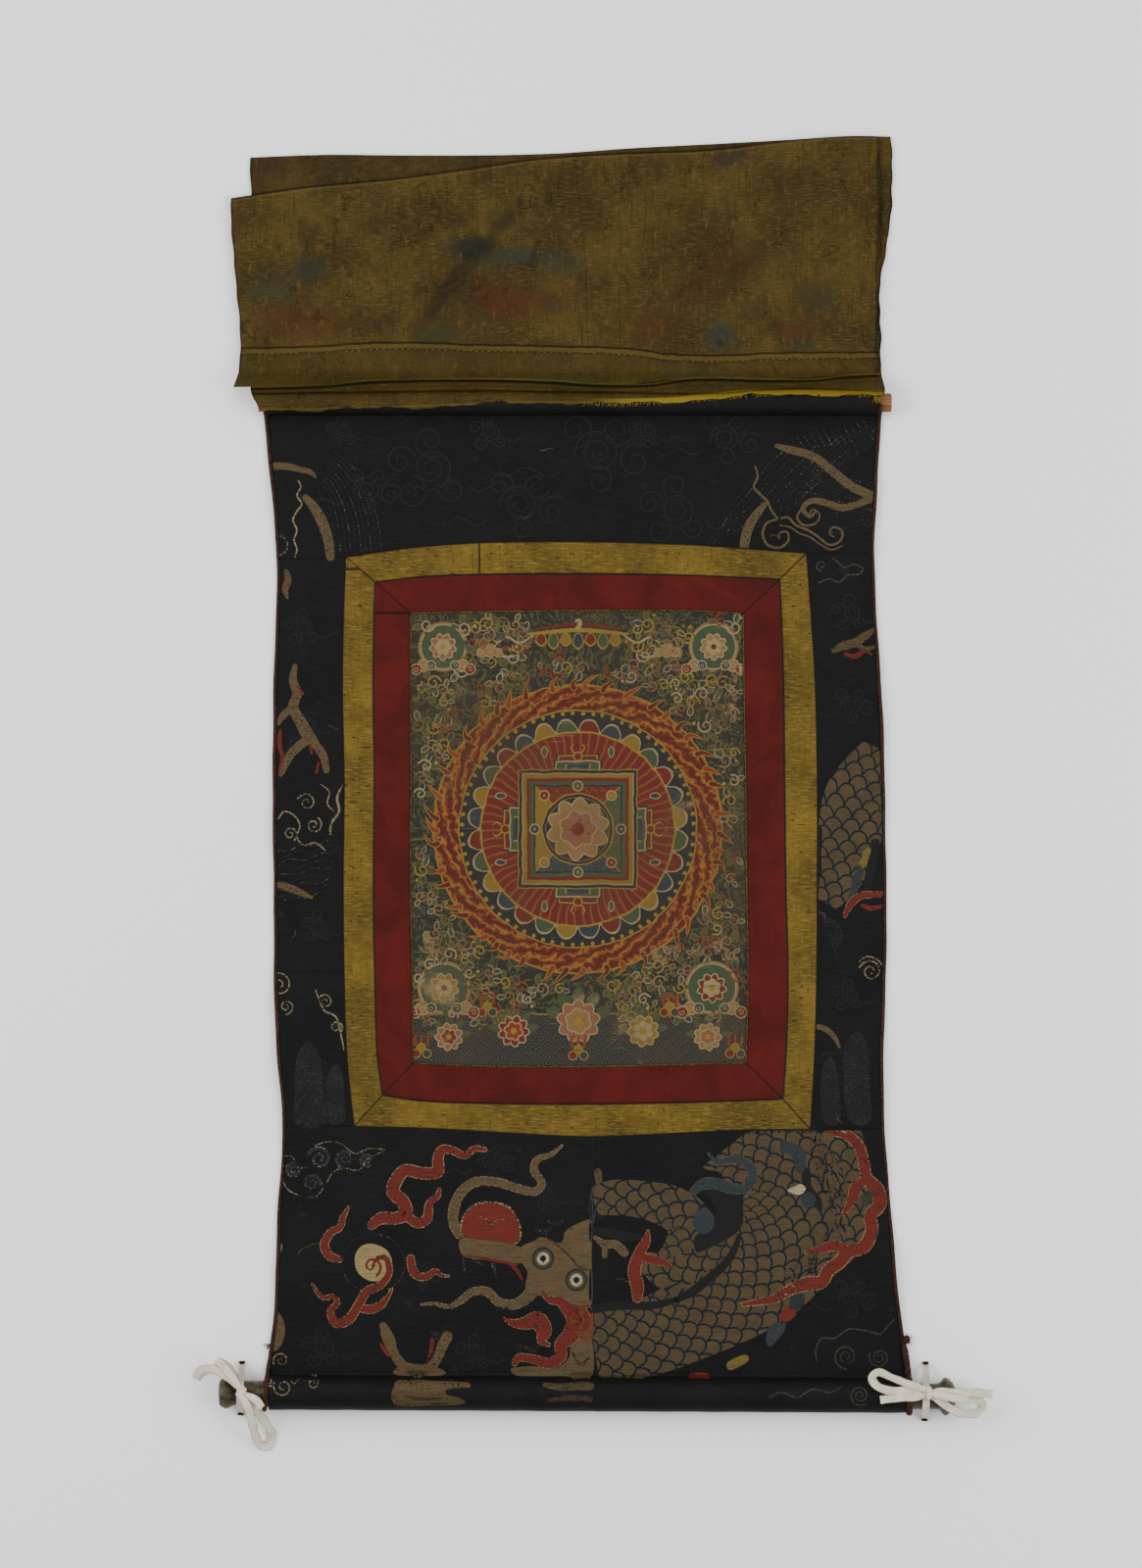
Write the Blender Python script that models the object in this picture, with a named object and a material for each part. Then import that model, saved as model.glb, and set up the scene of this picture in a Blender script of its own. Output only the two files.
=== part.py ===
# A scroll painting laid face up on a flat surface: the painting in red and yellow
# silk borders, a ground of black brocade, a rod in a sleeve at the foot with a knob at
# each end, a thin dowel in a sleeve at the top, a folded veil and two tape ties.
# X runs to the right, Y towards the top of the scroll and Z up from the surface.
# Sizes in this file are millimetres; MM turns them into Blender's metres.
import math

import bpy
from mathutils import Vector

MM = 0.001

# cloth
SEAM_GAP = 0.3
PAINTING_THICK = 1.4
BORDER_THICK = 1.8
BROCADE_THICK = 2.0
VEIL_THICK = 1.2
VEIL_PITCH = 2.2
VEIL_LIFT = 0.4
CORD_RADIUS = 1.8
CORD_GAP = 0.5
CELL = 34.0
CORNER_POINT = 1.2

# joins within the borders and the brocade
RED_CORNER_Y = 184.4
YELLOW_CORNER_Y = 229.0
YELLOW_TOP_JOIN_X = -115.0
TOP_JOIN = ((-114.0, 398.0), (-74.0, 257.0))
SIDE_JOIN_Y = -182.0
FOOT_JOIN_X = 0.5

# rod and dowel, with the brocade sleeves round them
ROD_RADIUS = 14.2
ROD_ENDS = (-332.0, 321.5)
ROD_AXIS_Y = (-610.2, -613.4)
ROD_AXIS_Z = (17.1, 19.6)
ROD_SPAN = (-334.0, 359.0)
ROD_SLEEVE_RADIUS = 16.0
DOWEL_RADIUS = 9.5
DOWEL_ENDS = (-340.0, 305.0)
DOWEL_Y = 398.5
DOWEL_SLEEVE_RADIUS = 11.1
DOWEL_LIFT = 0.05
DOWEL_BEVEL = 1.0
SLEEVE_FILLET = 4.0
SLEEVE_TURN = 320.0
CORD_TURN = 212.0
CORD_STEPS = 36
SLEEVE_STEPS = 12

# ties
TAPE_WIDTH = 9.5
TAPE_THICK = 1.0
STRAP_WIDTH = 6.5
STRAP_BEND = 2.0
STRAP_CLEAR = 0.7

# the brocade's outer edges, a row for each height
CLOTH_COLUMNS = ("y", "left", "right")
CLOTH_EDGES = (
    (390, -335.0, 295.0),
    (310, -327.0, 291.0),
    (250, -323.0, 288.0),
    (190, -322.4, 290.3),
    (110, -324.8, 295.0),
    (10, -326.0, 298.6),
    (-90, -325.2, 300.8),
    (-190, -324.5, 299.5),
    (-270, -320.8, 297.5),
    (-340, -316.4, 298.5),
    (-430, -321.0, 306.0),
    (-520, -324.0, 313.0),
    (-590, -332.0, 323.0),
    (-630, -335.0, 324.0),
)

# the upright seams of the borders, a row for each height
UPRIGHT_COLUMNS = (
    "y", "yellow_left", "red_left", "paint_left", "paint_right", "red_right", "yellow_right",
)
UPRIGHTS = (
    (250, -250.8, -219.5, -185.0, 153.0, 189.5, 218.5),
    (190, -253.4, -222.0, -185.0, 154.0, 192.8, 223.0),
    (110, -254.8, -223.3, -185.0, 155.0, 195.3, 227.8),
    (10, -253.0, -222.0, -184.8, 156.6, 196.4, 230.0),
    (-90, -254.0, -223.0, -185.2, 157.6, 197.5, 229.9),
    (-190, -253.0, -221.5, -183.2, 159.0, 199.8, 229.2),
    (-270, -250.1, -218.7, -182.4, 157.0, 197.6, 227.0),
    (-340, -243.0, -208.0, -180.0, 154.0, 192.0, 223.2),
)

# the level seams of the borders, a row for each place across
LEVEL_COLUMNS = (
    "x", "yellow_top", "red_top", "paint_top", "paint_foot", "red_foot", "yellow_foot",
)
LEVELS = (
    (-339, 239.0, 209.0, 181.0, -272.0, -290.0, -341.0),
    (-254, 241.5, 213.0, 183.0, -273.0, -298.0, -339.7),
    (-214, 247.2, 216.7, 183.0, -274.3, -307.0, -340.3),
    (-174, 252.2, 221.4, 184.3, -275.4, -313.3, -341.2),
    (-104, 256.6, 224.0, 186.0, -278.0, -316.0, -345.0),
    (-4, 257.2, 224.6, 187.0, -278.3, -316.6, -350.0),
    (96, 254.4, 223.0, 186.8, -276.0, -314.9, -346.0),
    (156, 250.5, 220.5, 184.0, -274.8, -313.0, -343.3),
    (226, 245.5, 217.0, 181.0, -273.5, -310.0, -342.8),
    (326, 246.0, 213.0, 178.0, -272.0, -306.0, -342.0),
)

# soft swells where the cloth stands off the surface, each an oval dome:
# x, y, reach_x, reach_y, height
SWELLS = (
    (-62, 322, 62, 62, 3.4),
    (-28, 300, 40, 78, 2.0),
    (-322, 300, 46, 80, 2.6),
    (288, 285, 52, 84, 3.2),
    (302, 60, 58, 150, 3.6),
    (-330, -30, 50, 120, 2.6),
    (-318, -265, 66, 120, 4.0),
    (300, -300, 56, 110, 3.0),
    (-300, -500, 70, 60, 3.0),
    (306, -492, 76, 70, 3.8),
    (-70, -452, 120, 56, 2.2),
    (120, -480, 110, 50, 1.8),
)
SWELL_FADE = 40.0

# the veil's folds, a row for each place across; a layer runs from one column to the next
VEIL_COLUMNS = ("x", "raw_edge", "back_top", "low_fold", "front_top", "hem_foot", "hem_edge")
VEIL_FOLDS = (
    (-364, 391.0, 648.5, 407.0, 606.0, 413.0, 453.0),
    (-284, 391.0, 651.5, 408.0, 618.0, 415.0, 455.0),
    (-204, 393.0, 651.0, 409.0, 625.5, 421.0, 459.0),
    (-124, 396.0, 651.0, 410.0, 636.0, 422.0, 457.0),
    (-44, 398.0, 653.0, 409.0, 647.0, 420.0, 455.5),
    (36, 397.0, 658.5, 408.0, 652.0, 416.0, 453.0),
    (116, 402.0, 662.5, 407.0, 655.0, 423.0, 446.0),
    (196, 406.5, 667.0, 412.0, 664.0, 421.5, 448.5),
    (256, 406.0, 670.7, 411.0, 669.0, 425.5, 449.0),
    (301, 405.0, 670.0, 409.0, 669.0, 428.0, 449.0),
)

# the side edges of the veil's back and front layers, a row for each height
VEIL_EDGE_COLUMNS = ("y", "back_left", "back_right", "front_left", "front_right")
VEIL_EDGES = (
    (670, -350.0, 304.5, -366.5, 292.0),
    (610, -347.0, 306.0, -367.5, 292.0),
    (560, -346.0, 300.0, -367.0, 291.5),
    (510, -346.0, 293.0, -361.5, 290.0),
    (470, -346.0, 294.0, -359.5, 290.0),
    (435, -347.0, 294.0, -359.0, 291.0),
    (410, -347.0, 297.0, -364.5, 292.0),
    (391, -338.0, 292.0, -364.5, 292.0),
)
VEIL_ACROSS = 15
VEIL_SPAN = (-358.0, 298.0)
VEIL_FLOOR_Y = 440.0
VEIL_EASE = 7.0

# the knobs' turned outlines: distance out along the rod, radius
LEFT_KNOB = (
    (0.0, 13.0), (20.0, 12.7), (29.0, 12.0), (34.0, 13.5), (38.0, 15.8),
    (40.5, 16.0), (44.0, 15.2), (46.5, 13.2), (47.5, 11.0),
)
RIGHT_KNOB = (
    (0.0, 13.6), (14.0, 13.2), (28.0, 13.2), (32.0, 14.6), (35.5, 18.4),
    (38.0, 19.5), (41.0, 18.2), (44.5, 15.2), (47.5, 9.6), (48.5, 6.0),
)
KNOB_SIDES = 20

# each tie: its knot's place; the band's neck radius, its x and its y at the surface above
# and below the knob; and its tapes from the knot and back, or out to a free end. A tape's
# row says whether it turns over and gives its route as x, y, z and the lean of its width.
LEFT_KNOT = (-356.5, -607.5, 35.7)
LEFT_STRAP = (12.7, (-357.0, -358.5), (-581.0, -631.5))
LEFT_TAPES = (
    # the upper loop, out and back beneath
    (True, ((-357, -605, 37.5, 0), (-366, -592, 39.0, 0), (-376, -580, 33.5, 0),
            (-382, -576, 26.0, 0), (-378, -579, 19.0, 0), (-369, -585, 20.5, 0),
            (-362, -596, 29.0, 0), (-356, -605, 34.5, 0))),
    # the upper tail, curling down to the surface
    (False, ((-358, -604, 35.0, 0), (-370, -593, 32.5, 0), (-383, -587, 17.0, 0),
             (-393, -586, 6.0, 0), (-400, -590, 2.2, 0), (-404, -597, 1.2, 0))),
    # the short tail on the sleeve's end
    (False, ((-355, -609, 37.0, 0), (-347, -612.5, 37.8, 0), (-340, -617, 37.6, 0),
             (-336, -623.5, 36.8, 5))),
    # the lower loop, down to the surface and back
    (False, ((-357.5, -610, 38.6, 0), (-350, -622, 40.5, 0), (-346, -637, 33.0, 0),
             (-343, -653, 15.0, 0), (-338, -664, 5.0, 0), (-329.5, -664, 2.2, 0),
             (-327, -654, 3.0, 0), (-331, -643, 8.5, 0), (-338, -633, 16.5, 0),
             (-346, -621, 32.0, 0), (-353, -611, 34.4, 0))),
)
RIGHT_KNOT = (342.0, -608.5, 38.8)
RIGHT_STRAP = (13.2, (340.0, 339.0), (-581.5, -637.5))
RIGHT_TAPES = (
    # the left loop over the sleeve's end
    (False, ((342, -607, 40.0, 0), (330, -602, 42.0, 10), (317, -597.5, 43.5, 25),
             (304, -592.5, 44.0, 30), (291, -587, 43.5, 20), (284, -592.5, 42.0, 10),
             (289, -601, 41.0, 5), (302, -606, 40.0, 0), (318, -606, 39.2, 0),
             (332, -607.5, 38.4, 0), (342, -608, 37.6, 0))),
    # the left tail over the sleeve
    (False, ((342, -610, 38.6, 0), (328, -612.5, 39.6, 0), (312, -613.0, 39.4, 0),
             (292.5, -615.5, 38.2, 0))),
    # the right tail over the knob
    (False, ((342, -608, 39.0, 0), (352, -606.5, 41.8, 0), (364, -607.5, 43.0, 0),
             (384, -608.5, 37.0, 0), (407, -610.5, 25.0, 0))),
    # the right loop
    (False, ((341, -610.5, 36.6, 0), (353, -616.5, 40.2, 0), (365, -625, 37.0, 0),
             (378, -630.5, 28.0, 0), (391, -630, 20.0, 0), (397, -622, 20.5, 0),
             (388, -615, 30.0, 0), (375, -614, 41.5, 0), (362, -612, 46.5, 0),
             (350, -609.5, 44.0, 0), (342, -608.5, 41.0, 0))),
)
KNOT_SIZE = (8.4, 7.6, 5.0)

FINISHES = {
    "painted_cloth": ((0.16, 0.07, 0.04), 0.6, 0.0),
    "red_silk": ((0.16, 0.014, 0.018), 0.5, 0.0),
    "yellow_silk": ((0.26, 0.19, 0.03), 0.6, 0.0),
    "black_brocade": ((0.011, 0.012, 0.014), 0.5, 0.0),
    "edge_cord": ((0.06, 0.02, 0.012), 0.8, 0.0),
    "veil_silk": ((0.10, 0.07, 0.012), 0.6, 0.0),
    "cotton_tape": ((0.72, 0.68, 0.60), 0.9, 0.0),
    "rod_wood": ((0.20, 0.11, 0.05), 0.7, 0.0),
    "bronze": ((0.10, 0.07, 0.03), 0.4, 0.9),
}


# ---- small helpers ----

def blend(a, b, t):
    return a + (b - a) * t


def column(rows, names, key):
    # a smooth line through one column of a table, read at any value of its first column
    at = names.index(key)
    knots = sorted((row[0], row[at]) for row in rows)
    places = [k[0] for k in knots]
    values = [k[1] for k in knots]
    last = len(knots) - 1
    slopes = []
    for i in range(last + 1):
        a, b = max(i - 1, 0), min(i + 1, last)
        slopes.append((values[b] - values[a]) / (places[b] - places[a]))

    def read(p):
        if p <= places[0]:
            return values[0] + slopes[0] * (p - places[0])
        if p >= places[-1]:
            return values[-1] + slopes[-1] * (p - places[-1])
        i = max(k for k in range(last) if places[k] <= p)
        span = places[i + 1] - places[i]
        t = (p - places[i]) / span
        start = values[i] * (1 + 2 * t) * (1 - t) ** 2 + slopes[i] * span * t * (1 - t) ** 2
        end = values[i + 1] * t * t * (3 - 2 * t) - slopes[i + 1] * span * t * t * (1 - t)
        return start + end

    return read


def shifted(line, by):
    return lambda p: line(p) + by


def constant(value):
    return lambda p: value


def capped(line, limit):
    return lambda p: min(line(p), limit)


def slanting(start, end):
    # the straight line through two points, as x for a given y and as y for a given x
    (x0, y0), (x1, y1) = start, end
    return (
        lambda y: x0 + (x1 - x0) * (y - y0) / (y1 - y0),
        lambda x: y0 + (y1 - y0) * (x - x0) / (x1 - x0),
    )


def crossing(upright, level, x=0.0, y=0.0):
    # where an upright line x(y) meets a level line y(x)
    for _ in range(12):
        x, y = upright(y), level(x)
    return upright(y), y


# ---- the lie of the cloth ----

def swell(x, y):
    rise = 0.0
    for cx, cy, reach_x, reach_y, height in SWELLS:
        r = ((x - cx) / reach_x) ** 2 + ((y - cy) / reach_y) ** 2
        if r < 1.0:
            rise += height * (1.0 - r) ** 2
    clear = min(DOWEL_Y - y, y - ROD_AXIS_Y[0]) - ROD_SLEEVE_RADIUS - SLEEVE_FILLET
    t = min(max(clear / SWELL_FADE, 0.0), 1.0)
    return rise * t * t * (3 - 2 * t)


def rod_axis(x):
    t = (x - ROD_SPAN[0]) / (ROD_SPAN[1] - ROD_SPAN[0])
    return blend(*ROD_AXIS_Y, t), blend(*ROD_AXIS_Z, t)


def dowel_axis(x):
    return DOWEL_Y, DOWEL_SLEEVE_RADIUS + BROCADE_THICK / 2 + DOWEL_LIFT


def sleeve(axis_y, axis_z, radius, level, turn, away):
    # the cloth's middle line from the flat: up a small fillet, then round the rod.
    # away is -1 where the sleeve lies below the flat cloth and 1 where it lies above.
    start = axis_y - away * (radius + SLEEVE_FILLET)
    points = []
    for k in range(1, 4):
        a = math.radians(30 * k)
        along = SLEEVE_FILLET * math.sin(a)
        up = SLEEVE_FILLET * (1 - math.cos(a))
        points.append((start + away * along, level + up))
    for k in range(SLEEVE_STEPS + 1):
        a = math.radians(turn * k / SLEEVE_STEPS)
        points.append((axis_y - away * radius * math.cos(a), axis_z + radius * math.sin(a)))
    return start, points


# ---- making meshes ----

def finish(name):
    if name in bpy.data.materials:
        return bpy.data.materials[name]
    colour, roughness, metallic = FINISHES[name]
    material = bpy.data.materials.new(name)
    material.use_nodes = True
    shader = material.node_tree.nodes["Principled BSDF"]
    shader.inputs["Base Color"].default_value = (*colour, 1.0)
    shader.inputs["Roughness"].default_value = roughness
    shader.inputs["Metallic"].default_value = metallic
    material.diffuse_color = (*colour, 1.0)
    return material


def mesh_object(name, points, faces, finish_name, smooth=True):
    mesh = bpy.data.meshes.new(name)
    mesh.from_pydata([Vector(p) * MM for p in points], [], faces)
    mesh.validate()
    if smooth:
        mesh.shade_smooth()
    mesh.materials.append(finish(finish_name))
    thing = bpy.data.objects.new(name, mesh)
    bpy.context.scene.collection.objects.link(thing)
    return thing


def cloth(name, rows, thick, finish_name):
    # a sheet whose middle surface is the given rows of points, thickened both ways
    wide = len(rows[0])
    points = [p for row in rows for p in row]
    faces = []
    for j in range(len(rows) - 1):
        for i in range(wide - 1):
            a = j * wide + i
            faces.append((a, a + wide, a + wide + 1, a + 1))
    thing = mesh_object(name, points, faces, finish_name)
    solid = thing.modifiers.new("thickness", "SOLIDIFY")
    solid.thickness = thick * MM
    solid.offset = 0.0
    solid.use_even_offset = True
    return thing


def piece_rows(left, right, foot, top, across, up, thick):
    # a flat piece between four seams: left and right give x for y, foot and top y for x
    rows = []
    for j in range(up + 1):
        v = j / up
        row = []
        for i in range(across + 1):
            u = i / across
            x, y = 0.0, blend(foot(0.0), top(0.0), v)
            for _ in range(14):
                x = blend(left(y), right(y), u)
                y = blend(foot(x), top(x), v)
            row.append((x, y, swell(x, y) + thick / 2))
        rows.append(row[::-1])
    return rows


def tube(name, path, radius, sides, finish_name):
    # a round cord along a path, closed at both ends
    points = []
    for k, p in enumerate(path):
        ahead = Vector(path[min(k + 1, len(path) - 1)]) - Vector(path[max(k - 1, 0)])
        across = Vector((1.0, 0.0, 0.0))
        out = across.cross(ahead.normalized()).normalized()
        across = ahead.normalized().cross(out).normalized()
        for i in range(sides):
            a = math.tau * i / sides
            points.append(Vector(p) + radius * (math.cos(a) * across + math.sin(a) * out))
    faces = []
    for k in range(len(path) - 1):
        for i in range(sides):
            a, b = k * sides + i, k * sides + (i + 1) % sides
            faces.append((a, a + sides, b + sides, b))
    faces.append(tuple(range(sides)))
    faces.append(tuple((len(path) - 1) * sides + i for i in range(sides))[::-1])
    return mesh_object(name, points, faces, finish_name)


def turned(name, start, toward, profile, sides, finish_name):
    # a solid turned about the line from start towards a second point
    along = (Vector(toward) - Vector(start)).normalized()
    side = Vector((0.0, 1.0, 0.0))
    up = along.cross(side).normalized()
    side = up.cross(along).normalized()
    points = []
    for out, radius in profile:
        for i in range(sides):
            a = math.tau * i / sides
            points.append(
                Vector(start) + along * out + radius * (math.cos(a) * side + math.sin(a) * up)
            )
    faces = []
    for k in range(len(profile) - 1):
        for i in range(sides):
            a, b = k * sides + i, k * sides + (i + 1) % sides
            faces.append((a, b, b + sides, a + sides))
    faces.append(tuple(range(sides))[::-1])
    faces.append(tuple((len(profile) - 1) * sides + i for i in range(sides)))
    thing = mesh_object(name, points, faces, finish_name)
    thing.data.set_sharp_from_angle(angle=math.radians(40))
    return thing


# ---- seams shared by the pieces ----

def upright(key):
    return column(UPRIGHTS, UPRIGHT_COLUMNS, key)


def level(key):
    return column(LEVELS, LEVEL_COLUMNS, key)


HALF = SEAM_GAP / 2
MITRE_HALF = HALF * math.sqrt(2)
# the brocade's seams on the borders are eased a little more, for their coarser faces
EASED = 1.5 * SEAM_GAP
CLOTH_INSET = 2 * CORD_RADIUS + CORD_GAP
cloth_left = column(CLOTH_EDGES, CLOTH_COLUMNS, "left")
cloth_right = column(CLOTH_EDGES, CLOTH_COLUMNS, "right")


def mitre(side, end, ring):
    # the diagonal seam at one corner of a border, from its inner to its outer corner
    inner_ring, outer_ring = ring
    inner = crossing(upright(inner_ring + "_" + side), level(inner_ring + "_" + end))
    outer = crossing(upright(outer_ring + "_" + side), level(outer_ring + "_" + end))
    return slanting(inner, outer)


def border(ring, finish_name, short_corner, top_join):
    # four mitred strips round the painting, the left one pieced near its top corner
    inner, outer = ring
    for end in ("top", "foot"):
        low, high = (inner, outer) if end == "top" else (outer, inner)
        foot = shifted(level(low + "_" + end), HALF)
        top = shifted(level(high + "_" + end), -HALF)
        left = shifted(mitre("left", end, ring)[0], MITRE_HALF)
        right = shifted(mitre("right", end, ring)[0], -MITRE_HALF)
        spans = [("", left, right, 14)]
        if end == "top" and top_join is not None:
            spans = [
                ("_left", left, constant(top_join - HALF), 5),
                ("_right", constant(top_join + HALF), right, 10),
            ]
        for tail, start, stop, across in spans:
            rows = piece_rows(start, stop, foot, top, across, 1, BORDER_THICK)
            cloth(f"{outer}_border_{end}{tail}", rows, BORDER_THICK, finish_name)
    for side in ("left", "right"):
        near, far = (outer, inner) if side == "left" else (inner, outer)
        left = shifted(upright(near + "_" + side), HALF)
        right = shifted(upright(far + "_" + side), -HALF)
        foot = shifted(mitre(side, "foot", ring)[1], MITRE_HALF)
        top = shifted(mitre(side, "top", ring)[1], -MITRE_HALF)
        if side == "left":
            corner_piece(outer, left, mitre(side, "top", ring), short_corner, finish_name)
            top = capped(top, short_corner - HALF)
        rows = piece_rows(left, right, foot, top, 2, 12, BORDER_THICK)
        cloth(f"{outer}_border_{side}", rows, BORDER_THICK, finish_name)


def corner_piece(prefix, left, slope, join, finish_name):
    # the odd bit pieced on at the left strip's top: a triangle with its point cut off
    point_y = crossing(left, slope[1])[1] - CORNER_POINT
    right = shifted(slope[0], -MITRE_HALF)
    rows = piece_rows(
        left, right, constant(join + HALF), constant(point_y), 1, 1, BORDER_THICK
    )
    cloth(f"{prefix}_border_left_corner", rows, BORDER_THICK, finish_name)


def painting():
    rows = piece_rows(
        shifted(upright("paint_left"), HALF), shifted(upright("paint_right"), -HALF),
        shifted(level("paint_foot"), HALF), shifted(level("paint_top"), -HALF),
        8, 10, PAINTING_THICK,
    )
    cloth("painting", rows, PAINTING_THICK, "painted_cloth")


def sleeve_piece(name, left, right, seam, away, axis, radius):
    # brocade that lies flat from a seam to a sleeve and runs on round the rod in it
    edge_y = axis(0.0)[0] - away * (radius + SLEEVE_FILLET)
    length = abs(edge_y - seam(0.0))
    across = max(3, round((right(edge_y) - left(edge_y)) / CELL))
    up = max(3, round(length / CELL))

    def crease(x):
        return axis(x)[0] - away * (radius + SLEEVE_FILLET)

    foot, top = (crease, seam) if away < 0 else (seam, crease)
    rows = piece_rows(left, right, foot, top, across, up, BROCADE_THICK)
    if away < 0:
        rows.reverse()
    rolled = [[] for _ in range(3 + SLEEVE_STEPS + 1)]
    for x, _, _ in rows[-1]:
        axis_y, axis_z = axis(x)
        _, line = sleeve(axis_y, axis_z, radius, BROCADE_THICK / 2, SLEEVE_TURN, away)
        for row, (y, z) in zip(rolled, line):
            row.append((x, y, z))
    rows += rolled
    if away < 0:
        rows.reverse()
    cloth(name, rows, BROCADE_THICK, "black_brocade")


def brocade():
    left = shifted(cloth_left, CLOTH_INSET)
    right = shifted(cloth_right, -CLOTH_INSET)
    # the band above the borders, in two lengths with a slanting join
    slant = slanting(*TOP_JOIN)[0]
    above = shifted(level("yellow_top"), EASED)
    sleeve_piece(
        "brocade_top_left", left, shifted(slant, -HALF), above, 1, dowel_axis, DOWEL_SLEEVE_RADIUS
    )
    sleeve_piece(
        "brocade_top_right", shifted(slant, HALF), right, above, 1, dowel_axis, DOWEL_SLEEVE_RADIUS
    )
    # the sides, the left one pieced low down
    yellow_left = shifted(upright("yellow_left"), -EASED)
    yellow_right = shifted(upright("yellow_right"), EASED)
    foot = shifted(level("yellow_foot"), HALF)
    top = shifted(level("yellow_top"), -HALF)
    below_join, above_join = constant(SIDE_JOIN_Y - HALF), constant(SIDE_JOIN_Y + HALF)
    for name, start, stop, low, high, up in (
        ("brocade_left_low", left, yellow_left, foot, below_join, 6),
        ("brocade_left", left, yellow_left, above_join, top, 9),
        ("brocade_right", yellow_right, right, foot, top, 13),
    ):
        rows = piece_rows(start, stop, low, high, 2, up, BROCADE_THICK)
        cloth(name, rows, BROCADE_THICK, "black_brocade")
    # below the borders, two widths joined down the middle and rolled round the rod
    below = shifted(level("yellow_foot"), -EASED)
    before_join, after_join = constant(FOOT_JOIN_X - HALF), constant(FOOT_JOIN_X + HALF)
    sleeve_piece(
        "brocade_foot_left", left, before_join, below, -1, rod_axis, ROD_SLEEVE_RADIUS
    )
    sleeve_piece(
        "brocade_foot_right", after_join, right, below, -1, rod_axis, ROD_SLEEVE_RADIUS
    )


def edge_cords():
    # a twisted cord sewn along each side of the brocade and round the sleeve's end
    for side, line, inward in (("left", cloth_left, 1), ("right", cloth_right, -1)):
        start_y = DOWEL_Y - DOWEL_SLEEVE_RADIUS - SLEEVE_FILLET
        x_end = line(ROD_AXIS_Y[0]) + inward * CORD_RADIUS
        axis_y, axis_z = rod_axis(x_end)
        lift = CORD_RADIUS - BROCADE_THICK / 2
        first, line_round = sleeve(
            axis_y, axis_z, ROD_SLEEVE_RADIUS + lift, CORD_RADIUS, CORD_TURN, -1
        )
        path = []
        for k in range(CORD_STEPS + 1):
            y = blend(start_y, first, k / CORD_STEPS)
            x = line(y) + inward * CORD_RADIUS
            path.append((x, y, swell(x, y) + CORD_RADIUS))
        path += [(line(y) + inward * CORD_RADIUS, y, z) for y, z in line_round]
        tube(f"edge_cord_{side}", path, CORD_RADIUS, 6, "edge_cord")


def rods():
    ends = [(x, *rod_axis(x)) for x in ROD_ENDS]
    length = (Vector(ends[1]) - Vector(ends[0])).length
    turned("rod", ends[0], ends[1], ((0.0, ROD_RADIUS), (length, ROD_RADIUS)), 20, "rod_wood")
    ends = [(x, *dowel_axis(x)) for x in DOWEL_ENDS]
    length = DOWEL_ENDS[1] - DOWEL_ENDS[0]
    profile = (
        (0.0, DOWEL_RADIUS - DOWEL_BEVEL), (DOWEL_BEVEL, DOWEL_RADIUS),
        (length - DOWEL_BEVEL, DOWEL_RADIUS), (length, DOWEL_RADIUS - DOWEL_BEVEL),
    )
    turned("dowel", ends[0], ends[1], profile, 16, "rod_wood")


def knobs():
    for name, end, outward, profile in (
        ("knob_left", ROD_ENDS[0], -1, LEFT_KNOB), ("knob_right", ROD_ENDS[1], 1, RIGHT_KNOB),
    ):
        start = end + outward * SEAM_GAP
        begin = (start, *rod_axis(start))
        beyond = (start + outward * 10, *rod_axis(start + outward * 10))
        turned(name, begin, beyond, profile, KNOB_SIDES, "bronze")


# ---- the veil ----

def over_dowel(y):
    # height of the lowest layer's middle: over the dowel's sleeve, down its back to the surface
    axis_y, axis_z = dowel_axis(0.0)
    radius = DOWEL_SLEEVE_RADIUS + BROCADE_THICK / 2 + SEAM_GAP + VEIL_LIFT + VEIL_THICK / 2
    corner = radius * math.sin(math.radians(45))
    floor = VEIL_THICK / 2
    if y <= axis_y + corner:
        return axis_z + math.sqrt(radius ** 2 - (y - axis_y) ** 2)
    slope = axis_z + corner - (y - axis_y - corner)
    over = slope - floor
    if over < -VEIL_EASE:
        return floor
    if over < VEIL_EASE:
        return floor + (over + VEIL_EASE) ** 2 / (4 * VEIL_EASE)
    return slope


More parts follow.
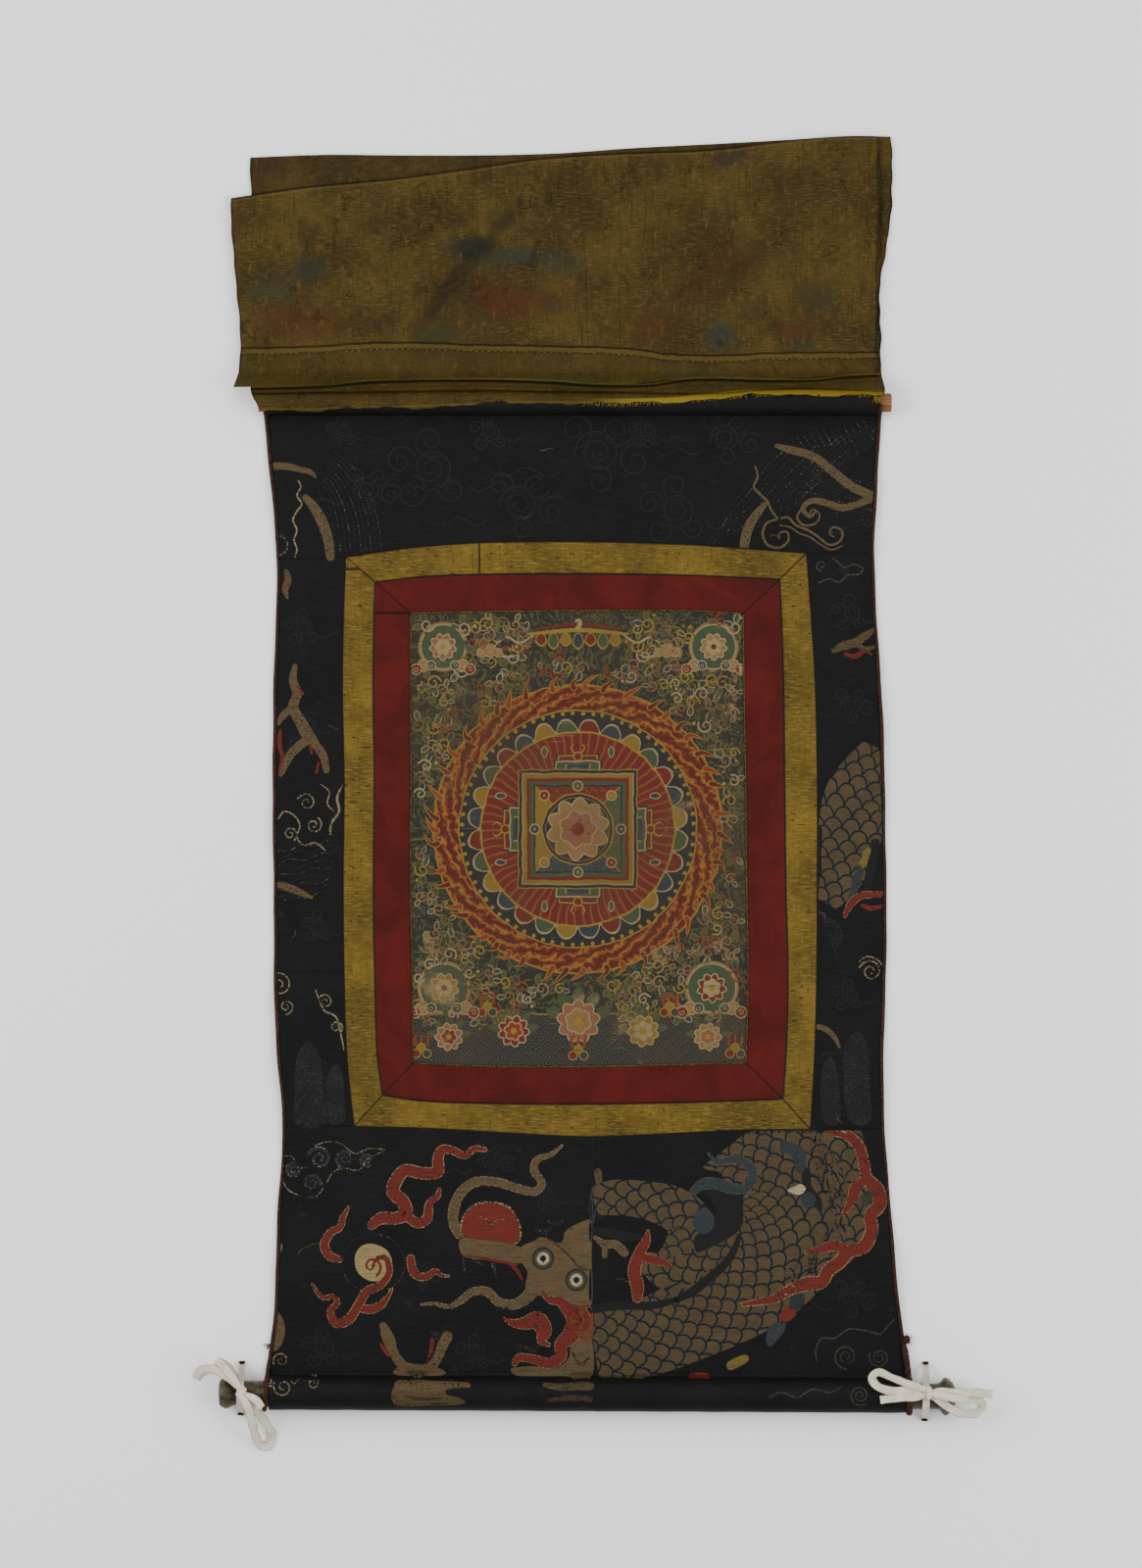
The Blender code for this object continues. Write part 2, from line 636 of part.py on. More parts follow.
def veil():
    folds = {key: column(VEIL_FOLDS, VEIL_COLUMNS, key) for key in VEIL_COLUMNS[1:]}
    sides = {key: column(VEIL_EDGES, VEIL_EDGE_COLUMNS, key) for key in VEIL_EDGE_COLUMNS[1:]}
    radius = VEIL_PITCH / 2

    def spot(y, layer):
        # a point of one layer's line and the slope's angle there
        step = 0.5
        angle = math.atan2(over_dowel(y + step) - over_dowel(y - step), 2 * step)
        angle = max(angle, math.radians(-45))
        return y, over_dowel(y) + layer * VEIL_PITCH / math.cos(angle), angle

    def bend(y, layer, away):
        # a fold between this layer and the next: a half turn with its belly away
        _, low, angle = spot(y, layer)
        centre_y = y - math.sin(angle) * radius
        centre_z = low + math.cos(angle) * radius
        turns = []
        for k in (1, 2, 3):
            a = math.radians(45 * k)
            out, up = math.sin(a) * radius * away, -math.cos(a) * radius
            turns.append((
                centre_y + out * math.cos(angle) - up * math.sin(angle),
                centre_z + out * math.sin(angle) + up * math.cos(angle),
            ))
        return turns

    def lines(x):
        # the section of the folded cloth at this place across, with each point's layer
        at = {key: read(x) for key, read in folds.items()}
        stops = (at["raw_edge"], at["back_top"] - radius, at["low_fold"] + radius,
                 at["front_top"] - radius, at["hem_foot"] + radius, at["hem_edge"])
        section = []
        for layer in range(5):
            start, stop = stops[layer], stops[layer + 1]
            marks = layer_marks(layer, start, stop)
            share = [abs(y - start) / abs(stop - start) for y in marks]
            section += [(*spot(y, layer)[:2], layer, s) for y, s in zip(marks, share)]
            if layer < 4:
                away = 1 if layer % 2 == 0 else -1
                section += [(y, z, layer, 1.0) for y, z in bend(stop, layer, away)]
        return section

    def layer_marks(layer, start, stop):
        near, far = (start, stop) if layer % 2 == 0 else (stop, start)
        close, wide = (7, 3) if layer == 0 else (5, 3)
        if layer == 4:
            marks = [blend(near, far, k / 4) for k in range(5)]
        else:
            marks = [blend(near, VEIL_FLOOR_Y, k / close) for k in range(close)]
            marks += [blend(VEIL_FLOOR_Y, far, k / wide) for k in range(wide + 1)]
        return marks if layer % 2 == 0 else marks[::-1]

    def across(y, layer, share, u):
        # the third layer runs on a slant from the back layers' edges to the front ones'
        front = {0: 0.0, 1: 0.0, 2: share, 3: 1.0, 4: 1.0}[layer]
        left = blend(sides["back_left"](y), sides["front_left"](y), front)
        right = blend(sides["back_right"](y), sides["front_right"](y), front)
        return blend(left, right, u)

    columns = []
    for i in range(VEIL_ACROSS + 1):
        u = i / VEIL_ACROSS
        x = blend(*VEIL_SPAN, u)
        columns.append([(across(y, layer, share, u), y, z) for y, z, layer, share in lines(x)])
    rows = [[col[j] for col in columns][::-1] for j in range(len(columns[0]))]
    cloth("veil", rows, VEIL_THICK, "veil_silk")


# ---- the ties ----

def smooth_route(rows, per_span):
    # points along a smooth curve through the rows
    points = []
    for i in range(len(rows) - 1):
        before, start = rows[max(i - 1, 0)], rows[i]
        end, after = rows[i + 1], rows[min(i + 2, len(rows) - 1)]
        for k in range(per_span):
            t = k / per_span
            points.append(tuple(
                0.5 * (2 * b + (c - a) * t + (2 * a - 5 * b + 4 * c - d) * t ** 2
                       + (3 * b - a - 3 * c + d) * t ** 3)
                for a, b, c, d in zip(before, start, end, after)
            ))
    points.append(rows[-1])
    return points


def ribbon(name, route, side, width, closed=False, level=False):
    # a flat tape along a route of (x, y, z, lean): its width stays level, or is carried
    # along without twisting
    points = []
    count = len(route)
    for k, (x, y, z, lean) in enumerate(route):
        a, b = (k - 1) % count, (k + 1) % count
        if not closed:
            a, b = max(k - 1, 0), min(k + 1, count - 1)
        ahead = (Vector(route[b][:3]) - Vector(route[a][:3])).normalized()
        if level:
            side = Vector((ahead.y, -ahead.x, 0.0)).normalized()
        side = (side - ahead * side.dot(ahead)).normalized()
        up = side.cross(ahead).normalized()
        tipped = side * math.cos(math.radians(lean)) + up * math.sin(math.radians(lean))
        up = tipped.cross(ahead).normalized()
        for s, h in ((-1, -1), (1, -1), (1, 1), (-1, 1)):
            points.append(Vector((x, y, z)) + tipped * (s * width / 2) + up * (h * TAPE_THICK / 2))
    faces = []
    for k in range(count if closed else count - 1):
        here, there = k * 4, (k + 1) % count * 4
        for i in range(4):
            n = (i + 1) % 4
            faces.append((here + i, there + i, there + n, here + n))
    if not closed:
        last = (count - 1) * 4
        faces.append((0, 1, 2, 3))
        faces.append((last + 3, last + 2, last + 1, last))
    return mesh_object(name, points, faces, "cotton_tape", smooth=False)


def tape(name, turns_over, rows):
    lowest = TAPE_THICK / 2 + 0.05
    route = [(x, y, max(z, lowest), lean) for x, y, z, lean in smooth_route(rows, 3)]
    run = Vector(route[1][:2]) - Vector(route[0][:2])
    side = Vector((run.y, -run.x, 0.0)).normalized()
    return ribbon(name, route, side, TAPE_WIDTH, level=not turns_over)


def strap(name, knot, neck_radius, strap_x, strap_y):
    # the band round the knob's neck and down to the surface at both sides: a belt
    # round the neck and two small rounds at the surface, in the plane across the rod
    axis_y, axis_z = rod_axis(knot[0])
    low = STRAP_BEND + TAPE_THICK / 2 + 0.05
    rounds = (
        (axis_y, axis_z, neck_radius + STRAP_CLEAR + TAPE_THICK / 2),
        (strap_y[0] - STRAP_BEND, low, STRAP_BEND),
        (strap_y[1] + STRAP_BEND, low, STRAP_BEND),
    )
    order = (0, 2, 1)
    edges = []
    for k in range(3):
        y0, z0, r0 = rounds[order[k]]
        y1, z1, r1 = rounds[order[(k + 1) % 3]]
        along = math.atan2(z1 - z0, y1 - y0)
        tilt = math.asin((r0 - r1) / math.hypot(y1 - y0, z1 - z0))
        edges.append(along - math.pi / 2 + tilt)
    route = []
    for k in range(3):
        y, z, radius = rounds[order[k]]
        start, stop = edges[k - 1], edges[k]
        while stop < start:
            stop += math.tau
        steps = 8 if k == 0 else 4
        for n in range(steps + 1):
            angle = blend(start, stop, n / steps)
            at_y = y + radius * math.cos(angle)
            share = (at_y - strap_y[0]) / (strap_y[1] - strap_y[0])
            route.append((blend(*strap_x, share), at_y, z + radius * math.sin(angle), 0))
    return ribbon(name, route, Vector((1.0, 0.0, 0.0)), STRAP_WIDTH, closed=True)


def knot_lump(name, centre):
    # the pulled-tight crossing, a rounded lump a little dented along the tape
    points, rings, sides = [], 6, 10
    for j in range(1, rings):
        lat = math.pi * j / rings
        for i in range(sides):
            a = math.tau * i / sides
            dent = 1.0 - 0.12 * math.cos(2 * a + 0.8)
            points.append((
                centre[0] + KNOT_SIZE[0] * math.sin(lat) * math.cos(a) * dent,
                centre[1] + KNOT_SIZE[1] * math.sin(lat) * math.sin(a) * dent,
                centre[2] + KNOT_SIZE[2] * math.cos(lat),
            ))
    top, foot = len(points), len(points) + 1
    points += [
        (centre[0], centre[1], centre[2] + KNOT_SIZE[2]),
        (centre[0], centre[1], centre[2] - KNOT_SIZE[2]),
    ]
    faces = []
    for i in range(sides):
        n = (i + 1) % sides
        faces.append((top, i, n))
        base = (rings - 2) * sides
        faces.append((foot, base + n, base + i))
        for j in range(rings - 2):
            a, b = j * sides + i, j * sides + n
            faces.append((a, a + sides, b + sides, b))
    return mesh_object(name, points, faces, "cotton_tape", smooth=False)


def tie(name, knot, band, tapes):
    lump = knot_lump(name, knot)
    parts = [strap(f"{name}_strap", knot, *band)]
    parts += [tape(f"{name}_tape_{k}", *row) for k, row in enumerate(tapes)]
    for part in parts:
        join = lump.modifiers.new(part.name, "BOOLEAN")
        join.operation = "UNION"
        join.solver = "EXACT"
        join.object = part
        part.hide_render = True
        part.display_type = "WIRE"
    return lump


def ties():
    tie("tie_left", LEFT_KNOT, LEFT_STRAP, LEFT_TAPES)
    tie("tie_right", RIGHT_KNOT, RIGHT_STRAP, RIGHT_TAPES)


for old in list(bpy.data.objects):
    bpy.data.objects.remove(old, do_unlink=True)
painting()
border(("paint", "red"), "red_silk", RED_CORNER_Y, None)
border(("red", "yellow"), "yellow_silk", YELLOW_CORNER_Y, YELLOW_TOP_JOIN_X)
brocade()
edge_cords()
rods()
knobs()
veil()
ties()
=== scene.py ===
# A thangka scroll laid face up: silk borders, black brocade, folded veil, rod, knobs and ties.
# Sizes here are millimetres with X to the right, Y to the top and Z up; mm makes them metres.
import math

import bpy
import numpy as np
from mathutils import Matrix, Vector
from mathutils.bvhtree import BVHTree
from mathutils.geometry import delaunay_2d_cdt


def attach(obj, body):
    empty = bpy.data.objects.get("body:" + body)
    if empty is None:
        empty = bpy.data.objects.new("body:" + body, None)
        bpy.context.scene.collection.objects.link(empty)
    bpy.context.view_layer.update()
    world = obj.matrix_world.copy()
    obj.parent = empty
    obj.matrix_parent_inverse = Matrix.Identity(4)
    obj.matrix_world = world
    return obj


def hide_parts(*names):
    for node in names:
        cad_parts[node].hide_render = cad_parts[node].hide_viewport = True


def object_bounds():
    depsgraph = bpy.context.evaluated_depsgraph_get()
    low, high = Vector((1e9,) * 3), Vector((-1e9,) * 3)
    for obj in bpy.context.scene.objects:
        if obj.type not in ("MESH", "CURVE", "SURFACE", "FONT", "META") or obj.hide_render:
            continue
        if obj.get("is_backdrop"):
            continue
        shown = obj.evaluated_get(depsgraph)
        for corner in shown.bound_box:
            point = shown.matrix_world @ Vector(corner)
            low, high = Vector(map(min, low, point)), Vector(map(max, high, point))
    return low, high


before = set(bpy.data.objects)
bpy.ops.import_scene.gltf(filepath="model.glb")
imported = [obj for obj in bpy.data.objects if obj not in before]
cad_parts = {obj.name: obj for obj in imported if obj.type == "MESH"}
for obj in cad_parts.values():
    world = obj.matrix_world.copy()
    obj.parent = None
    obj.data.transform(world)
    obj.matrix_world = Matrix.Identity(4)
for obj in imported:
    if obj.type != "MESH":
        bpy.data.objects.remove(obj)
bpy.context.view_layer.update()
print("frame loaded")

mm = 0.001
layoutOrigin = (604.0, 810.0)  # patterns are laid out in mm across and down from the top left


# camera, light and floor

view = {"centre": (-0.0215, 0.010), "distance": 8.0, "frameHeight": 1.6, "sensor": 36.0}
cameraData = bpy.data.cameras.new("camera")
cameraData.sensor_width = view["sensor"]
cameraData.lens = view["sensor"] * view["distance"] / view["frameHeight"]
cameraData.clip_end = 60.0
camera = bpy.data.objects.new("camera", cameraData)
camera.location = (*view["centre"], view["distance"])
bpy.context.scene.collection.objects.link(camera)
bpy.context.scene.camera = camera

# name: place, size, power, colour
lamps = {
    "leftSoftbox": ((-2.7, 0.4, 2.2), 2.2, 103.0, (1.0, 0.985, 0.97)),
    "rightSoftbox": ((2.7, -0.5, 2.4), 2.4, 101.0, (0.97, 0.985, 1.0)),
    "topSoftbox": ((0.3, 2.6, 3.0), 2.6, 45.0, (1.0, 1.0, 1.0)),
}
for name, (place, size, power, colour) in lamps.items():
    lamp = bpy.data.lights.new(name, "AREA")
    lamp.size = size
    lamp.energy = power
    lamp.color = colour
    holder = bpy.data.objects.new(name, lamp)
    holder.location = place
    holder.rotation_mode = "QUATERNION"
    holder.rotation_quaternion = (-Vector(place)).to_track_quat("-Z", "Y")
    bpy.context.scene.collection.objects.link(holder)
world = bpy.data.worlds.new("studio")
world.use_nodes = True
world.node_tree.nodes["Background"].inputs["Color"].default_value = (0.93, 0.94, 0.96, 1.0)
world.node_tree.nodes["Background"].inputs["Strength"].default_value = 0.71
bpy.context.scene.world = world


# node helpers

bench = {"tree": None, "shader": None}


def settle(name, mesh, node=None):
    # a mesh becomes a piece of the scene that rides on the one body
    piece = bpy.data.objects.new(name, mesh)
    bpy.context.scene.collection.objects.link(piece)
    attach(piece, "root")
    if node:
        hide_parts(node)
    return piece


def linear(code):
    # a web colour such as "8c7a2a" as linear light
    parts = [int(code[k:k + 2], 16) / 255 for k in (0, 2, 4)]
    return tuple(p / 12.92 if p < 0.04045 else ((p + 0.055) / 1.055) ** 2.4 for p in parts) + (1.0,)


def put(kind, inputs=(), **settings):
    # a new node in the tree at hand; inputs are values or other nodes' outputs
    node = bench["tree"].nodes.new(kind)
    for key, value in settings.items():
        setattr(node, key, value)
    for key, value in dict(inputs).items():
        if isinstance(value, bpy.types.NodeSocket):
            bench["tree"].links.new(value, node.inputs[key])
        else:
            node.inputs[key].default_value = value
    return node


def sumOf(operation):
    return lambda *values: put("ShaderNodeMath", dict(enumerate(values)), operation=operation).outputs[0]


plus, minus, times, ratio = sumOf("ADD"), sumOf("SUBTRACT"), sumOf("MULTIPLY"), sumOf("DIVIDE")
timesPlus, power, root, absolute = sumOf("MULTIPLY_ADD"), sumOf("POWER"), sumOf("SQRT"), sumOf("ABSOLUTE")
sine, cosine, bearing, pingPong = sumOf("SINE"), sumOf("COSINE"), sumOf("ARCTAN2"), sumOf("PINGPONG")
wholePart, fraction, modulo = sumOf("FLOOR"), sumOf("FRACT"), sumOf("MODULO")
greater, lesser = sumOf("MAXIMUM"), sumOf("MINIMUM")


def vectors(operation, *values):
    node = put("ShaderNodeVectorMath", dict(enumerate(values)), operation=operation)
    return node.outputs[1 if operation == "LENGTH" else 0]


def stretched(vector, by):
    return put("ShaderNodeVectorMath", {0: vector, 3: by}, operation="SCALE").outputs[0]


def apart(across, up):
    return root(plus(power(across, 2.0), power(up, 2.0)))


def blend(share, first, second, mode="MIX"):
    first, second = (linear(colour) if isinstance(colour, str) else colour for colour in (first, second))
    return put(
        "ShaderNodeMix", {0: share, 6: first, 7: second}, data_type="RGBA", blend_type=mode
    ).outputs[2]


def ramp(value, low, high, start=0.0, end=1.0):
    inputs = {"Value": value, "From Min": low, "From Max": high, "To Min": start, "To Max": end}
    return put("ShaderNodeMapRange", inputs, interpolation_type="SMOOTHSTEP").outputs[0]


def wash(colour, code, value, *stops):
    # another colour over the first where a value rises through its ramp
    return blend(ramp(value, *stops), colour, code)


def cloudNoise(place, scale, detail=3.0, rough=0.5, stretch=(1, 1, 1), warp=0.0):
    moved = vectors("MULTIPLY", place, stretch)
    inputs = {"Vector": moved, "Scale": scale, "Detail": detail, "Roughness": rough, "Distortion": warp}
    return put("ShaderNodeTexNoise", inputs).outputs[0]


def uvPlace(name="clothUv"):
    return put("ShaderNodeUVMap", uv_map=name).outputs[0]


def ownPlace():
    return put("ShaderNodeTexCoord").outputs["Object"]


def parted(vector):
    return put("ShaderNodeSeparateXYZ", {0: vector}).outputs


def takeUp(material):
    # its tree and shader are now the ones at hand
    bench["tree"], bench["shader"] = material.node_tree, material.node_tree.nodes["Principled BSDF"]
    return material


def newFinish(name, roughness, metallic=0.0, specular=0.1):
    material = bpy.data.materials.new(name)
    material.use_nodes = True
    takeUp(material)
    for label, value in (
        ("Roughness", roughness), ("Metallic", metallic), ("Specular IOR Level", specular)
    ):
        bench["shader"].inputs[label].default_value = value
    return material


def feed(label, value):
    bench["tree"].links.new(value, bench["shader"].inputs[label])


def relief(height, distance):
    bump = put("ShaderNodeBump", {"Height": height, "Distance": distance, "Strength": 1.0})
    feed("Normal", bump.outputs[0])


floorMaterial = newFinish("paleBoard", 0.85, specular=0.2)
bench["shader"].inputs["Base Color"].default_value = linear("f5f3f2")
bpy.ops.mesh.primitive_plane_add(size=24.0)
floor = bpy.context.object
floor.name = "floor"
floor.data.materials.append(floorMaterial)
floor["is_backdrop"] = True
print("camera, light and floor ready")


# seams and the lie of the cloth

# y, left, right
clothEdges = (
    (390, -335.0, 295.0), (310, -327.0, 291.0), (250, -323.0, 288.0), (190, -322.4, 290.3),
    (110, -324.8, 295.0), (10, -326.0, 298.6), (-90, -325.2, 300.8), (-190, -324.5, 299.5),
    (-270, -320.8, 297.5), (-340, -316.4, 298.5), (-430, -321.0, 306.0), (-520, -324.0, 313.0),
    (-590, -332.0, 323.0), (-630, -335.0, 324.0),
)
# y, yellowLeft, redLeft, paintLeft, paintRight, redRight, yellowRight
uprights = (
    (250, -250.8, -219.5, -185.0, 153.0, 189.5, 218.5),
    (190, -253.4, -222.0, -185.0, 154.0, 192.8, 223.0),
    (110, -254.8, -223.3, -185.0, 155.0, 195.3, 227.8),
    (10, -253.0, -222.0, -184.8, 156.6, 196.4, 230.0),
    (-90, -254.0, -223.0, -185.2, 157.6, 197.5, 229.9),
    (-190, -253.0, -221.5, -183.2, 159.0, 199.8, 229.2),
    (-270, -250.1, -218.7, -182.4, 157.0, 197.6, 227.0),
    (-340, -243.0, -208.0, -180.0, 154.0, 192.0, 223.2),
)
# x, yellowTop, redTop, paintTop, paintFoot, redFoot, yellowFoot
levels = (
    (-339, 239.0, 209.0, 181.0, -272.0, -290.0, -341.0),
    (-254, 241.5, 213.0, 183.0, -273.0, -298.0, -339.7),
    (-214, 247.2, 216.7, 183.0, -274.3, -307.0, -340.3),
    (-174, 252.2, 221.4, 184.3, -275.4, -313.3, -341.2),
    (-104, 256.6, 224.0, 186.0, -278.0, -316.0, -345.0),
    (-4, 257.2, 224.6, 187.0, -278.3, -316.6, -350.0),
    (96, 254.4, 223.0, 186.8, -276.0, -314.9, -346.0),
    (156, 250.5, 220.5, 184.0, -274.8, -313.0, -343.3),
    (226, 245.5, 217.0, 181.0, -273.5, -310.0, -342.8),
    (326, 246.0, 213.0, 178.0, -272.0, -306.0, -342.0),
)
# soft swells off the surface: x, y, reach across, reach up, height
swells = (
    (-62, 322, 62, 62, 3.4), (-28, 300, 40, 78, 2.0), (-322, 300, 46, 80, 2.6),
    (288, 285, 52, 84, 3.2), (302, 60, 58, 150, 3.6), (-330, -30, 50, 120, 2.6),
    (-318, -265, 66, 120, 4.0), (300, -300, 56, 110, 3.0), (-300, -500, 70, 60, 3.0),
    (306, -492, 76, 70, 3.8), (-70, -452, 120, 56, 2.2), (120, -480, 110, 50, 1.8),
)
swellFade = 40.0
# creases: from x, y to x, y, half width, height (a trough is negative)
creases = (
    (-108, 385, -92, 330, 4.0, -0.9), (-61, 370, -58, 352, 2.5, -0.8), (-79, 346, -58, 334, 4.0, -0.7),
    (-44, 330, -56, 314, 3.5, 0.8), (-84, 330, -70, 310, 4.0, 0.7), (-48, 290, -54, 266, 4.0, -0.7),
    (1, 370, -5, 354, 4.0, 0.6), (-24, 307, 12, 307, 3.0, -0.8), (-96, 300, -74, 268, 3.0, 0.5),
    (-70, 326, -40, 300, 5.0, -0.9), (-30, 344, 10, 326, 5.0, 0.6), (-90, 352, -60, 306, 5.0, 0.7),
    (-180, 372, -60, 377, 5.0, 0.5), (20, 376, 170, 372, 5.0, 0.45), (-250, 366, -150, 360, 6.0, -0.4),
    (-300, -395, -150, -402, 5.0, 0.35), (-310, -470, -200, -465, 4.0, 0.3),
    (190, -512, 200, -500, 3.5, -0.6), (205, -500, 214, -510, 3.0, 0.5),
    (40, -420, 130, -412, 5.0, 0.3), (-120, -560, 60, -566, 6.0, 0.4),
    (-240, -572, -90, -580, 5.0, 0.35), (100, -578, 260, -572, 5.0, 0.35),
)

cloth = {
    "seamGap": 0.3, "lap": 0.08, "paintingThick": 1.4, "borderThick": 1.8, "brocadeThick": 2.0,
    "cordRadius": 1.8, "cornerPoint": 0.25, "cell": 4.0,
    "redCornerY": 184.4, "yellowCornerY": 229.0, "yellowTopJoinX": -115.0,
    "topJoin": ((-114.0, 398.0), (-74.0, 257.0)), "sideJoinY": -182.0, "footJoinX": 0.5,
}
rod = {
    "radius": 14.2, "ends": (-332.0, 321.5), "axisY": (-610.2, -613.4), "axisZ": (17.1, 19.6),
    "span": (-334.0, 359.0), "sleeveRadius": 16.0,
}
dowel = {"radius": 9.5, "ends": (-340.0, 305.0), "axisY": 398.5, "sleeveRadius": 11.1, "lift": 0.05}
sleeve = {"fillet": 4.0, "turn": 320.0, "cordTurn": 212.0, "steps": 64}


def lineOf(rows, at):
    # a smooth line through one column of a table, read at any value of its first column
    knots = np.array(sorted((row[0], row[at]) for row in rows), float)
    places, values = knots.T
    order = np.arange(len(places))
    before, after = np.maximum(order - 1, 0), np.minimum(order + 1, len(places) - 1)
    slopes = (values[after] - values[before]) / (places[after] - places[before])

    def read(p):
        p = np.asarray(p, float)
        k = np.clip(np.searchsorted(places, p, side="right") - 1, 0, len(places) - 2)
        span = places[k + 1] - places[k]
        t = np.clip((p - places[k]) / span, 0.0, 1.0)
        start = values[k] * (1 + 2 * t) * (1 - t) ** 2 + slopes[k] * span * t * (1 - t) ** 2
        end = values[k + 1] * t * t * (3 - 2 * t) - slopes[k + 1] * span * t * t * (1 - t)
        beyond = slopes[0] * np.minimum(p - places[0], 0) + slopes[-1] * np.maximum(p - places[-1], 0)
        return start + end + beyond

    return read


def shifted(line, by):
    return lambda p: line(p) + by


def constant(value):
    return lambda p: np.asarray(p, float) * 0 + value


def capped(line, limit):
    return lambda p: np.minimum(line(p), limit)


def slanting(start, end):
    # the straight line through two points, as x for a given y and as y for a given x
    (x0, y0), (x1, y1) = start, end
    return (
        lambda y: x0 + (x1 - x0) * (y - y0) / (y1 - y0),
        lambda x: y0 + (y1 - y0) * (x - x0) / (x1 - x0),
    )


def crossing(across, up):
    x, y = 0.0, 0.0
    for _ in range(12):
        x, y = float(across(y)), float(up(x))
    return float(across(y)), y


def between(a, b, t):
    return a + (b - a) * t


def smoothStep(t):
    t = np.clip(t, 0.0, 1.0)
    return t * t * (3 - 2 * t)


ripples = [(math.cos(k * 2.4), math.sin(k * 2.4), 27.0 + 11.0 * k, 1.7 * k) for k in range(9)]


def ripple(x, y, size=1.0):
    # slight unevenness of hand-sewn cloth, a sum of long soft waves
    total = 0.0
    for cx, cy, wave, phase in ripples:
        total = total + np.sin((x * cx + y * cy) / (wave * size) * math.tau + phase + x * y * 1e-5)
    return total / len(ripples)


def creaseHeight(x, y, rows):
    total = 0.0
    for x0, y0, x1, y1, wide, height in rows:
        length = math.hypot(x1 - x0, y1 - y0)
        ux, uy = (x1 - x0) / length, (y1 - y0) / length
        along = (x - x0) * ux + (y - y0) * uy
        aside = (x - x0) * uy - (y - y0) * ux + min(0.25 * wide, 1.2) * np.sin(along / 7.0 + x0)
        reach = max(2.5 * wide, 0.4 * length)
        fade = smoothStep((along + wide) / reach) * smoothStep((length + wide - along) / reach)
        total = total + height * np.exp(-((aside / wide) ** 2)) * fade
    return total


def swell(x, y):
    rise = 0.0
    for cx, cy, reachX, reachY, height in swells:
        r = np.minimum(((x - cx) / reachX) ** 2 + ((y - cy) / reachY) ** 2, 1.0)
        rise = rise + height * (1.0 - r) ** 2
    clear = np.minimum(dowel["axisY"] - y, y - rod["axisY"][0]) - rod["sleeveRadius"] - sleeve["fillet"]
    return rise * smoothStep(clear / swellFade)


def uneven(x, y):
    # what stands up from the swells: never below the cloth's own thickness by much
    return 0.28 * ripple(x, y) + creaseHeight(x, y, creases)


def rodAxis(x):
    t = (x - rod["span"][0]) / (rod["span"][1] - rod["span"][0])
    return between(*rod["axisY"], t), between(*rod["axisZ"], t)


def dowelAxis(x):
    return dowel["axisY"] + 0 * x, dowel["sleeveRadius"] + cloth["brocadeThick"] / 2 + dowel["lift"] + 0 * x


def brocadeTop(x, y):
    # height of the brocade's upper face seen from above, the rod's sleeve included
    flat = swell(x, y) + uneven(x, y) + cloth["brocadeThick"]
    axisY, axisZ = rodAxis(x)
    outer = rod["sleeveRadius"] + cloth["brocadeThick"] / 2
    reach = outer ** 2 - (y - axisY) ** 2
    over = axisZ + np.sqrt(np.maximum(reach, 0.0)) + rollRipple(x, y)
    return np.where(reach > 0, over, flat)


def rollRipple(x, s):
    return 0.18 * ripple(x, s * 3.0) + 0.12 * np.sin(x / 9.0 + s / 5.0)


# making meshes


def edgeMarks(length, cell):
    # places along a side, closer together by its two ends
    near = [0.0, 0.5, 1.3, 2.8]
    if length < 12:
        return np.linspace(0, 1, 5)
    count = max(2, round((length - 5.6) / cell))
    middle = list(np.linspace(2.8, length - 2.8, count + 1))
    marks = near[:-1] + middle + [length - d for d in near[-2::-1]]
    return np.array(marks) / length


def patch(left, right, foot, top, width, height, cell=None, kink=None):
    # a flat piece between four seams: left and right give x for y, foot and top y for x; a kink
    # in the top seam, as a share of the width, gets its own column
    cell = cell or cloth["cell"]
    across, up = edgeMarks(width, cell), edgeMarks(height, cell)
    if kink is not None:
        across = np.sort(np.append(across[np.abs(across - kink) > 0.03], kink))
    u, v = np.meshgrid(across, up)
    x = u * 0.0
    y = foot(x) * (1 - v) + top(x) * v
    for _ in range(12):
        x = left(y) * (1 - u) + right(y) * u
        y = foot(x) * (1 - v) + top(x) * v
    rim = np.minimum(np.minimum(u, 1 - u) * width, np.minimum(v, 1 - v) * height)
    return x, y, rim


def makeMesh(name, points, faces, material, uvs=(), sharpAngle=50, seam=None):
    # points and uvs in mm, uvs by the name of their layer; without a sharp angle it stays flat
    mesh = bpy.data.meshes.new(name)
    mesh.from_pydata((np.asarray(points, float) * mm).tolist(), [], faces)
    mesh.materials.append(material)
    corners = np.empty(len(mesh.loops), np.int32)
    mesh.loops.foreach_get("vertex_index", corners)
    for label, values in dict(uvs).items():
        places = np.asarray(values, float)[corners] * mm
        mesh.uv_layers.new(name=label).data.foreach_set("uv", places.astype(np.float32).ravel())
    # the seam attribute carries painted shade, read by the cloth finishes
    if seam is not None:
        mesh.attributes.new("seam", "FLOAT", "POINT").data.foreach_set(
            "value", np.asarray(seam, np.float32)
        )
    if sharpAngle:
        mesh.shade_smooth()
        mesh.set_sharp_from_angle(angle=math.radians(sharpAngle))
    return mesh


def slabFaces(rows, columns, first=0):
    # the faces of a grid of points, of its copy beneath and of the rim between them
    count = rows * columns
    faces, under = [], []
    for j in range(rows - 1):
        for i in range(columns - 1):
            a = first + j * columns + i
            face = (a, a + 1, a + 1 + columns, a + columns)
            faces.append(face)
            under.append(tuple(count + k for k in face[::-1]))
    ring = list(range(columns)) + [j * columns + columns - 1 for j in range(1, rows)]
    ring += [(rows - 1) * columns + i for i in range(columns - 2, -1, -1)]
    ring += [j * columns for j in range(rows - 2, 0, -1)]
    ring = [first + k for k in ring]
    return faces + under + [(a, a + count, b + count, b) for a, b in zip(ring, ring[1:] + ring[:1])]


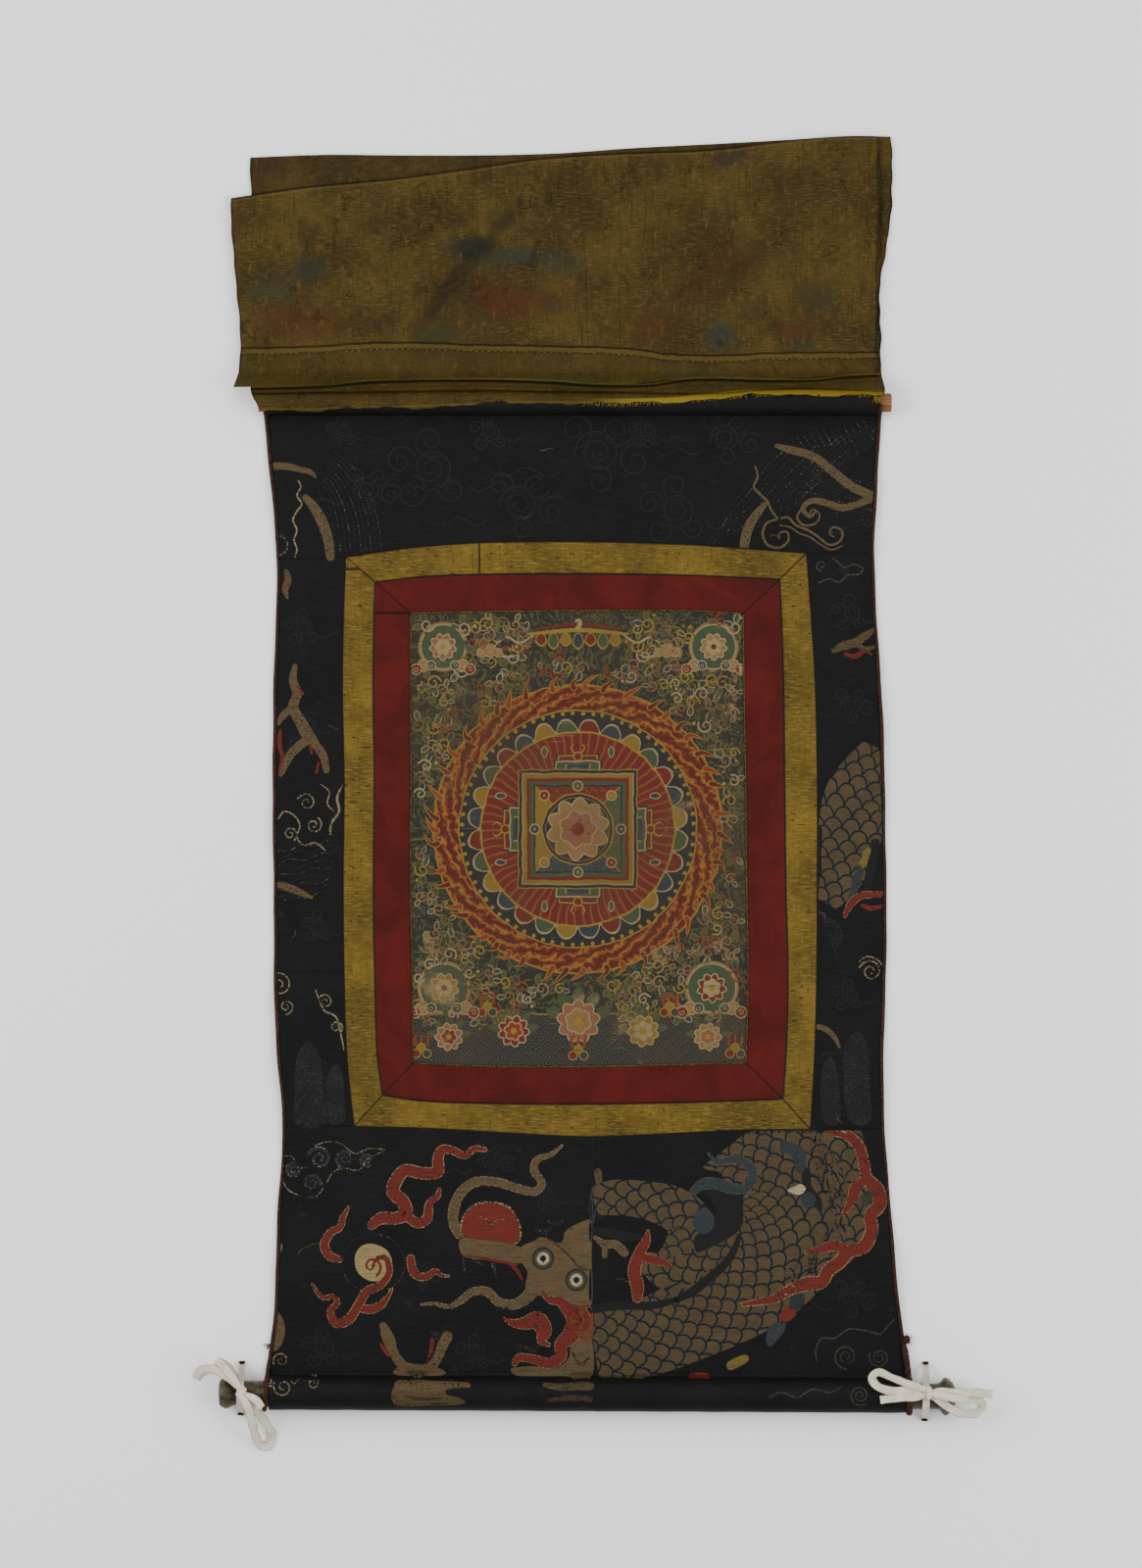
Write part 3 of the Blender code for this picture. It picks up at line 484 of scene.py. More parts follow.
def shell(name, outer, inner, material, uv, seam=None):
    # a cloth of two faces and a closed rim; outer and inner are grids of points
    points = np.concatenate([outer.reshape(-1, 3), inner.reshape(-1, 3)])
    flat = uv.reshape(-1, 2)
    if seam is not None:
        seam = np.concatenate([seam.ravel(), seam.ravel()])
    uvs = {"clothUv": np.concatenate([flat, flat])}
    return makeMesh(name, points, slabFaces(*outer.shape[:2]), material, uvs, seam=seam)


def landing(things, spare):
    # the height of the uppermost of some pieces at a place, read from their meshes
    points, faces = [], []
    for thing in things:
        start = len(points)
        points += [tuple(v.co / mm) for v in thing.data.vertices]
        faces += [tuple(start + i for i in face.vertices) for face in thing.data.polygons]
    tree = BVHTree.FromPolygons(points, faces)

    def read(x, y):
        x, y = np.broadcast_arrays(np.asarray(x, float), np.asarray(y, float))
        heights = np.array(spare(x, y), float)
        for at in np.ndindex(x.shape):
            hit = tree.ray_cast((x[at], y[at], 150.0), (0, 0, -1))[0]
            if hit is not None:
                heights[at] = hit.z
        return heights

    return read


# sewn edges overlap by this little, where the solids leave a gap
inset = -cloth["lap"]
clothInset = 2 * cloth["cordRadius"] - 0.7
clothLeft, clothRight = lineOf(clothEdges, 1), lineOf(clothEdges, 2)
uprightSeams = dict(zip(
    ("yellowLeft", "redLeft", "paintLeft", "paintRight", "redRight", "yellowRight"),
    (lineOf(uprights, k) for k in range(1, 7)),
))
levelSeams = dict(zip(
    ("yellowTop", "redTop", "paintTop", "paintFoot", "redFoot", "yellowFoot"),
    (lineOf(levels, k) for k in range(1, 7)),
))


def flatCloth(name, node, seams, size, thick, material, dip=0.5, cell=None, area=None, kink=None):
    # a cloth lying flat between its seams, replacing a CAD node
    x, y, rim = patch(*seams, *size, cell, kink)
    low = swell(x, y) + 0.06
    high = low - 0.06 + thick + uneven(x, y) * smoothStep(rim / 6) - dip * np.exp(-((rim / 0.9) ** 2))
    outer, inner = np.dstack([x, y, high]), np.dstack([x, y, low])
    # the seam values, highest at the rim, are painted shade along the sewn edges
    mesh = shell(name, outer, inner, material, np.dstack([x, y]), np.exp(-((rim / 1.1) ** 2)))
    return dress(mesh, node, size, area)


sheetRows = []


def dress(mesh, node, size, area=None):
    # stands for its CAD node and is kept in the list of sheets
    piece = settle(mesh.name, mesh, node)
    sheetRows.append((piece, size, area))
    return piece


# cloth finishes

# base, darker and lighter colours; strength of the streaks along weft and warp and of slubs;
# how short the weft's streaks are; roughness; relief of the weave
clothFinishes = {
    "brocade": {"colours": ("100f0f", "0b0a0a", "181717"), "weft": 0.55, "warp": 0.3, "slub": 0.25,
                "short": 0.08, "roughness": 0.62, "relief": 0.00012},
    "yellowSilk": {"colours": ("614e19", "3f330f", "7b6529"), "weft": 0.6, "warp": 0.6, "slub": 0.5,
                   "short": 0.14, "roughness": 0.6, "relief": 0.0002},
    "redSilk": {"colours": ("48100c", "380b09", "5a1914"), "weft": 0.2, "warp": 0.6, "slub": 0.1,
                "short": 0.2, "roughness": 0.55, "relief": 0.0001},
    "veilSilk": {"colours": ("423412", "2a210a", "5c4a1b"), "weft": 0.5, "warp": 0.75, "slub": 0.4,
                 "short": 0.16, "roughness": 0.68, "relief": 0.0002},
}


def wovenBase(name):
    # colour and relief common to the woven cloths, from the piece's own cloth coordinates
    look = clothFinishes[name]
    base, dark, light = look["colours"]
    material, place = newFinish(name, look["roughness"]), uvPlace()
    weft = cloudNoise(place, 640.0, 2.0, 0.6, (look["short"], 1, 1))
    warp = cloudNoise(place, 620.0, 2.0, 0.6, (1, 0.05, 1))
    slub = cloudNoise(place, 420.0, 1.0, 0.5, (look["short"], 1, 1))
    colour = blend(ramp(cloudNoise(place, 14.0, 3.0, 0.55), 0.3, 0.72), dark, base)
    for thread, low, high, strength, tone in (
        (weft, 0.45, 0.72, "weft", light), (warp, 0.48, 0.75, "warp", dark),
        (slub, 0.66, 0.74, "slub", light),
    ):
        colour = blend(times(ramp(thread, low, high), look[strength]), colour, tone)
    relief(plus(weft, warp), look["relief"])
    return material, place, colour


def finishWithPaintedShade(colour):
    # painted shade: the colour darkens where the seam attribute is high, along the sewn edges and, on the
    # veil, in its creases and along its side hems
    seam = put("ShaderNodeAttribute", attribute_name="seam").outputs["Fac"]
    feed("Base Color", wash(colour, "0b0807", seam, 0.05, 0.8, 0, 0.86))


brocadeMaterial, place, colour = wovenBase("brocade")
finishWithPaintedShade(wash(colour, "262421", cloudNoise(place, 45.0, 4.0, 0.6), 0.6, 0.8, 0, 0.5))

yellowMaterial, place, colour = wovenBase("yellowSilk")
colour = wash(colour, "43370f", cloudNoise(place, 22.0, 4.0, 0.65), 0.5, 0.72, 0, 0.6)
colour = wash(colour, "6f5322", cloudNoise(place, 17.0, 2.0, 0.5), 0.55, 0.75, 0, 0.35)
# broken wefts show dark in patches
patchy = ramp(cloudNoise(place, 30.0, 2.0, 0.5), 0.42, 0.6, 0.035, 0.0)
fleck = minus(cloudNoise(place, 430.0, 1.0, 0.4, (0.3, 1, 1)), patchy)
finishWithPaintedShade(wash(colour, "241a08", fleck, 0.648, 0.69, 0, 0.85))

redMaterial, place, colour = wovenBase("redSilk")
bands = pingPong(times(cloudNoise(place, 16.0, 2.0, 0.45, warp=0.8), 7.0), 1.0)
colour = wash(colour, "742018", bands, 0.4, 0.65, 0, 0.07)
finishWithPaintedShade(wash(colour, "350c0a", cloudNoise(place, 18.0, 4.0, 0.6), 0.52, 0.75, 0, 0.45))

canvasMaterial = newFinish("canvas", 0.72, specular=0.15)  # painted further down
print("cloth finishes ready")


# the painting, the silk borders and the brocade


def mitre(side, end, inner, outer):
    # the diagonal seam at one corner of a border, from its inner to its outer corner
    near = crossing(uprightSeams[inner + side], levelSeams[inner + end])
    far = crossing(uprightSeams[outer + side], levelSeams[outer + end])
    return slanting(near, far)


def silkBorder(inner, outer, material, cornerY, topJoin, length, corner):
    # four mitred strips, the left one pieced near its top corner
    def strip(part, seams, size, **more):
        node = f"{outer}_border_" + part.replace("Corner", "_corner").lower()
        flatCloth(f"{outer}Border{part}", node, seams, size, cloth["borderThick"], material, **more)

    for end, low, high in (("Top", inner, outer), ("Foot", outer, inner)):
        foot, top = shifted(levelSeams[low + end], inset), shifted(levelSeams[high + end], -inset)
        left = shifted(mitre("Left", end, inner, outer)[0], inset)
        right = shifted(mitre("Right", end, inner, outer)[0], -inset)
        if end == "Top" and topJoin is not None:
            strip("Top_left", (left, constant(topJoin - inset), foot, top), (134.0, 34.0))
            strip("Top_right", (constant(topJoin + inset), right, foot, top), (332.0, 34.0))
        else:
            width = float(uprightSeams[outer + "Right"](0) - uprightSeams[outer + "Left"](0))
            strip(end, (left, right, foot, top), (width, 34.0))
    for side, near, far in (("Left", outer, inner), ("Right", inner, outer)):
        left, right = shifted(uprightSeams[near + side], inset), shifted(uprightSeams[far + side], -inset)
        foot = shifted(mitre(side, "Foot", inner, outer)[1], inset)
        slope = mitre(side, "Top", inner, outer)
        top, kink = shifted(slope[1], -inset), None
        if side == "Left":
            point = crossing(left, slope[1])[1] - cloth["cornerPoint"]
            seams = (left, shifted(slope[0], -inset), constant(cornerY + inset), constant(point))
            strip("LeftCorner", seams, corner, cell=3.0, area=0.55 * corner[0] * corner[1])
            top = capped(top, cornerY - inset)
            start, stop = float(left(cornerY)), float(right(cornerY))
            kink = (float(slope[0](cornerY)) - start) / (stop - start)
        strip(side, (left, right, foot, top), (34.0, length), kink=kink)


silkBorder("paint", "red", redMaterial, cloth["redCornerY"], None, 491.0, (36.0, 30.0))
silkBorder(
    "red", "yellow", yellowMaterial, cloth["yellowCornerY"], cloth["yellowTopJoinX"], 568.0, (15.0, 11.5)
)
paintingSeams = (
    shifted(uprightSeams["paintLeft"], inset), shifted(uprightSeams["paintRight"], -inset),
    shifted(levelSeams["paintFoot"], inset), shifted(levelSeams["paintTop"], -inset),
)
painting = flatCloth(
    "paintingCloth", "painting", paintingSeams, (342.0, 463.0), cloth["paintingThick"], canvasMaterial
)


def sleeveSection(axisY, axisZ, radius, away):
    # the cloth's middle line and its upward side, from the flat round the rod; away is -1
    # where the sleeve lies below the flat cloth on the layout and 1 where it lies above it
    fillet, rows = sleeve["fillet"], []
    for a in np.radians(np.linspace(15, 90, 6)):
        y = axisY - away * (radius + fillet - fillet * math.sin(a))
        z = cloth["brocadeThick"] / 2 + fillet * (1 - math.cos(a)) + 0 * axisZ
        rows.append((y, z, -away * math.sin(a), math.cos(a)))
    for a in np.radians(np.linspace(0, sleeve["turn"], sleeve["steps"] + 1)):
        y, z = axisY - away * radius * math.cos(a), axisZ + radius * math.sin(a)
        rows.append((y, z, -away * math.cos(a), math.sin(a)))
    return rows


def sleevedCloth(name, node, left, right, seam, away, axis, radius, size):
    # brocade that lies flat from a seam to a sleeve and runs on round the rod in it
    thick = cloth["brocadeThick"]

    def crease(x):
        return axis(x)[0] - away * (radius + sleeve["fillet"])

    foot, top = (crease, seam) if away < 0 else (seam, crease)
    x, y, rim = patch(left, right, foot, top, size[0], abs(float(crease(0.0) - seam(0.0))))
    # the rim by the crease isn't an edge
    edge = np.minimum(np.minimum(np.abs(x - left(y)), np.abs(x - right(y))), np.abs(y - seam(x)))
    high = swell(x, y) + thick + uneven(x, y) * smoothStep(rim / 6) * smoothStep(np.abs(y - crease(x)) / 12)
    high = high - 0.5 * np.exp(-((edge / 0.9) ** 2))
    sheets = [np.dstack([x, y, high]), np.dstack([x, y, swell(x, y) + 0.06]), np.dstack([x, y])]
    if away < 0:
        sheets = [sheet[::-1] for sheet in sheets]
    edgeX, run, last, rows = sheets[0][-1, :, 0], sheets[2][-1, :, 1], None, []
    side = 0.4 * np.exp(-((np.minimum(edgeX - edgeX.min(), edgeX.max() - edgeX) / 0.9) ** 2))
    for k, (midY, midZ, normalY, normalZ) in enumerate(sleeveSection(*axis(edgeX), radius, away)):
        here = np.stack([midY + 0 * edgeX, midZ + 0 * edgeX])
        if last is not None:
            run = run + away * np.hypot(*(here - last))
        last = here
        lift = thick / 2 + rollRipple(edgeX, run) * smoothStep((k - 6) / 8) - side
        faces = [(edgeX, here[0] + normalY * by, here[1] + normalZ * by) for by in (lift, -thick / 2)]
        rows.append([np.stack(places, axis=1) for places in (*faces, (edgeX, run))])
    outer, inner, uv = (np.concatenate([sheet, np.array(more)]) for sheet, more in zip(sheets, zip(*rows)))
    outer[:, :, 2], inner[:, :, 2] = np.maximum(outer[:, :, 2], 0.03), np.maximum(inner[:, :, 2], 0.05)
    if away < 0:
        outer, inner, uv = outer[::-1], inner[::-1], uv[::-1]
    return dress(shell(name, outer, inner, brocadeMaterial, uv), node, size)


leftEdge, rightEdge = shifted(clothLeft, clothInset), shifted(clothRight, -clothInset)
topJoin, footJoin, sideJoin = slanting(*cloth["topJoin"])[0], cloth["footJoinX"], cloth["sideJoinY"]
aboveBorder = shifted(levelSeams["yellowTop"], inset)
belowBorder = shifted(levelSeams["yellowFoot"], -inset)
sideFoot, sideTop = shifted(levelSeams["yellowFoot"], inset), shifted(levelSeams["yellowTop"], -inset)
yellowLeft = shifted(uprightSeams["yellowLeft"], -inset)
yellowRight = shifted(uprightSeams["yellowRight"], inset)
atTop = (aboveBorder, 1, dowelAxis, dowel["sleeveRadius"])
atFoot = (belowBorder, -1, rodAxis, rod["sleeveRadius"])
sleevedCloth(
    "brocadeTopLeft", "brocade_top_left", leftEdge, shifted(topJoin, -inset), *atTop, (250.0, 232.0)
)
sleevedCloth(
    "brocadeTopRight", "brocade_top_right", shifted(topJoin, inset), rightEdge, *atTop, (385.0, 226.0)
)
belowJoin, aboveJoin = constant(sideJoin - inset), constant(sideJoin + inset)
for name, node, seams, size in (
    ("brocadeLeftLow", "brocade_left_low", (leftEdge, yellowLeft, sideFoot, belowJoin), (68.0, 158.0)),
    ("brocadeLeft", "brocade_left", (leftEdge, yellowLeft, aboveJoin, sideTop), (67.0, 423.0)),
    ("brocadeRight", "brocade_right", (yellowRight, rightEdge, sideFoot, sideTop), (68.0, 588.0)),
):
    flatCloth(name, node, seams, size, cloth["brocadeThick"], brocadeMaterial)
sleevedCloth(
    "brocadeFootLeft", "brocade_foot_left", leftEdge, constant(footJoin - inset), *atFoot, (321.0, 345.0)
)
sleevedCloth(
    "brocadeFootRight", "brocade_foot_right", constant(footJoin + inset), rightEdge, *atFoot, (310.0, 345.0)
)
print("flat cloths ready")


# the veil

# x, rawEdge, backTop, lowFold, frontTop, hemFoot, hemEdge; a layer runs from one to the next
veilFolds = (
    (-364, 391.0, 648.5, 407.0, 606.0, 413.0, 453.0), (-284, 391.0, 651.5, 408.0, 618.0, 415.0, 455.0),
    (-204, 393.0, 651.0, 409.0, 625.5, 421.0, 459.0), (-124, 396.0, 651.0, 410.0, 636.0, 422.0, 457.0),
    (-44, 398.0, 653.0, 409.0, 647.0, 420.0, 455.5), (36, 397.0, 658.5, 408.0, 652.0, 416.0, 453.0),
    (116, 402.0, 662.5, 407.0, 655.0, 423.0, 446.0), (196, 406.5, 667.0, 412.0, 664.0, 421.5, 448.5),
    (256, 406.0, 670.7, 411.0, 669.0, 425.5, 449.0), (301, 405.0, 670.0, 409.0, 669.0, 428.0, 449.0),
)
# y, backLeft, backRight, frontLeft, frontRight
veilEdges = (
    (670, -350.0, 304.5, -366.5, 292.0), (610, -347.0, 306.0, -367.5, 292.0),
    (560, -346.0, 300.0, -367.0, 291.5), (510, -346.0, 293.0, -361.5, 290.0),
    (470, -346.0, 294.0, -359.5, 290.0), (435, -347.0, 294.0, -359.0, 291.0),
    (410, -347.0, 297.0, -364.5, 292.0), (391, -338.0, 292.0, -364.5, 292.0),
)
# creases of the front layer: from x, y to x, y, half width, height
veilCreases = (
    (-70, 606, -196, 456, 11.0, -3.8), (-98, 612, -206, 478, 9.0, 2.4), (216, 604, 126, 506, 10.0, -2.0),
    (225, 585, 160, 515, 6.0, 0.8), (-18, 650, -6, 550, 1.8, -1.4), (-6, 550, -4, 450, 1.8, -1.4),
    (-192, 620, -189, 530, 3.0, -0.5), (-189, 530, -199, 455, 3.0, -0.5), (-279, 525, -288, 480, 1.6, 0.6),
    (-254, 505, -236, 465, 2.0, 0.7), (-262, 498, -250, 470, 2.0, -0.6), (26, 490, 28, 450, 1.8, -0.6),
    (191, 585, 186, 530, 3.0, 0.8), (-340, 470, -230, 476, 3.0, 0.4), (-350, 500, -250, 505, 2.5, -0.4),
    (-130, 470, -60, 460, 4.0, 0.5), (60, 470, 120, 462, 3.0, 0.5), (150, 480, 250, 470, 4.0, -0.5),
    (-330, 560, -280, 548, 3.0, 0.4), (10, 600, 60, 585, 4.0, -0.5), (90, 640, 180, 630, 4.0, -0.4),
    (230, 630, 285, 600, 4.0, 0.6), (-160, 610, -120, 600, 3.0, 0.4), (-360, 585, -300, 592, 3.0, -0.4),
    (-250, 437, -150, 441, 3.0, 0.7), (-60, 436, 40, 430, 3.0, 0.8), (80, 437, 170, 431, 3.5, 1.0),
    (180, 442, 280, 439, 3.0, 0.7), (-340, 430, -260, 434, 3.0, 0.6), (-20, 452, -2, 425, 2.0, 0.7),
)
# soft folds along the band over the dowel, below the hem
bandCreases = (
    (-345, 405, -150, 402, 3.5, -0.7), (-200, 411, -40, 404, 3.5, 0.8), (-60, 400, 80, 404, 3.0, -0.7),
    (60, 411, 200, 410, 3.5, 0.9), (150, 404, 290, 409, 3.0, -0.7), (-330, 398, -250, 396, 2.5, 0.5),
)
veilCloth = {
    "thick": 0.7, "cadThick": 1.2, "pitch": 2.2, "lift": 0.4, "span": (-358.0, 298.0), "floorY": 440.0,
    "ease": 7.0, "across": 180, "flat": (655.0, 1100.0),
}


def overDowel(y):
    # height of the lowest layer's middle: over the dowel's sleeve, down its back to the floor
    axisY, axisZ = (float(v) for v in dowelAxis(0.0))
    low, ease = veilCloth["cadThick"] / 2, veilCloth["ease"]
    radius = dowel["sleeveRadius"] + cloth["brocadeThick"] / 2 + cloth["seamGap"] + veilCloth["lift"] + low
    corner = radius * math.sin(math.radians(45))
    if y <= axisY + corner:
        return axisZ + math.sqrt(radius ** 2 - (y - axisY) ** 2)
    slope = axisZ + corner - (y - axisY - corner)
    over = slope - low
    if abs(over) < ease:
        return low + (over + ease) ** 2 / (4 * ease)
    return max(slope, low)


def veilSection(at):
    # the folded cloth's middle line at one place across: y, z, layer, share of the layer
    radius, floorY = veilCloth["pitch"] / 2, veilCloth["floorY"]
    stops = (at[0], at[1] - radius, at[2] + radius, at[3] - radius, at[4] + radius, at[5])
    section = []

    def slopeAt(y):
        return max(math.atan2(overDowel(y + 0.5) - overDowel(y - 0.5), 1.0), math.radians(-45))

    for layer, (start, stop) in enumerate(zip(stops, stops[1:])):
        low, high, away = min(start, stop), max(start, stop), 1 - layer % 2 * 2
        # the same number of marks at every place across
        marks = np.append(
            np.linspace(low, floorY, 14, endpoint=False), np.linspace(floorY, high, 41)
        ) if layer < 4 else np.linspace(low, high, 15)
        for y in marks[::away]:
            z = overDowel(y) + layer * veilCloth["pitch"] / math.cos(slopeAt(y))
            section.append((y, z, layer, abs(y - start) / max(abs(stop - start), 1e-6)))
        if layer < 4:
            angle = slopeAt(stop)
            leanIn, leanOut = math.sin(angle), math.cos(angle)
            centreZ = overDowel(stop) + layer * veilCloth["pitch"] / leanOut + leanOut * radius
            for a in np.radians(np.linspace(22.5, 157.5, 7)):
                out, up = math.sin(a) * radius * away, -math.cos(a) * radius
                y = stop - leanIn * radius + out * leanOut - up * leanIn
                section.append((y, centreZ + out * leanIn + up * leanOut, layer, 1.0))
    return section


def veilRelief(x, y, level):
    # level runs from 0 for the lowest layer to 1 for the front one
    soft = 0.55 * ripple(x, y, 1.4) + 0.3 * ripple(y * 1.3, x, 0.5)
    front = creaseHeight(x, y, veilCreases)
    band = creaseHeight(x, y, bandCreases)
    return level * (soft + front) + (0.4 + 0.3 * level) * band * (y < 420)


def makeVeil():
    reads = [lineOf(veilFolds, k) for k in range(1, 7)]
    sides = [lineOf(veilEdges, k) for k in range(1, 5)]
    count = veilCloth["across"]
    places = [between(*veilCloth["span"], i / count) for i in range(count + 1)]
    y, z, layer, share = np.array([veilSection([float(read(x)) for read in reads]) for x in places]).T
    u = np.linspace(0, 1, count + 1)[None, :] + 0 * y
    front = np.where(layer < 2, 0.0, np.where(layer > 2, 1.0, share))
    # side hems draw the edges in a little here and there
    left = between(sides[0](y), sides[2](y), front)
    left = left + 0.7 * np.sin(y / 13.0 + layer) + 0.4 * np.sin(y / 5.1)
    right = between(sides[1](y), sides[3](y), front)
    right = right + 0.8 * np.sin(y / 15.0 + 2 * layer) + 0.5 * np.sin(y / 4.3)
    x = between(left, right, u)
    level = np.minimum(layer, 3.6) / 4 + np.where(share == 1.0, 0.125, 0.0)
    z = z + veilRelief(x, y, np.minimum(level, 1.0))
    # the raw edge and the hem waver
    wave = 1.6 * np.sin(x / 21.0) + 0.9 * np.sin(x / 8.3 + 1.0) + 0.5 * np.sin(x / 3.1)
    y = y + wave * np.where(layer == 0, np.exp(-(((y - y[0:1]) / 6.0) ** 2)), 0.0)
    middle = np.dstack([x, y, z])
    normal = np.cross(np.gradient(middle, axis=1), np.gradient(middle, axis=0))
    normal *= veilCloth["thick"] / 2 / (np.linalg.norm(normal, axis=2, keepdims=True) + 1e-9)
    outer, inner = middle + normal, middle - normal
    outer[:, :, 2], inner[:, :, 2] = np.maximum(outer[:, :, 2], 0.05), np.maximum(inner[:, :, 2], 0.04)
    # painted shade in the creases and along the side hems, carried as the seam attribute
    creaseShade = np.clip(-creaseHeight(x, y, veilCreases) / 7.0, 0, 0.42)
    side = 0.6 * np.exp(-((np.minimum(u, 1 - u) * 650 / 1.2) ** 2))
    mesh = shell("veilCloth", outer, inner, veilMaterial, np.dstack([x, y]), np.maximum(creaseShade, side))
    return dress(mesh, "veil", veilCloth["flat"])


veilMaterial, place, colour = wovenBase("veilSilk")
# dyes that bled: x, y, reach across, reach up, colour, strength
stains = (
    (-138, 402, 2.4, 2.0, "120d06", 0.9), (-115, 403, 2.4, 2.0, "120d06", 0.9),
    (64, 409, 2.6, 2.2, "120d06", 0.9), (84, 412, 2.6, 2.0, "120d06", 0.9),
    (-130, 500, 34, 62, "241b09", 0.35), (-160, 470, 30, 40, "221a09", 0.4),
    (-289, 533, 24, 17, "20271f", 0.8), (-330, 515, 28, 18, "262c1e", 0.55),
    (-126, 556, 24, 14, "191c16", 0.85), (-80, 548, 46, 13, "222a20", 0.75),
    (-30, 540, 28, 15, "272b1d", 0.65), (-159, 470, 26, 11, "272b18", 0.55),
    (131, 465, 20, 16, "1f2722", 0.8), (-300, 480, 54, 24, "3b220d", 0.75),
    (-94, 506, 38, 23, "3c1f0c", 0.85), (-60, 500, 50, 19, "3a210d", 0.65),
    (62, 478, 36, 21, "39200c", 0.65), (105, 515, 36, 23, "36210c", 0.55),
    (140, 545, 44, 30, "33210c", 0.6), (205, 470, 30, 16, "3b1f0c", 0.65),
    (215, 500, 24, 28, "38250c", 0.55), (141, 650, 24, 11, "29211b", 0.6),
    (-329, 645, 18, 21, "2e1f18", 0.6), (-39, 497, 11, 9, "2e2420", 0.5), (168, 500, 13, 11, "322320", 0.4),
    (215, 455, 18, 9, "23261f", 0.55), (-170, 452, 62, 11, "232614", 0.5),
    (-90, 585, 18, 14, "282210", 0.55), (230, 505, 26, 17, "292b19", 0.45),
    (-30, 420, 60, 10, "33401f", 0.35), (100, 425, 60, 9, "2f3c22", 0.4), (-260, 408, 40, 9, "36231a", 0.4),
)
objectPlace = ownPlace()
wander = put("ShaderNodeTexNoise", {"Vector": objectPlace, "Scale": 38.0, "Detail": 3.0}).outputs[1]
shift = vectors("MULTIPLY", vectors("SUBTRACT", wander, (0.5, 0.5, 0.5)), (0.034, 0.026, 0.0))
wandered = vectors("ADD", objectPlace, shift)
for x, y, reachX, reachY, code, strength in stains:
    away = vectors("SUBTRACT", wandered, (x * mm, y * mm, 0))
    away = vectors("MULTIPLY", away, (1 / (reachX * mm), 1 / (reachY * mm), 0))
    colour = wash(colour, code, vectors("LENGTH", away), 0.25, 1.25, strength, 0.0)
colour = wash(colour, "272009", cloudNoise(place, 30.0, 5.0, 0.7), 0.48, 0.72, 0, 0.6)
# fine crinkles are drawn darker in their folds, painted shade; they sink in the bump too
crinkle = pingPong(times(cloudNoise(place, 30.0, 4.0, 0.6, (1.3, 0.8, 1), 0.6), 5.0), 0.5)
thin = ramp(cloudNoise(place, 22.0, 2.0, 0.5), 0.48, 0.62)
crinkle = times(times(ramp(crinkle, 0.0, 0.09, 1.0, 0.0), thin), 0.5)
colour = blend(crinkle, colour, "1c1608")
# puckers are lighter where they rise, a painted highlight on the same noise as their bump
pucker = cloudNoise(place, 110.0, 4.0, 0.65, (1.6, 0.6, 1))
colour = wash(colour, "665124", pucker, 0.55, 0.72, 0, 0.3)
relief(minus(pucker, crinkle), 0.0012)
heights = parted(objectPlace)


def acrossFrom(column):
    # distance above one of the veil's folds, in mm
    low, high = veilFolds[0][0], veilFolds[-1][0]
    values = [row[column] for row in veilFolds]
    least, most = min(values), max(values)
    along = ramp(heights[0], low * mm, high * mm)
    along.node.interpolation_type = "LINEAR"
    curve = put("ShaderNodeFloatCurve", {"Value": along})
    line = curve.mapping.curves[0]
    for k in range(len(veilFolds) - 2):
        line.points.new(0.5, 0.5)
    for point, row in zip(line.points, veilFolds):
        point.location = ((row[0] - low) / (high - low), (row[column] - least) / (most - least))
    curve.mapping.update()
    level = timesPlus(curve.outputs[0], most - least, least)
    return minus(ratio(heights[1], mm), level)


def strip(distance, start, stop, strength, soft=0.5):
    # 1 between two distances from a fold, soft at both ends
    rise = ramp(distance, start - soft, start + soft, 0.0, strength)
    fall = ramp(distance, stop - soft, stop + soft, 1.0, 0.0)
    return times(rise, fall)


hemFoot, lowEdge, frontTop = acrossFrom(5), acrossFrom(1), acrossFrom(4)
hemEdge = timesPlus(minus(cloudNoise(place, 60.0, 2.0, 0.5), 0.5), 3.0, acrossFrom(6))
# along the folds: the dark lines just above the hem's edge, at its stitch row, under its foot, lower on the
# band and just above the front's top fold are painted shadow; the pale lines just below the hem's edge, at
# the hem's foot and just below the front's top fold are painted highlight; the broad darker tones and the
# pale line at the raw edge are the silk's own colour
for distance, start, stop, strength, code in (
    (hemEdge, -60.0, 0.0, 0.4, "342908"), (hemEdge, -4.5, -0.6, 0.3, "5d4b1a"),
    (hemEdge, 0.2, 2.0, 0.8, "151005"), (hemEdge, -6.8, -5.0, 0.6, "1c1507"),
    (hemFoot, -0.2, 1.2, 0.5, "77652d"), (hemFoot, -3.0, -0.6, 0.85, "100c05"),
    (hemFoot, -7.7, -6.3, 0.4, "201807"), (lowEdge, -0.5, 1.5, 0.25, "6a5a1c"),
    (frontTop, 0.2, 2.2, 0.7, "120e06"), (frontTop, 0.0, 80.0, 0.3, "1f170b"),
    (frontTop, -2.4, -0.4, 0.25, "5d4c20"),
):
    colour = blend(strip(distance, start, stop, strength), colour, code)
# the raw edge over the dowel kept its bright yellow towards the right
fresh = times(strip(lowEdge, -2.0, 5.0, 0.75, 1.2), ramp(heights[0], -0.02, 0.06))
finishWithPaintedShade(blend(fresh, colour, "7d6a1c"))
makeVeil()
print("veil ready")


# dowel, rod and knobs

woodMaterial, place = newFinish("rodWood", 0.62), ownPlace()
grain = cloudNoise(place, 420.0, 4.0, 0.6, (0.04, 1, 1))
colour = blend(ramp(grain, 0.35, 0.7), "5b3a22", "97704a")
feed("Base Color", wash(colour, "4a3120", cloudNoise(place, 30.0, 2.0, 0.5), 0.5, 0.7, 0, 0.4))
relief(grain, 0.0003)
for node in ("rod", "dowel"):
    bpy.data.objects[node].data.materials.clear()
    bpy.data.objects[node].data.materials.append(woodMaterial)

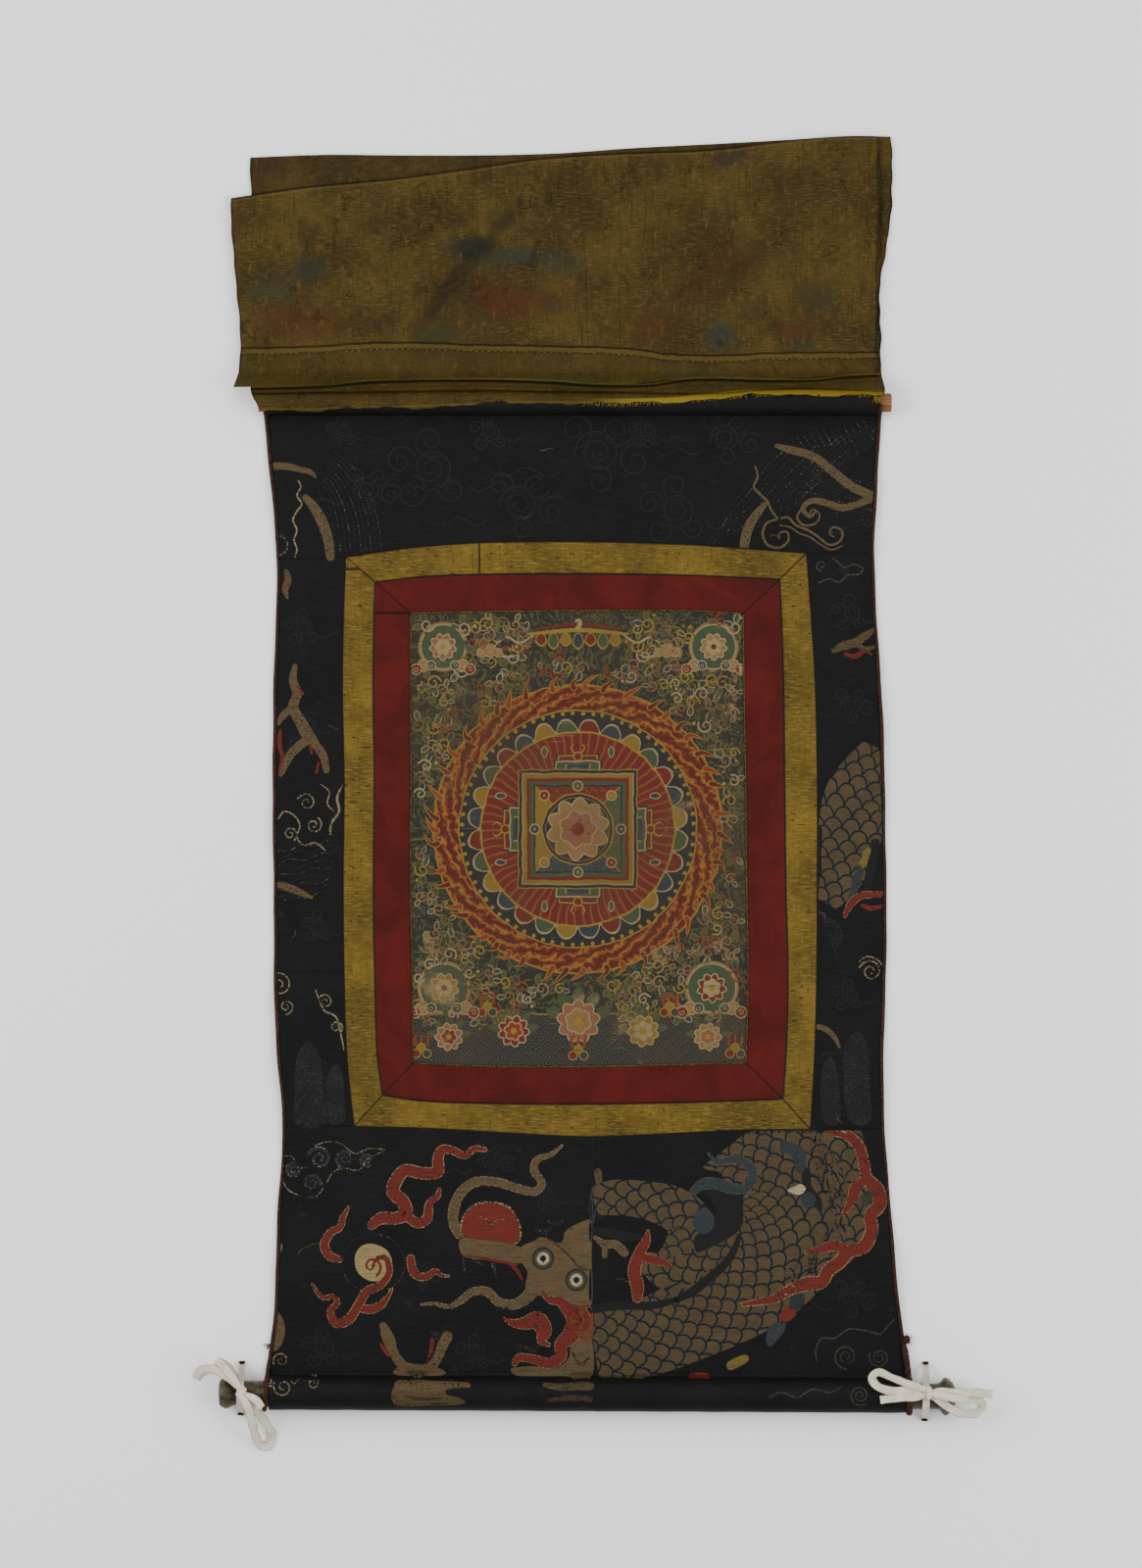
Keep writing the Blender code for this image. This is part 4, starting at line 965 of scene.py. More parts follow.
bronzeMaterial, place = newFinish("bronze", 0.42, metallic=0.5, specular=0.5), ownPlace()
tarnish, pits = cloudNoise(place, 160.0, 5.0, 0.65), cloudNoise(place, 520.0, 3.0, 0.6)
colour = blend(ramp(tarnish, 0.4, 0.65), "41361f", "1d1810")
feed("Base Color", wash(colour, "120f0a", pits, 0.58, 0.72, 0, 0.7))
feed("Roughness", ramp(tarnish, 0.35, 0.7, 0.3, 0.62))
relief(plus(tarnish, pits), 0.0004)

# out along the rod, radius
leftKnobOutline = (
    (0.0, 12.4), (0.6, 13.0), (3.0, 13.0), (3.8, 12.7), (20.0, 12.5), (26.0, 12.1), (29.0, 11.9),
    (31.5, 12.4), (34.0, 13.4), (36.5, 14.9), (38.2, 15.8), (40.0, 16.0), (41.5, 15.9), (42.6, 15.3),
    (43.2, 14.5), (44.2, 14.4), (45.2, 13.8), (46.3, 12.9), (47.0, 11.6), (47.5, 9.5), (47.5, 6.0),
    (46.9, 4.5), (46.9, 0.4),
)
rightKnobOutline = (
    (0.0, 13.0), (0.6, 13.6), (3.2, 13.6), (4.0, 13.2), (14.0, 13.1), (24.0, 13.0), (28.0, 13.1),
    (30.5, 13.6), (32.5, 14.9), (34.0, 16.8), (35.4, 18.6), (36.8, 19.4), (38.2, 19.5), (39.4, 19.1),
    (40.2, 18.3), (41.2, 18.0), (42.6, 16.8), (44.4, 14.9), (46.0, 12.6), (47.4, 9.6), (48.2, 6.4),
    (48.5, 3.0), (48.5, 0.4),
)


def turnedPiece(name, start, toward, outline, sides, material):
    # a solid turned about the line from start towards a second point
    along = (Vector(toward) - Vector(start)).normalized()
    up = along.cross(Vector((0.0, 1.0, 0.0))).normalized()
    side = up.cross(along).normalized()
    angles = [math.tau * i / sides for i in range(sides)]
    points = [
        tuple(Vector(start) + along * out + radius * (math.cos(a) * side + math.sin(a) * up))
        for out, radius in outline for a in angles
    ]
    last, faces = (len(outline) - 1) * sides, []
    for k in range(0, last, sides):
        for i in range(sides):
            a, b = k + i, k + (i + 1) % sides
            faces.append((a, b, b + sides, a + sides))
    faces += [tuple(range(sides))[::-1], tuple(range(last, last + sides))]
    return makeMesh(name, points, faces, material, sharpAngle=35)


for name, node, end, outward, outline in (
    ("knobLeft", "knob_left", rod["ends"][0], -1, leftKnobOutline),
    ("knobRight", "knob_right", rod["ends"][1], 1, rightKnobOutline),
):
    first = end + outward * cloth["seamGap"]
    begin = (first, *(float(v) for v in rodAxis(first)))
    beyond = (first + outward * 10, *(float(v) for v in rodAxis(first + outward * 10)))
    settle(name, turnedPiece(name, begin, beyond, outline, 64, bronzeMaterial), node)
print("rod, dowel and knobs ready")


# thread work, grown by Geometry Nodes along guide lines


def newTree(name, sockets):
    # a new thread tree, now the one at hand; sockets name its inputs and their kinds
    tree = bench["tree"] = bpy.data.node_groups.new(name, "GeometryNodeTree")
    for label, kind in (("Geometry", "Geometry"), *sockets):
        tree.interface.new_socket(label, in_out="INPUT", socket_type="NodeSocket" + kind)
    tree.interface.new_socket("Material", in_out="INPUT", socket_type="NodeSocketMaterial")
    tree.interface.new_socket("Geometry", in_out="OUTPUT", socket_type="NodeSocketGeometry")
    given = put("NodeGroupInput").outputs
    return given, put("GeometryNodeMeshToCurve", {0: given["Geometry"]}).outputs[0]


def closeTree(given, geometry):
    whole = put("GeometryNodeRealizeInstances", {0: geometry}).outputs[0]
    finished = put("GeometryNodeSetMaterial", {"Geometry": whole, "Material": given["Material"]}).outputs[0]
    put("NodeGroupOutput", {"Geometry": finished})
    return bench["tree"]


def evened(curve, step):
    return put("GeometryNodeResampleCurve", {"Curve": curve, "Length": step}, mode="LENGTH").outputs[0]


def chance(low, high, seed):
    return put("FunctionNodeRandomValue", {2: low, 3: high, 8: seed}, data_type="FLOAT").outputs[1]


def twistTree():
    # strands laid round each other along the guide, thicker where its girth is more
    given, curve = newTree("cordTwist", (
        ("Strands", "Int"), ("Pitch", "Float"), ("Lay Radius", "Float"), ("Strand Radius", "Float"),
        ("Step", "Float"),
    ))
    girth = put("GeometryNodeInputNamedAttribute", {"Name": "girth"}, data_type="FLOAT").outputs[0]
    copies = {"Geometry": evened(curve, given["Step"]), "Amount": given["Strands"]}
    copies = put("GeometryNodeDuplicateElements", copies, domain="SPLINE").outputs
    run = put("GeometryNodeSplineParameter").outputs["Length"]
    angle = times(plus(ratio(run, given["Pitch"]), ratio(copies[1], given["Strands"])), math.tau)
    normal = put("GeometryNodeInputNormal").outputs[0]
    across = vectors("CROSS_PRODUCT", put("GeometryNodeInputTangent").outputs[0], normal)
    reach = times(given["Lay Radius"], girth)
    sideways = stretched(normal, times(reach, cosine(angle)))
    offset = vectors("ADD", sideways, stretched(across, times(reach, sine(angle))))
    laid = put("GeometryNodeSetPosition", {"Geometry": copies[0], "Offset": offset}).outputs[0]
    ring = put(
        "GeometryNodeCurvePrimitiveCircle", {"Resolution": 6, "Radius": given["Strand Radius"]}
    ).outputs[0]
    strands = {0: laid, 1: ring, "Scale": girth, "Fill Caps": True}
    return closeTree(given, put("GeometryNodeCurveToMesh", strands).outputs[0])


def stitchTree():
    # short stitches in a row along the guide, each a little different
    given, curve = newTree("stitchRun", (
        ("Pitch", "Float"), ("Length", "Float"), ("Thickness", "Float"), ("Kept", "Float"),
        ("Turn", "Float"), ("Seed", "Int"),
    ))
    seed, thick = given["Seed"], given["Thickness"]
    places = put(
        "GeometryNodeCurveToPoints", {"Curve": curve, "Length": given["Pitch"]}, mode="LENGTH"
    ).outputs
    ball = put("GeometryNodeMeshUVSphere", {"Segments": 6, "Rings": 4, "Radius": 0.5}).outputs[0]
    kept = put("FunctionNodeRandomValue", {6: given["Kept"], 8: seed}, data_type="BOOLEAN").outputs[3]
    tip = {"Axis": (1, 0, 0), "Angle": plus(given["Turn"], chance(-0.16, 0.16, seed))}
    facing = {0: places["Rotation"], 1: put("FunctionNodeAxisAngleToRotation", tip).outputs[0]}
    size = {0: thick, 1: thick, 2: times(given["Length"], chance(0.75, 1.1, seed))}
    row = put("GeometryNodeInstanceOnPoints", {
        "Points": places["Points"], "Selection": kept, "Instance": ball,
        "Rotation": put("FunctionNodeRotateRotation", facing, rotation_space="LOCAL").outputs[0],
        "Scale": put("ShaderNodeCombineXYZ", size).outputs[0],
    }).outputs[0]
    return closeTree(given, row)


def frayTree():
    # fine threads that leave their roots along the guides and curl towards their tips
    given, curve = newTree("frayThreads", (
        ("Radius", "Float"), ("Curl", "Float"), ("Curl Size", "Float"), ("Step", "Float"),
    ))
    curve = evened(curve, given["Step"])
    free = put("GeometryNodeSplineParameter").outputs["Factor"]
    place = put("GeometryNodeInputPosition").outputs[0]
    noise = {"Vector": place, "Scale": ratio(1.0, given["Curl Size"]), "Detail": 1.0}
    swing = vectors("SUBTRACT", put("ShaderNodeTexNoise", noise).outputs[1], (0.5, 0.5, 0.42))
    offset = stretched(swing, times(given["Curl"], free))
    curled = put("GeometryNodeSetPosition", {"Geometry": curve, "Offset": offset}).outputs[0]
    ring = put("GeometryNodeCurvePrimitiveCircle", {"Resolution": 4, "Radius": given["Radius"]}).outputs[0]
    return closeTree(
        given, put("GeometryNodeCurveToMesh", {0: curled, 1: ring, "Fill Caps": True}).outputs[0]
    )


def grow(name, lines, tree, values, material, slot, girths=None, node=None):
    # runs a tree over guide lines in mm and keeps what it makes as one plain mesh; values are
    # the tree's own inputs by name, lengths in mm
    points = [point for line in lines for point in line]
    edges, start = [], 0
    for line in lines:
        edges += [(start + k, start + k + 1) for k in range(len(line) - 1)]
        start += len(line)
    guide = bpy.data.meshes.new(name + "Guide")
    guide.from_pydata((np.array(points) * mm).tolist(), edges, [])
    if tree is twist:
        girths = np.ones(len(points)) if girths is None else girths
        guide.attributes.new("girth", "FLOAT", "POINT").data.foreach_set(
            "value", np.array(girths, np.float32)
        )
    thing = bpy.data.objects.new(name + "Guide", guide)
    bpy.context.scene.collection.objects.link(thing)
    modifier = thing.modifiers.new("grow", "NODES")
    modifier.node_group = tree
    values = {"Material": material, **values}
    for item in tree.interface.items_tree:
        if item.in_out == "INPUT" and item.name in values:
            value = values[item.name]
            lengthInMm = item.name not in ("Material", "Strands", "Kept", "Turn", "Seed")
            modifier[item.identifier] = value * mm if lengthInMm else value
    grown = bpy.data.meshes.new_from_object(thing.evaluated_get(bpy.context.evaluated_depsgraph_get()))
    grown.name = name
    bpy.data.objects.remove(thing)
    grown.shade_smooth()
    return settle(name, grown, node)


twist, stitchRun, frayThreads = twistTree(), stitchTree(), frayTree()


def laidCord(name, lines, strands, pitch, lay, strand, step, *rest):
    # twisted strands along the lines; lay is how far each runs from the middle
    values = {"Strands": strands, "Pitch": pitch, "Lay Radius": lay, "Strand Radius": strand, "Step": step}
    return grow(name, lines, twist, values, *rest)


def looseEnds(name, lines, radius, curl, curlSize, step, *rest):
    values = {"Radius": radius, "Curl": curl, "Curl Size": curlSize, "Step": step}
    return grow(name, lines, frayThreads, values, *rest)


def threadFinish(name, dark, light):
    material = newFinish(name, 0.75, specular=0.12)
    feed("Base Color", blend(ramp(cloudNoise(ownPlace(), 320.0, 3.0, 0.7), 0.35, 0.68), dark, light))
    return material


cordMaterial = threadFinish("edgeCord", "1f120d", "452a1c")
cordFinish = {
    "strands": 3, "pitch": 7.5, "layRadius": 0.92, "strandRadius": 0.98, "step": 1.0,
    "footGirth": {"left": 1.35, "right": 1.85}, "swellsFrom": {"left": -574.0, "right": -556.0},
    "hidden": {"left": 24.0, "right": 80.0},
}


def cordRoute(line, inward, side):
    # down the side of the cloth and round the sleeve's end, as its solid runs
    radius, fillet = cloth["cordRadius"], sleeve["fillet"]
    axisY, axisZ = rodAxis(float(line(rod["axisY"][0])) + inward * radius)
    wound = rod["sleeveRadius"] + radius - cloth["brocadeThick"] / 2
    over = dowel["sleeveRadius"] + radius - cloth["brocadeThick"] / 2
    foot, top, topZ = axisY + wound + fillet, dowel["axisY"] - over - fillet, float(dowelAxis(0.0)[1])

    def arc(start, stop, count):
        angles = np.radians(np.linspace(start, stop, count))
        return np.sin(angles), np.cos(angles)

    # from the dowel's sleeve, where the veil hides it, down to the flat and round the rod
    hidden, bend = arc(cordFinish["hidden"][side], 0, 14), arc(75, 0, 6)
    lift, turn = arc(15, 90, 6), arc(0, sleeve["cordTurn"], 40)
    flat = np.linspace(top - 1.0, foot, 320)
    y = np.concatenate([
        dowel["axisY"] - over * hidden[1], top + fillet * bend[0], flat,
        foot - fillet * lift[0], axisY + wound * turn[1],
    ])
    x = line(y) + inward * radius
    z = np.concatenate([
        topZ + over * hidden[0], radius + (topZ - radius) * (1 - bend[1]), swell(x[20:340], flat) + radius,
        radius + fillet * (1 - lift[1]), axisZ + wound * turn[0],
    ])
    start, low = cordFinish["swellsFrom"][side], cordFinish["footGirth"][side]
    girth = 1.0 + 0.12 * np.sin(y / 47.0) + (low - 1.0) * smoothStep((start - y) / 14.0)
    x = x + 0.3 * np.sin(y / 31.0) + 0.25 * np.sin(y / 12.0 + 2.0) - inward * radius * (girth - 1.0) * 0.6
    thick = cordFinish["layRadius"] + cordFinish["strandRadius"]
    return np.column_stack([x, y, np.maximum(z, thick * girth + 0.1)]), girth


for side, line, inward in (("left", clothLeft, 1), ("right", clothRight, -1)):
    route, girths = cordRoute(line, inward, side)
    look = [cordFinish[key] for key in ("strands", "pitch", "layRadius", "strandRadius", "step")]
    laidCord(f"cord_{side}", [route], *look, cordMaterial, "edge_cord", girths, f"edge_cord_{side}")
print("edge cords twisted")


def tuft(name, place, count, reach, facing, spread, seed, material, slot, radius=0.22, curl=6.0):
    # a frayed end: threads that leave one spot
    rng = np.random.default_rng(seed)
    lines = []
    for _ in range(count):
        a = math.radians(facing + spread * rng.uniform(-1, 1))
        length = reach * rng.uniform(0.5, 1.0)
        start = np.array(place) + (rng.uniform(-1, 1), rng.uniform(-1, 1), 0)
        away = np.array([math.cos(a) * length, math.sin(a) * length, rng.uniform(-0.3, 1.5)])
        lines.append([tuple(start + away * t) for t in np.linspace(0, 1, 5)])
    return looseEnds(name, lines, radius, curl, 3.2, 0.8, material, slot)


# the cord's knot at the right, a ball of turns
turns, down = math.tau * np.arange(64) / 12, math.pi * np.arange(64) / 63
knot = np.column_stack([
    320.6 + 3.1 * np.sin(down) * np.cos(turns), -556.6 + 3.6 * np.cos(down),
    4.6 + 2.6 * np.sin(down) * np.sin(turns),
])
laidCord("cordKnot", [knot], 2, 4, 0.5, 0.75, 0.8, cordMaterial, "edge_cord")
tuft("cordFrayRight", (319.5, -555.0, 3.2), 26, 9.0, -20, 75, 11, cordMaterial, "edge_cord")
tuft("cordFrayLeft", (-328.5, -562.0, 3.0), 14, 6.5, 200, 60, 12, cordMaterial, "edge_cord")


# cotton tape ties: the same routes as their solids, as thin tape drawn narrower at its knot
tapeFinish = {
    "width": 8.6, "thick": 0.75, "step": 2.2, "columns": 6, "gather": 0.42, "gatherReach": 11.0,
    "camber": 1.1, "strapWidth": 7.2, "strapClear": 0.7, "strapBend": 2.0, "strapThick": 1.0,
    "flatWidth": 10.0,
}
tapeMaterial, place = newFinish("cottonTape", 0.82, specular=0.2), parted(uvPlace())
twill = sine(plus(times(place[0], math.tau / (0.95 * mm)), times(place[1], math.tau / (1.25 * mm))))
fibres, toned = cloudNoise(ownPlace(), 500.0, 3.0, 0.7), cloudNoise(ownPlace(), 60.0, 3.0, 0.6)
colour = blend(ramp(toned, 0.35, 0.7), "f2e7d6", "dfd1bb")
colour = wash(colour, "a89b82", twill, 0.0, 1.0, 0, 0.22)
# the tape is drawn darker towards its edges: painted shade where it curves away
feed("Base Color", wash(colour, "83775f", absolute(place[1]), 0.0033, 0.0041, 0.0, 0.7))
relief(plus(twill, fibres), 0.0002)

leftTie = {
    "knot": (-356.5, -607.5, 35.7), "wrap": (-38.0, 6.6, 4.4, 5.6),
    "strap": (12.7, (-357.0, -358.5), (-581.0, -631.5)),
    "tapes": (
        # the upper loop, out and back beneath
        (True, ((-357, -605, 37.5, 0), (-366, -592, 39.0, 0), (-376, -580, 33.5, 0),
            (-382, -576, 26.0, 0), (-378, -579, 19.0, 0), (-369, -585, 20.5, 0), (-362, -596, 29.0, 0),
            (-356, -605, 34.5, 0))),
        # the upper tail, curling down to the surface
        (False, ((-358, -604, 35.0, 0), (-370, -593, 32.5, 0), (-383, -587, 17.0, 0),
            (-393, -586, 6.0, 0), (-400, -590, 2.2, 0), (-404, -597, 1.2, 0))),
        # the short tail on the sleeve's end
        (False, ((-355, -609, 37.0, 0), (-347, -612.5, 37.8, 0), (-340, -617, 37.6, 0),
            (-336, -623.5, 36.8, 5))),
        # the lower loop, down to the surface and back
        (False, ((-357.5, -610, 38.6, 0), (-350, -622, 40.5, 0), (-346, -637, 33.0, 0),
            (-343, -653, 15.0, 0), (-338, -664, 5.0, 0), (-329.5, -664, 2.2, 0), (-327, -654, 3.0, 0),
            (-331, -643, 8.5, 0), (-338, -633, 16.5, 0), (-346, -621, 32.0, 0), (-353, -611, 34.4, 0))),
    ),
}
rightTie = {
    "knot": (342.0, -608.5, 38.8), "wrap": (0.0, 5.4, 5.2, 6.0),
    "strap": (13.2, (340.0, 339.0), (-581.5, -637.5)),
    "tapes": (
        # the left loop over the sleeve's end
        (False, ((342, -607, 40.0, 0), (330, -602, 42.0, 10), (317, -597.5, 43.5, 25),
            (304, -592.5, 44.0, 30), (291, -587, 43.5, 20), (284, -592.5, 42.0, 10), (289, -601, 41.0, 5),
            (302, -606, 40.0, 0), (318, -606, 39.2, 0), (332, -607.5, 38.4, 0), (342, -608, 37.6, 0))),
        # the left tail over the sleeve
        (False, ((342, -610, 38.6, 0), (328, -612.5, 39.6, 0), (312, -613.0, 39.4, 0),
            (292.5, -615.5, 38.2, 0))),
        # the right tail over the knob
        (False, ((342, -608, 39.0, 0), (352, -606.5, 41.8, 0), (364, -607.5, 43.0, 0),
            (384, -608.5, 37.0, 0), (407, -610.5, 25.0, 0))),
        # the right loop
        (False, ((341, -610.5, 36.6, 0), (353, -616.5, 40.2, 0), (365, -625, 37.0, 0),
            (378, -630.5, 28.0, 0), (391, -630, 20.0, 0), (397, -622, 20.5, 0), (388, -615, 30.0, 0),
            (375, -614, 41.5, 0), (362, -612, 46.5, 0), (350, -609.5, 44.0, 0), (342, -608.5, 41.0, 0))),
    ),
}


def smoothLine(rows, step, closed=False):
    # points along a smooth curve through the rows, a step apart
    rows = np.asarray(rows, float)
    count = len(rows)
    reach = 3 if rows.shape[1] == 4 else 2
    parts = []
    for i in range(count if closed else count - 1):
        if closed:
            a, b, c, d = (rows[(i + k) % count] for k in (-1, 0, 1, 2))
        else:
            a, b, c, d = (rows[min(max(i + k, 0), count - 1)] for k in (-1, 0, 1, 2))
        pieces = max(1, math.ceil(np.linalg.norm(c[:reach] - b[:reach]) / step))
        t = (np.arange(pieces) / pieces)[:, None]
        parts.append(0.5 * (
            2 * b + (c - a) * t + (2 * a - 5 * b + 4 * c - d) * t ** 2 + (3 * b - a - 3 * c + d) * t ** 3
        ))
    if not closed:
        parts.append(rows[-1:])
    return np.concatenate(parts)


def ribbonParts(route, side, widths, cambers, thick, closed=False, level=False):
    # points, faces and uv of one tape along a route of x, y, z, lean
    count, columns = len(route), tapeFinish["columns"]
    outer, inner, marks, faces, run = [], [], [], [], 0.0
    for k in range(count):
        before, after = max(k - 1, 0), min(k + 1, count - 1)
        if closed:
            before, after = (k - 1) % count, (k + 1) % count
        ahead = Vector(route[after][:3] - route[before][:3]).normalized()
        if level:
            side = Vector((ahead.y, -ahead.x, 0.0)).normalized()
        side = (side - ahead * side.dot(ahead)).normalized()
        lean = math.radians(route[k][3])
        tipped = side * math.cos(lean) + side.cross(ahead).normalized() * math.sin(lean)
        up = tipped.cross(ahead).normalized()
        for v in np.linspace(-1, 1, columns):
            middle = Vector(route[k][:3]) + tipped * (
                v * widths[k] / 2
            ) + up * (cambers[k] * (0.33 - v ** 2))
            rim = up * (0.5 * thick * (1.0 - 0.35 * v ** 4))
            outer.append(middle + rim)
            inner.append(middle - rim)
            marks.append((run, v * widths[k] / 2))
        run += np.linalg.norm(route[after][:3] - route[k][:3])
    total = count * columns
    for k in range(count if closed else count - 1):
        a, b = k * columns, (k + 1) % count * columns
        for c, d in zip(range(a, a + columns - 1), range(b, b + columns - 1)):
            faces += [(c, c + 1, d + 1, d), (total + c, total + d, total + d + 1, total + c + 1)]
        faces.append((a, b, total + b, total + a))
        a, b = a + columns - 1, b + columns - 1
        faces.append((total + a, total + b, b, a))
    if not closed:
        for a in range(columns - 1):
            faces.append((a, total + a, total + a + 1, a + 1))
            a += total - columns
            faces.append((a + 1, total + a + 1, total + a, a))
    return outer + inner, faces, marks + marks


def strapRoute(knot, neck, strapX, strapY):
    # round the knob's neck and down to the surface at both sides
    axisY, axisZ = rodAxis(knot[0])
    bend, thick = tapeFinish["strapBend"], tapeFinish["strapThick"]
    low = bend + thick / 2 + 0.05
    rounds = (
        (axisY, axisZ, neck + tapeFinish["strapClear"] + thick / 2),
        (strapY[0] - bend, low, bend), (strapY[1] + bend, low, bend),
    )
    order = (0, 2, 1)
    turns = []
    for k in range(3):
        (y0, z0, r0), (y1, z1, r1) = rounds[order[k]], rounds[order[(k + 1) % 3]]
        tilt = math.asin((r0 - r1) / math.hypot(y1 - y0, z1 - z0))
        turns.append(math.atan2(z1 - z0, y1 - y0) - math.pi / 2 + tilt)
    route = []
    for k in range(3):
        y, z, radius = rounds[order[k]]
        start, stop = turns[k - 1], turns[k]
        while stop < start:
            stop += math.tau
        for a in np.linspace(start, stop, 16 if k == 0 else 8):
            atY = y + radius * math.cos(a)
            t = (atY - strapY[0]) / (strapY[1] - strapY[0])
            route.append((between(*strapX, t), atY, z + radius * math.sin(a), 0))
    return np.array(route)


def makeTie(name, tie):
    points, faces, marks, lengths = [], [], [], []

    def add(route, side, widths, cambers, closed=False, level=False):
        parts = ribbonParts(route, side, widths, cambers, thick, closed, level)
        start = len(points)
        points.extend(tuple(p) for p in parts[0])
        faces.extend(tuple(start + i for i in face) for face in parts[1])
        marks.extend(parts[2])
        whole = np.concatenate([route, route[:1]]) if closed else route
        lengths.append(np.linalg.norm(np.diff(whole[:, :3], axis=0), axis=1).sum())

    knot, thick = np.array(tie["knot"]), tapeFinish["thick"]
    lowest = thick / 2 + 0.6
    route = strapRoute(tie["knot"], *tie["strap"])
    widths = tapeFinish["strapWidth"] * (0.72 + 0.28 * np.minimum(route[:, 2] / 8.0, 1.0))
    add(route, Vector((1, 0, 0)), widths, 0.5 + 0 * widths, closed=True)
    for turnsOver, rows in tie["tapes"]:
        route = smoothLine(rows, tapeFinish["step"])
        route[:, 2] = np.maximum(route[:, 2], lowest)
        order = np.arange(len(route))
        near = np.exp(-(np.linalg.norm(route[:, :3] - knot, axis=1) / tapeFinish["gatherReach"]) ** 2)
        wave = 0.06 * np.sin(order * 0.7 + rows[0][0])
        ahead = route[1] - route[0]
        cambers = 0.25 + tapeFinish["camber"] * near + 0.2 * np.sin(order * 0.45)
        add(
            route, Vector((ahead[1], -ahead[0], 0.0)).normalized(),
            tapeFinish["width"] * (1 - tapeFinish["gather"] * near + wave),
            np.minimum(cambers, np.maximum(route[:, 2] - lowest, 0.12)), level=not turnsOver,
        )
    # the turn of tape drawn tight round the crossing
    facing, wide, high, across = tie["wrap"]
    a, t = math.radians(facing), np.linspace(0, math.tau, 28, endpoint=False)
    ring = np.column_stack([
        knot[0] - math.sin(a) * across * np.cos(t), knot[1] + math.cos(a) * across * np.cos(t),
        knot[2] + high * np.sin(t), 0 * t,
    ])
    add(ring, Vector((math.cos(a), math.sin(a), 0.0)), np.full(28, wide), np.full(28, -0.9), closed=True)
    mesh = makeMesh(name + "_tape", points, faces, tapeMaterial, {"clothUv": marks}, sharpAngle=60)
    return dress(mesh, name, (tapeFinish["flatWidth"], sum(lengths)))


makeTie("tie_left", leftTie)
makeTie("tie_right", rightTie)
print("ties tied")


# woven and painted figures

# Figures are thin bands and patches that stand a hair's breadth above their cloth. A band is
# a smooth line of x, y, width in layout mm; a patch is a closed outline of x, y.
threadColours = {
    "gold": "4c3d26", "beige": "4d3f28", "tan": "43371f", "red": "5a1c13",
    "orange": "5a3013", "blueGrey": "262d2f", "slate": "1e2427", "ivory": "8e8263", "cream": "7c6c48",
    "pale": "776a4e", "silver": "5a574d", "night": "0e0e10", "moss": "2a2e22", "dim": "332f27",
    "damask": "121213", "brown": "38271a", "straw": "5e5022",
}
figures = {"proud": 0.1, "rise": 0.05, "sink": 0.45, "step": 2.4, "cell": 7.0}


def newStore(surface, hold, proud=figures["proud"], rise=figures["rise"], sink=figures["sink"]):
    return {"surface": surface, "hold": hold, "proud": proud, "rise": rise, "sink": sink, "points": [],
            "faces": [], "colours": [], "band": []}


def pushed(x, y, walls, inwards):
    # moves points to the nearer side of a field between walls, out of it or back into it
    left, right, foot, top = walls[0](y), walls[1](y), walls[2](x), walls[3](x)
    if inwards:
        return np.clip(x, left, right), np.clip(y, foot, top)
    room = np.stack([x - left, right - x, y - foot, top - y])
    nearest = np.where((room > 0).all(axis=0), room.argmin(axis=0), -1)
    x = np.where(nearest == 0, left, np.where(nearest == 1, right, x))
    return x, np.where(nearest == 2, foot, np.where(nearest == 3, top, y))


def fieldOf(name, by):
    # the four walls of one seam rectangle, moved outwards by some mm
    return (
        shifted(uprightSeams[name + "Left"], -by), shifted(uprightSeams[name + "Right"], by),
        shifted(levelSeams[name + "Foot"], -by), shifted(levelSeams[name + "Top"], by),
    )


def onBrocade(x, y):
    # a figure that runs over the cloth's side stays just within its cord and off the border
    low, high = clothLeft(y) + 4.2, clothRight(y) - 4.2
    x = np.where(x < low, low - (low - x) * 0.01, x)
    x = np.where(x > high, high + (x - high) * 0.01, x)
    return pushed(x, y, fieldOf("yellow", 0.7), False)


def belowTheBorder(x, y):
    x, y = onBrocade(x, y)
    return x, np.minimum(y, levelSeams["yellowFoot"](x) - 0.7)


def onPainting(x, y):
    return pushed(x, y, fieldOf("paint", -1.0), True)


def lay(store, x, y, layer, colour, worn, marks=None):
    # lays points of the layout on the cloth, once for the upper face and once sunk into it
    shade = (*linear(threadColours.get(colour, colour))[:3], worn)
    x, y = store["hold"](x - layoutOrigin[0], layoutOrigin[1] - y)
    z = store["surface"](x, y)
    for height in (z + store["proud"] + store["rise"] * layer, z - store["sink"]):
        store["points"] += np.stack([x, y, height], axis=-1).reshape(-1, 3).tolist()
        store["band"] += (np.stack([x, y], axis=-1) if marks is None else marks.reshape(-1, 2)).tolist()
        store["colours"] += [shade] * x.size
    return x, y


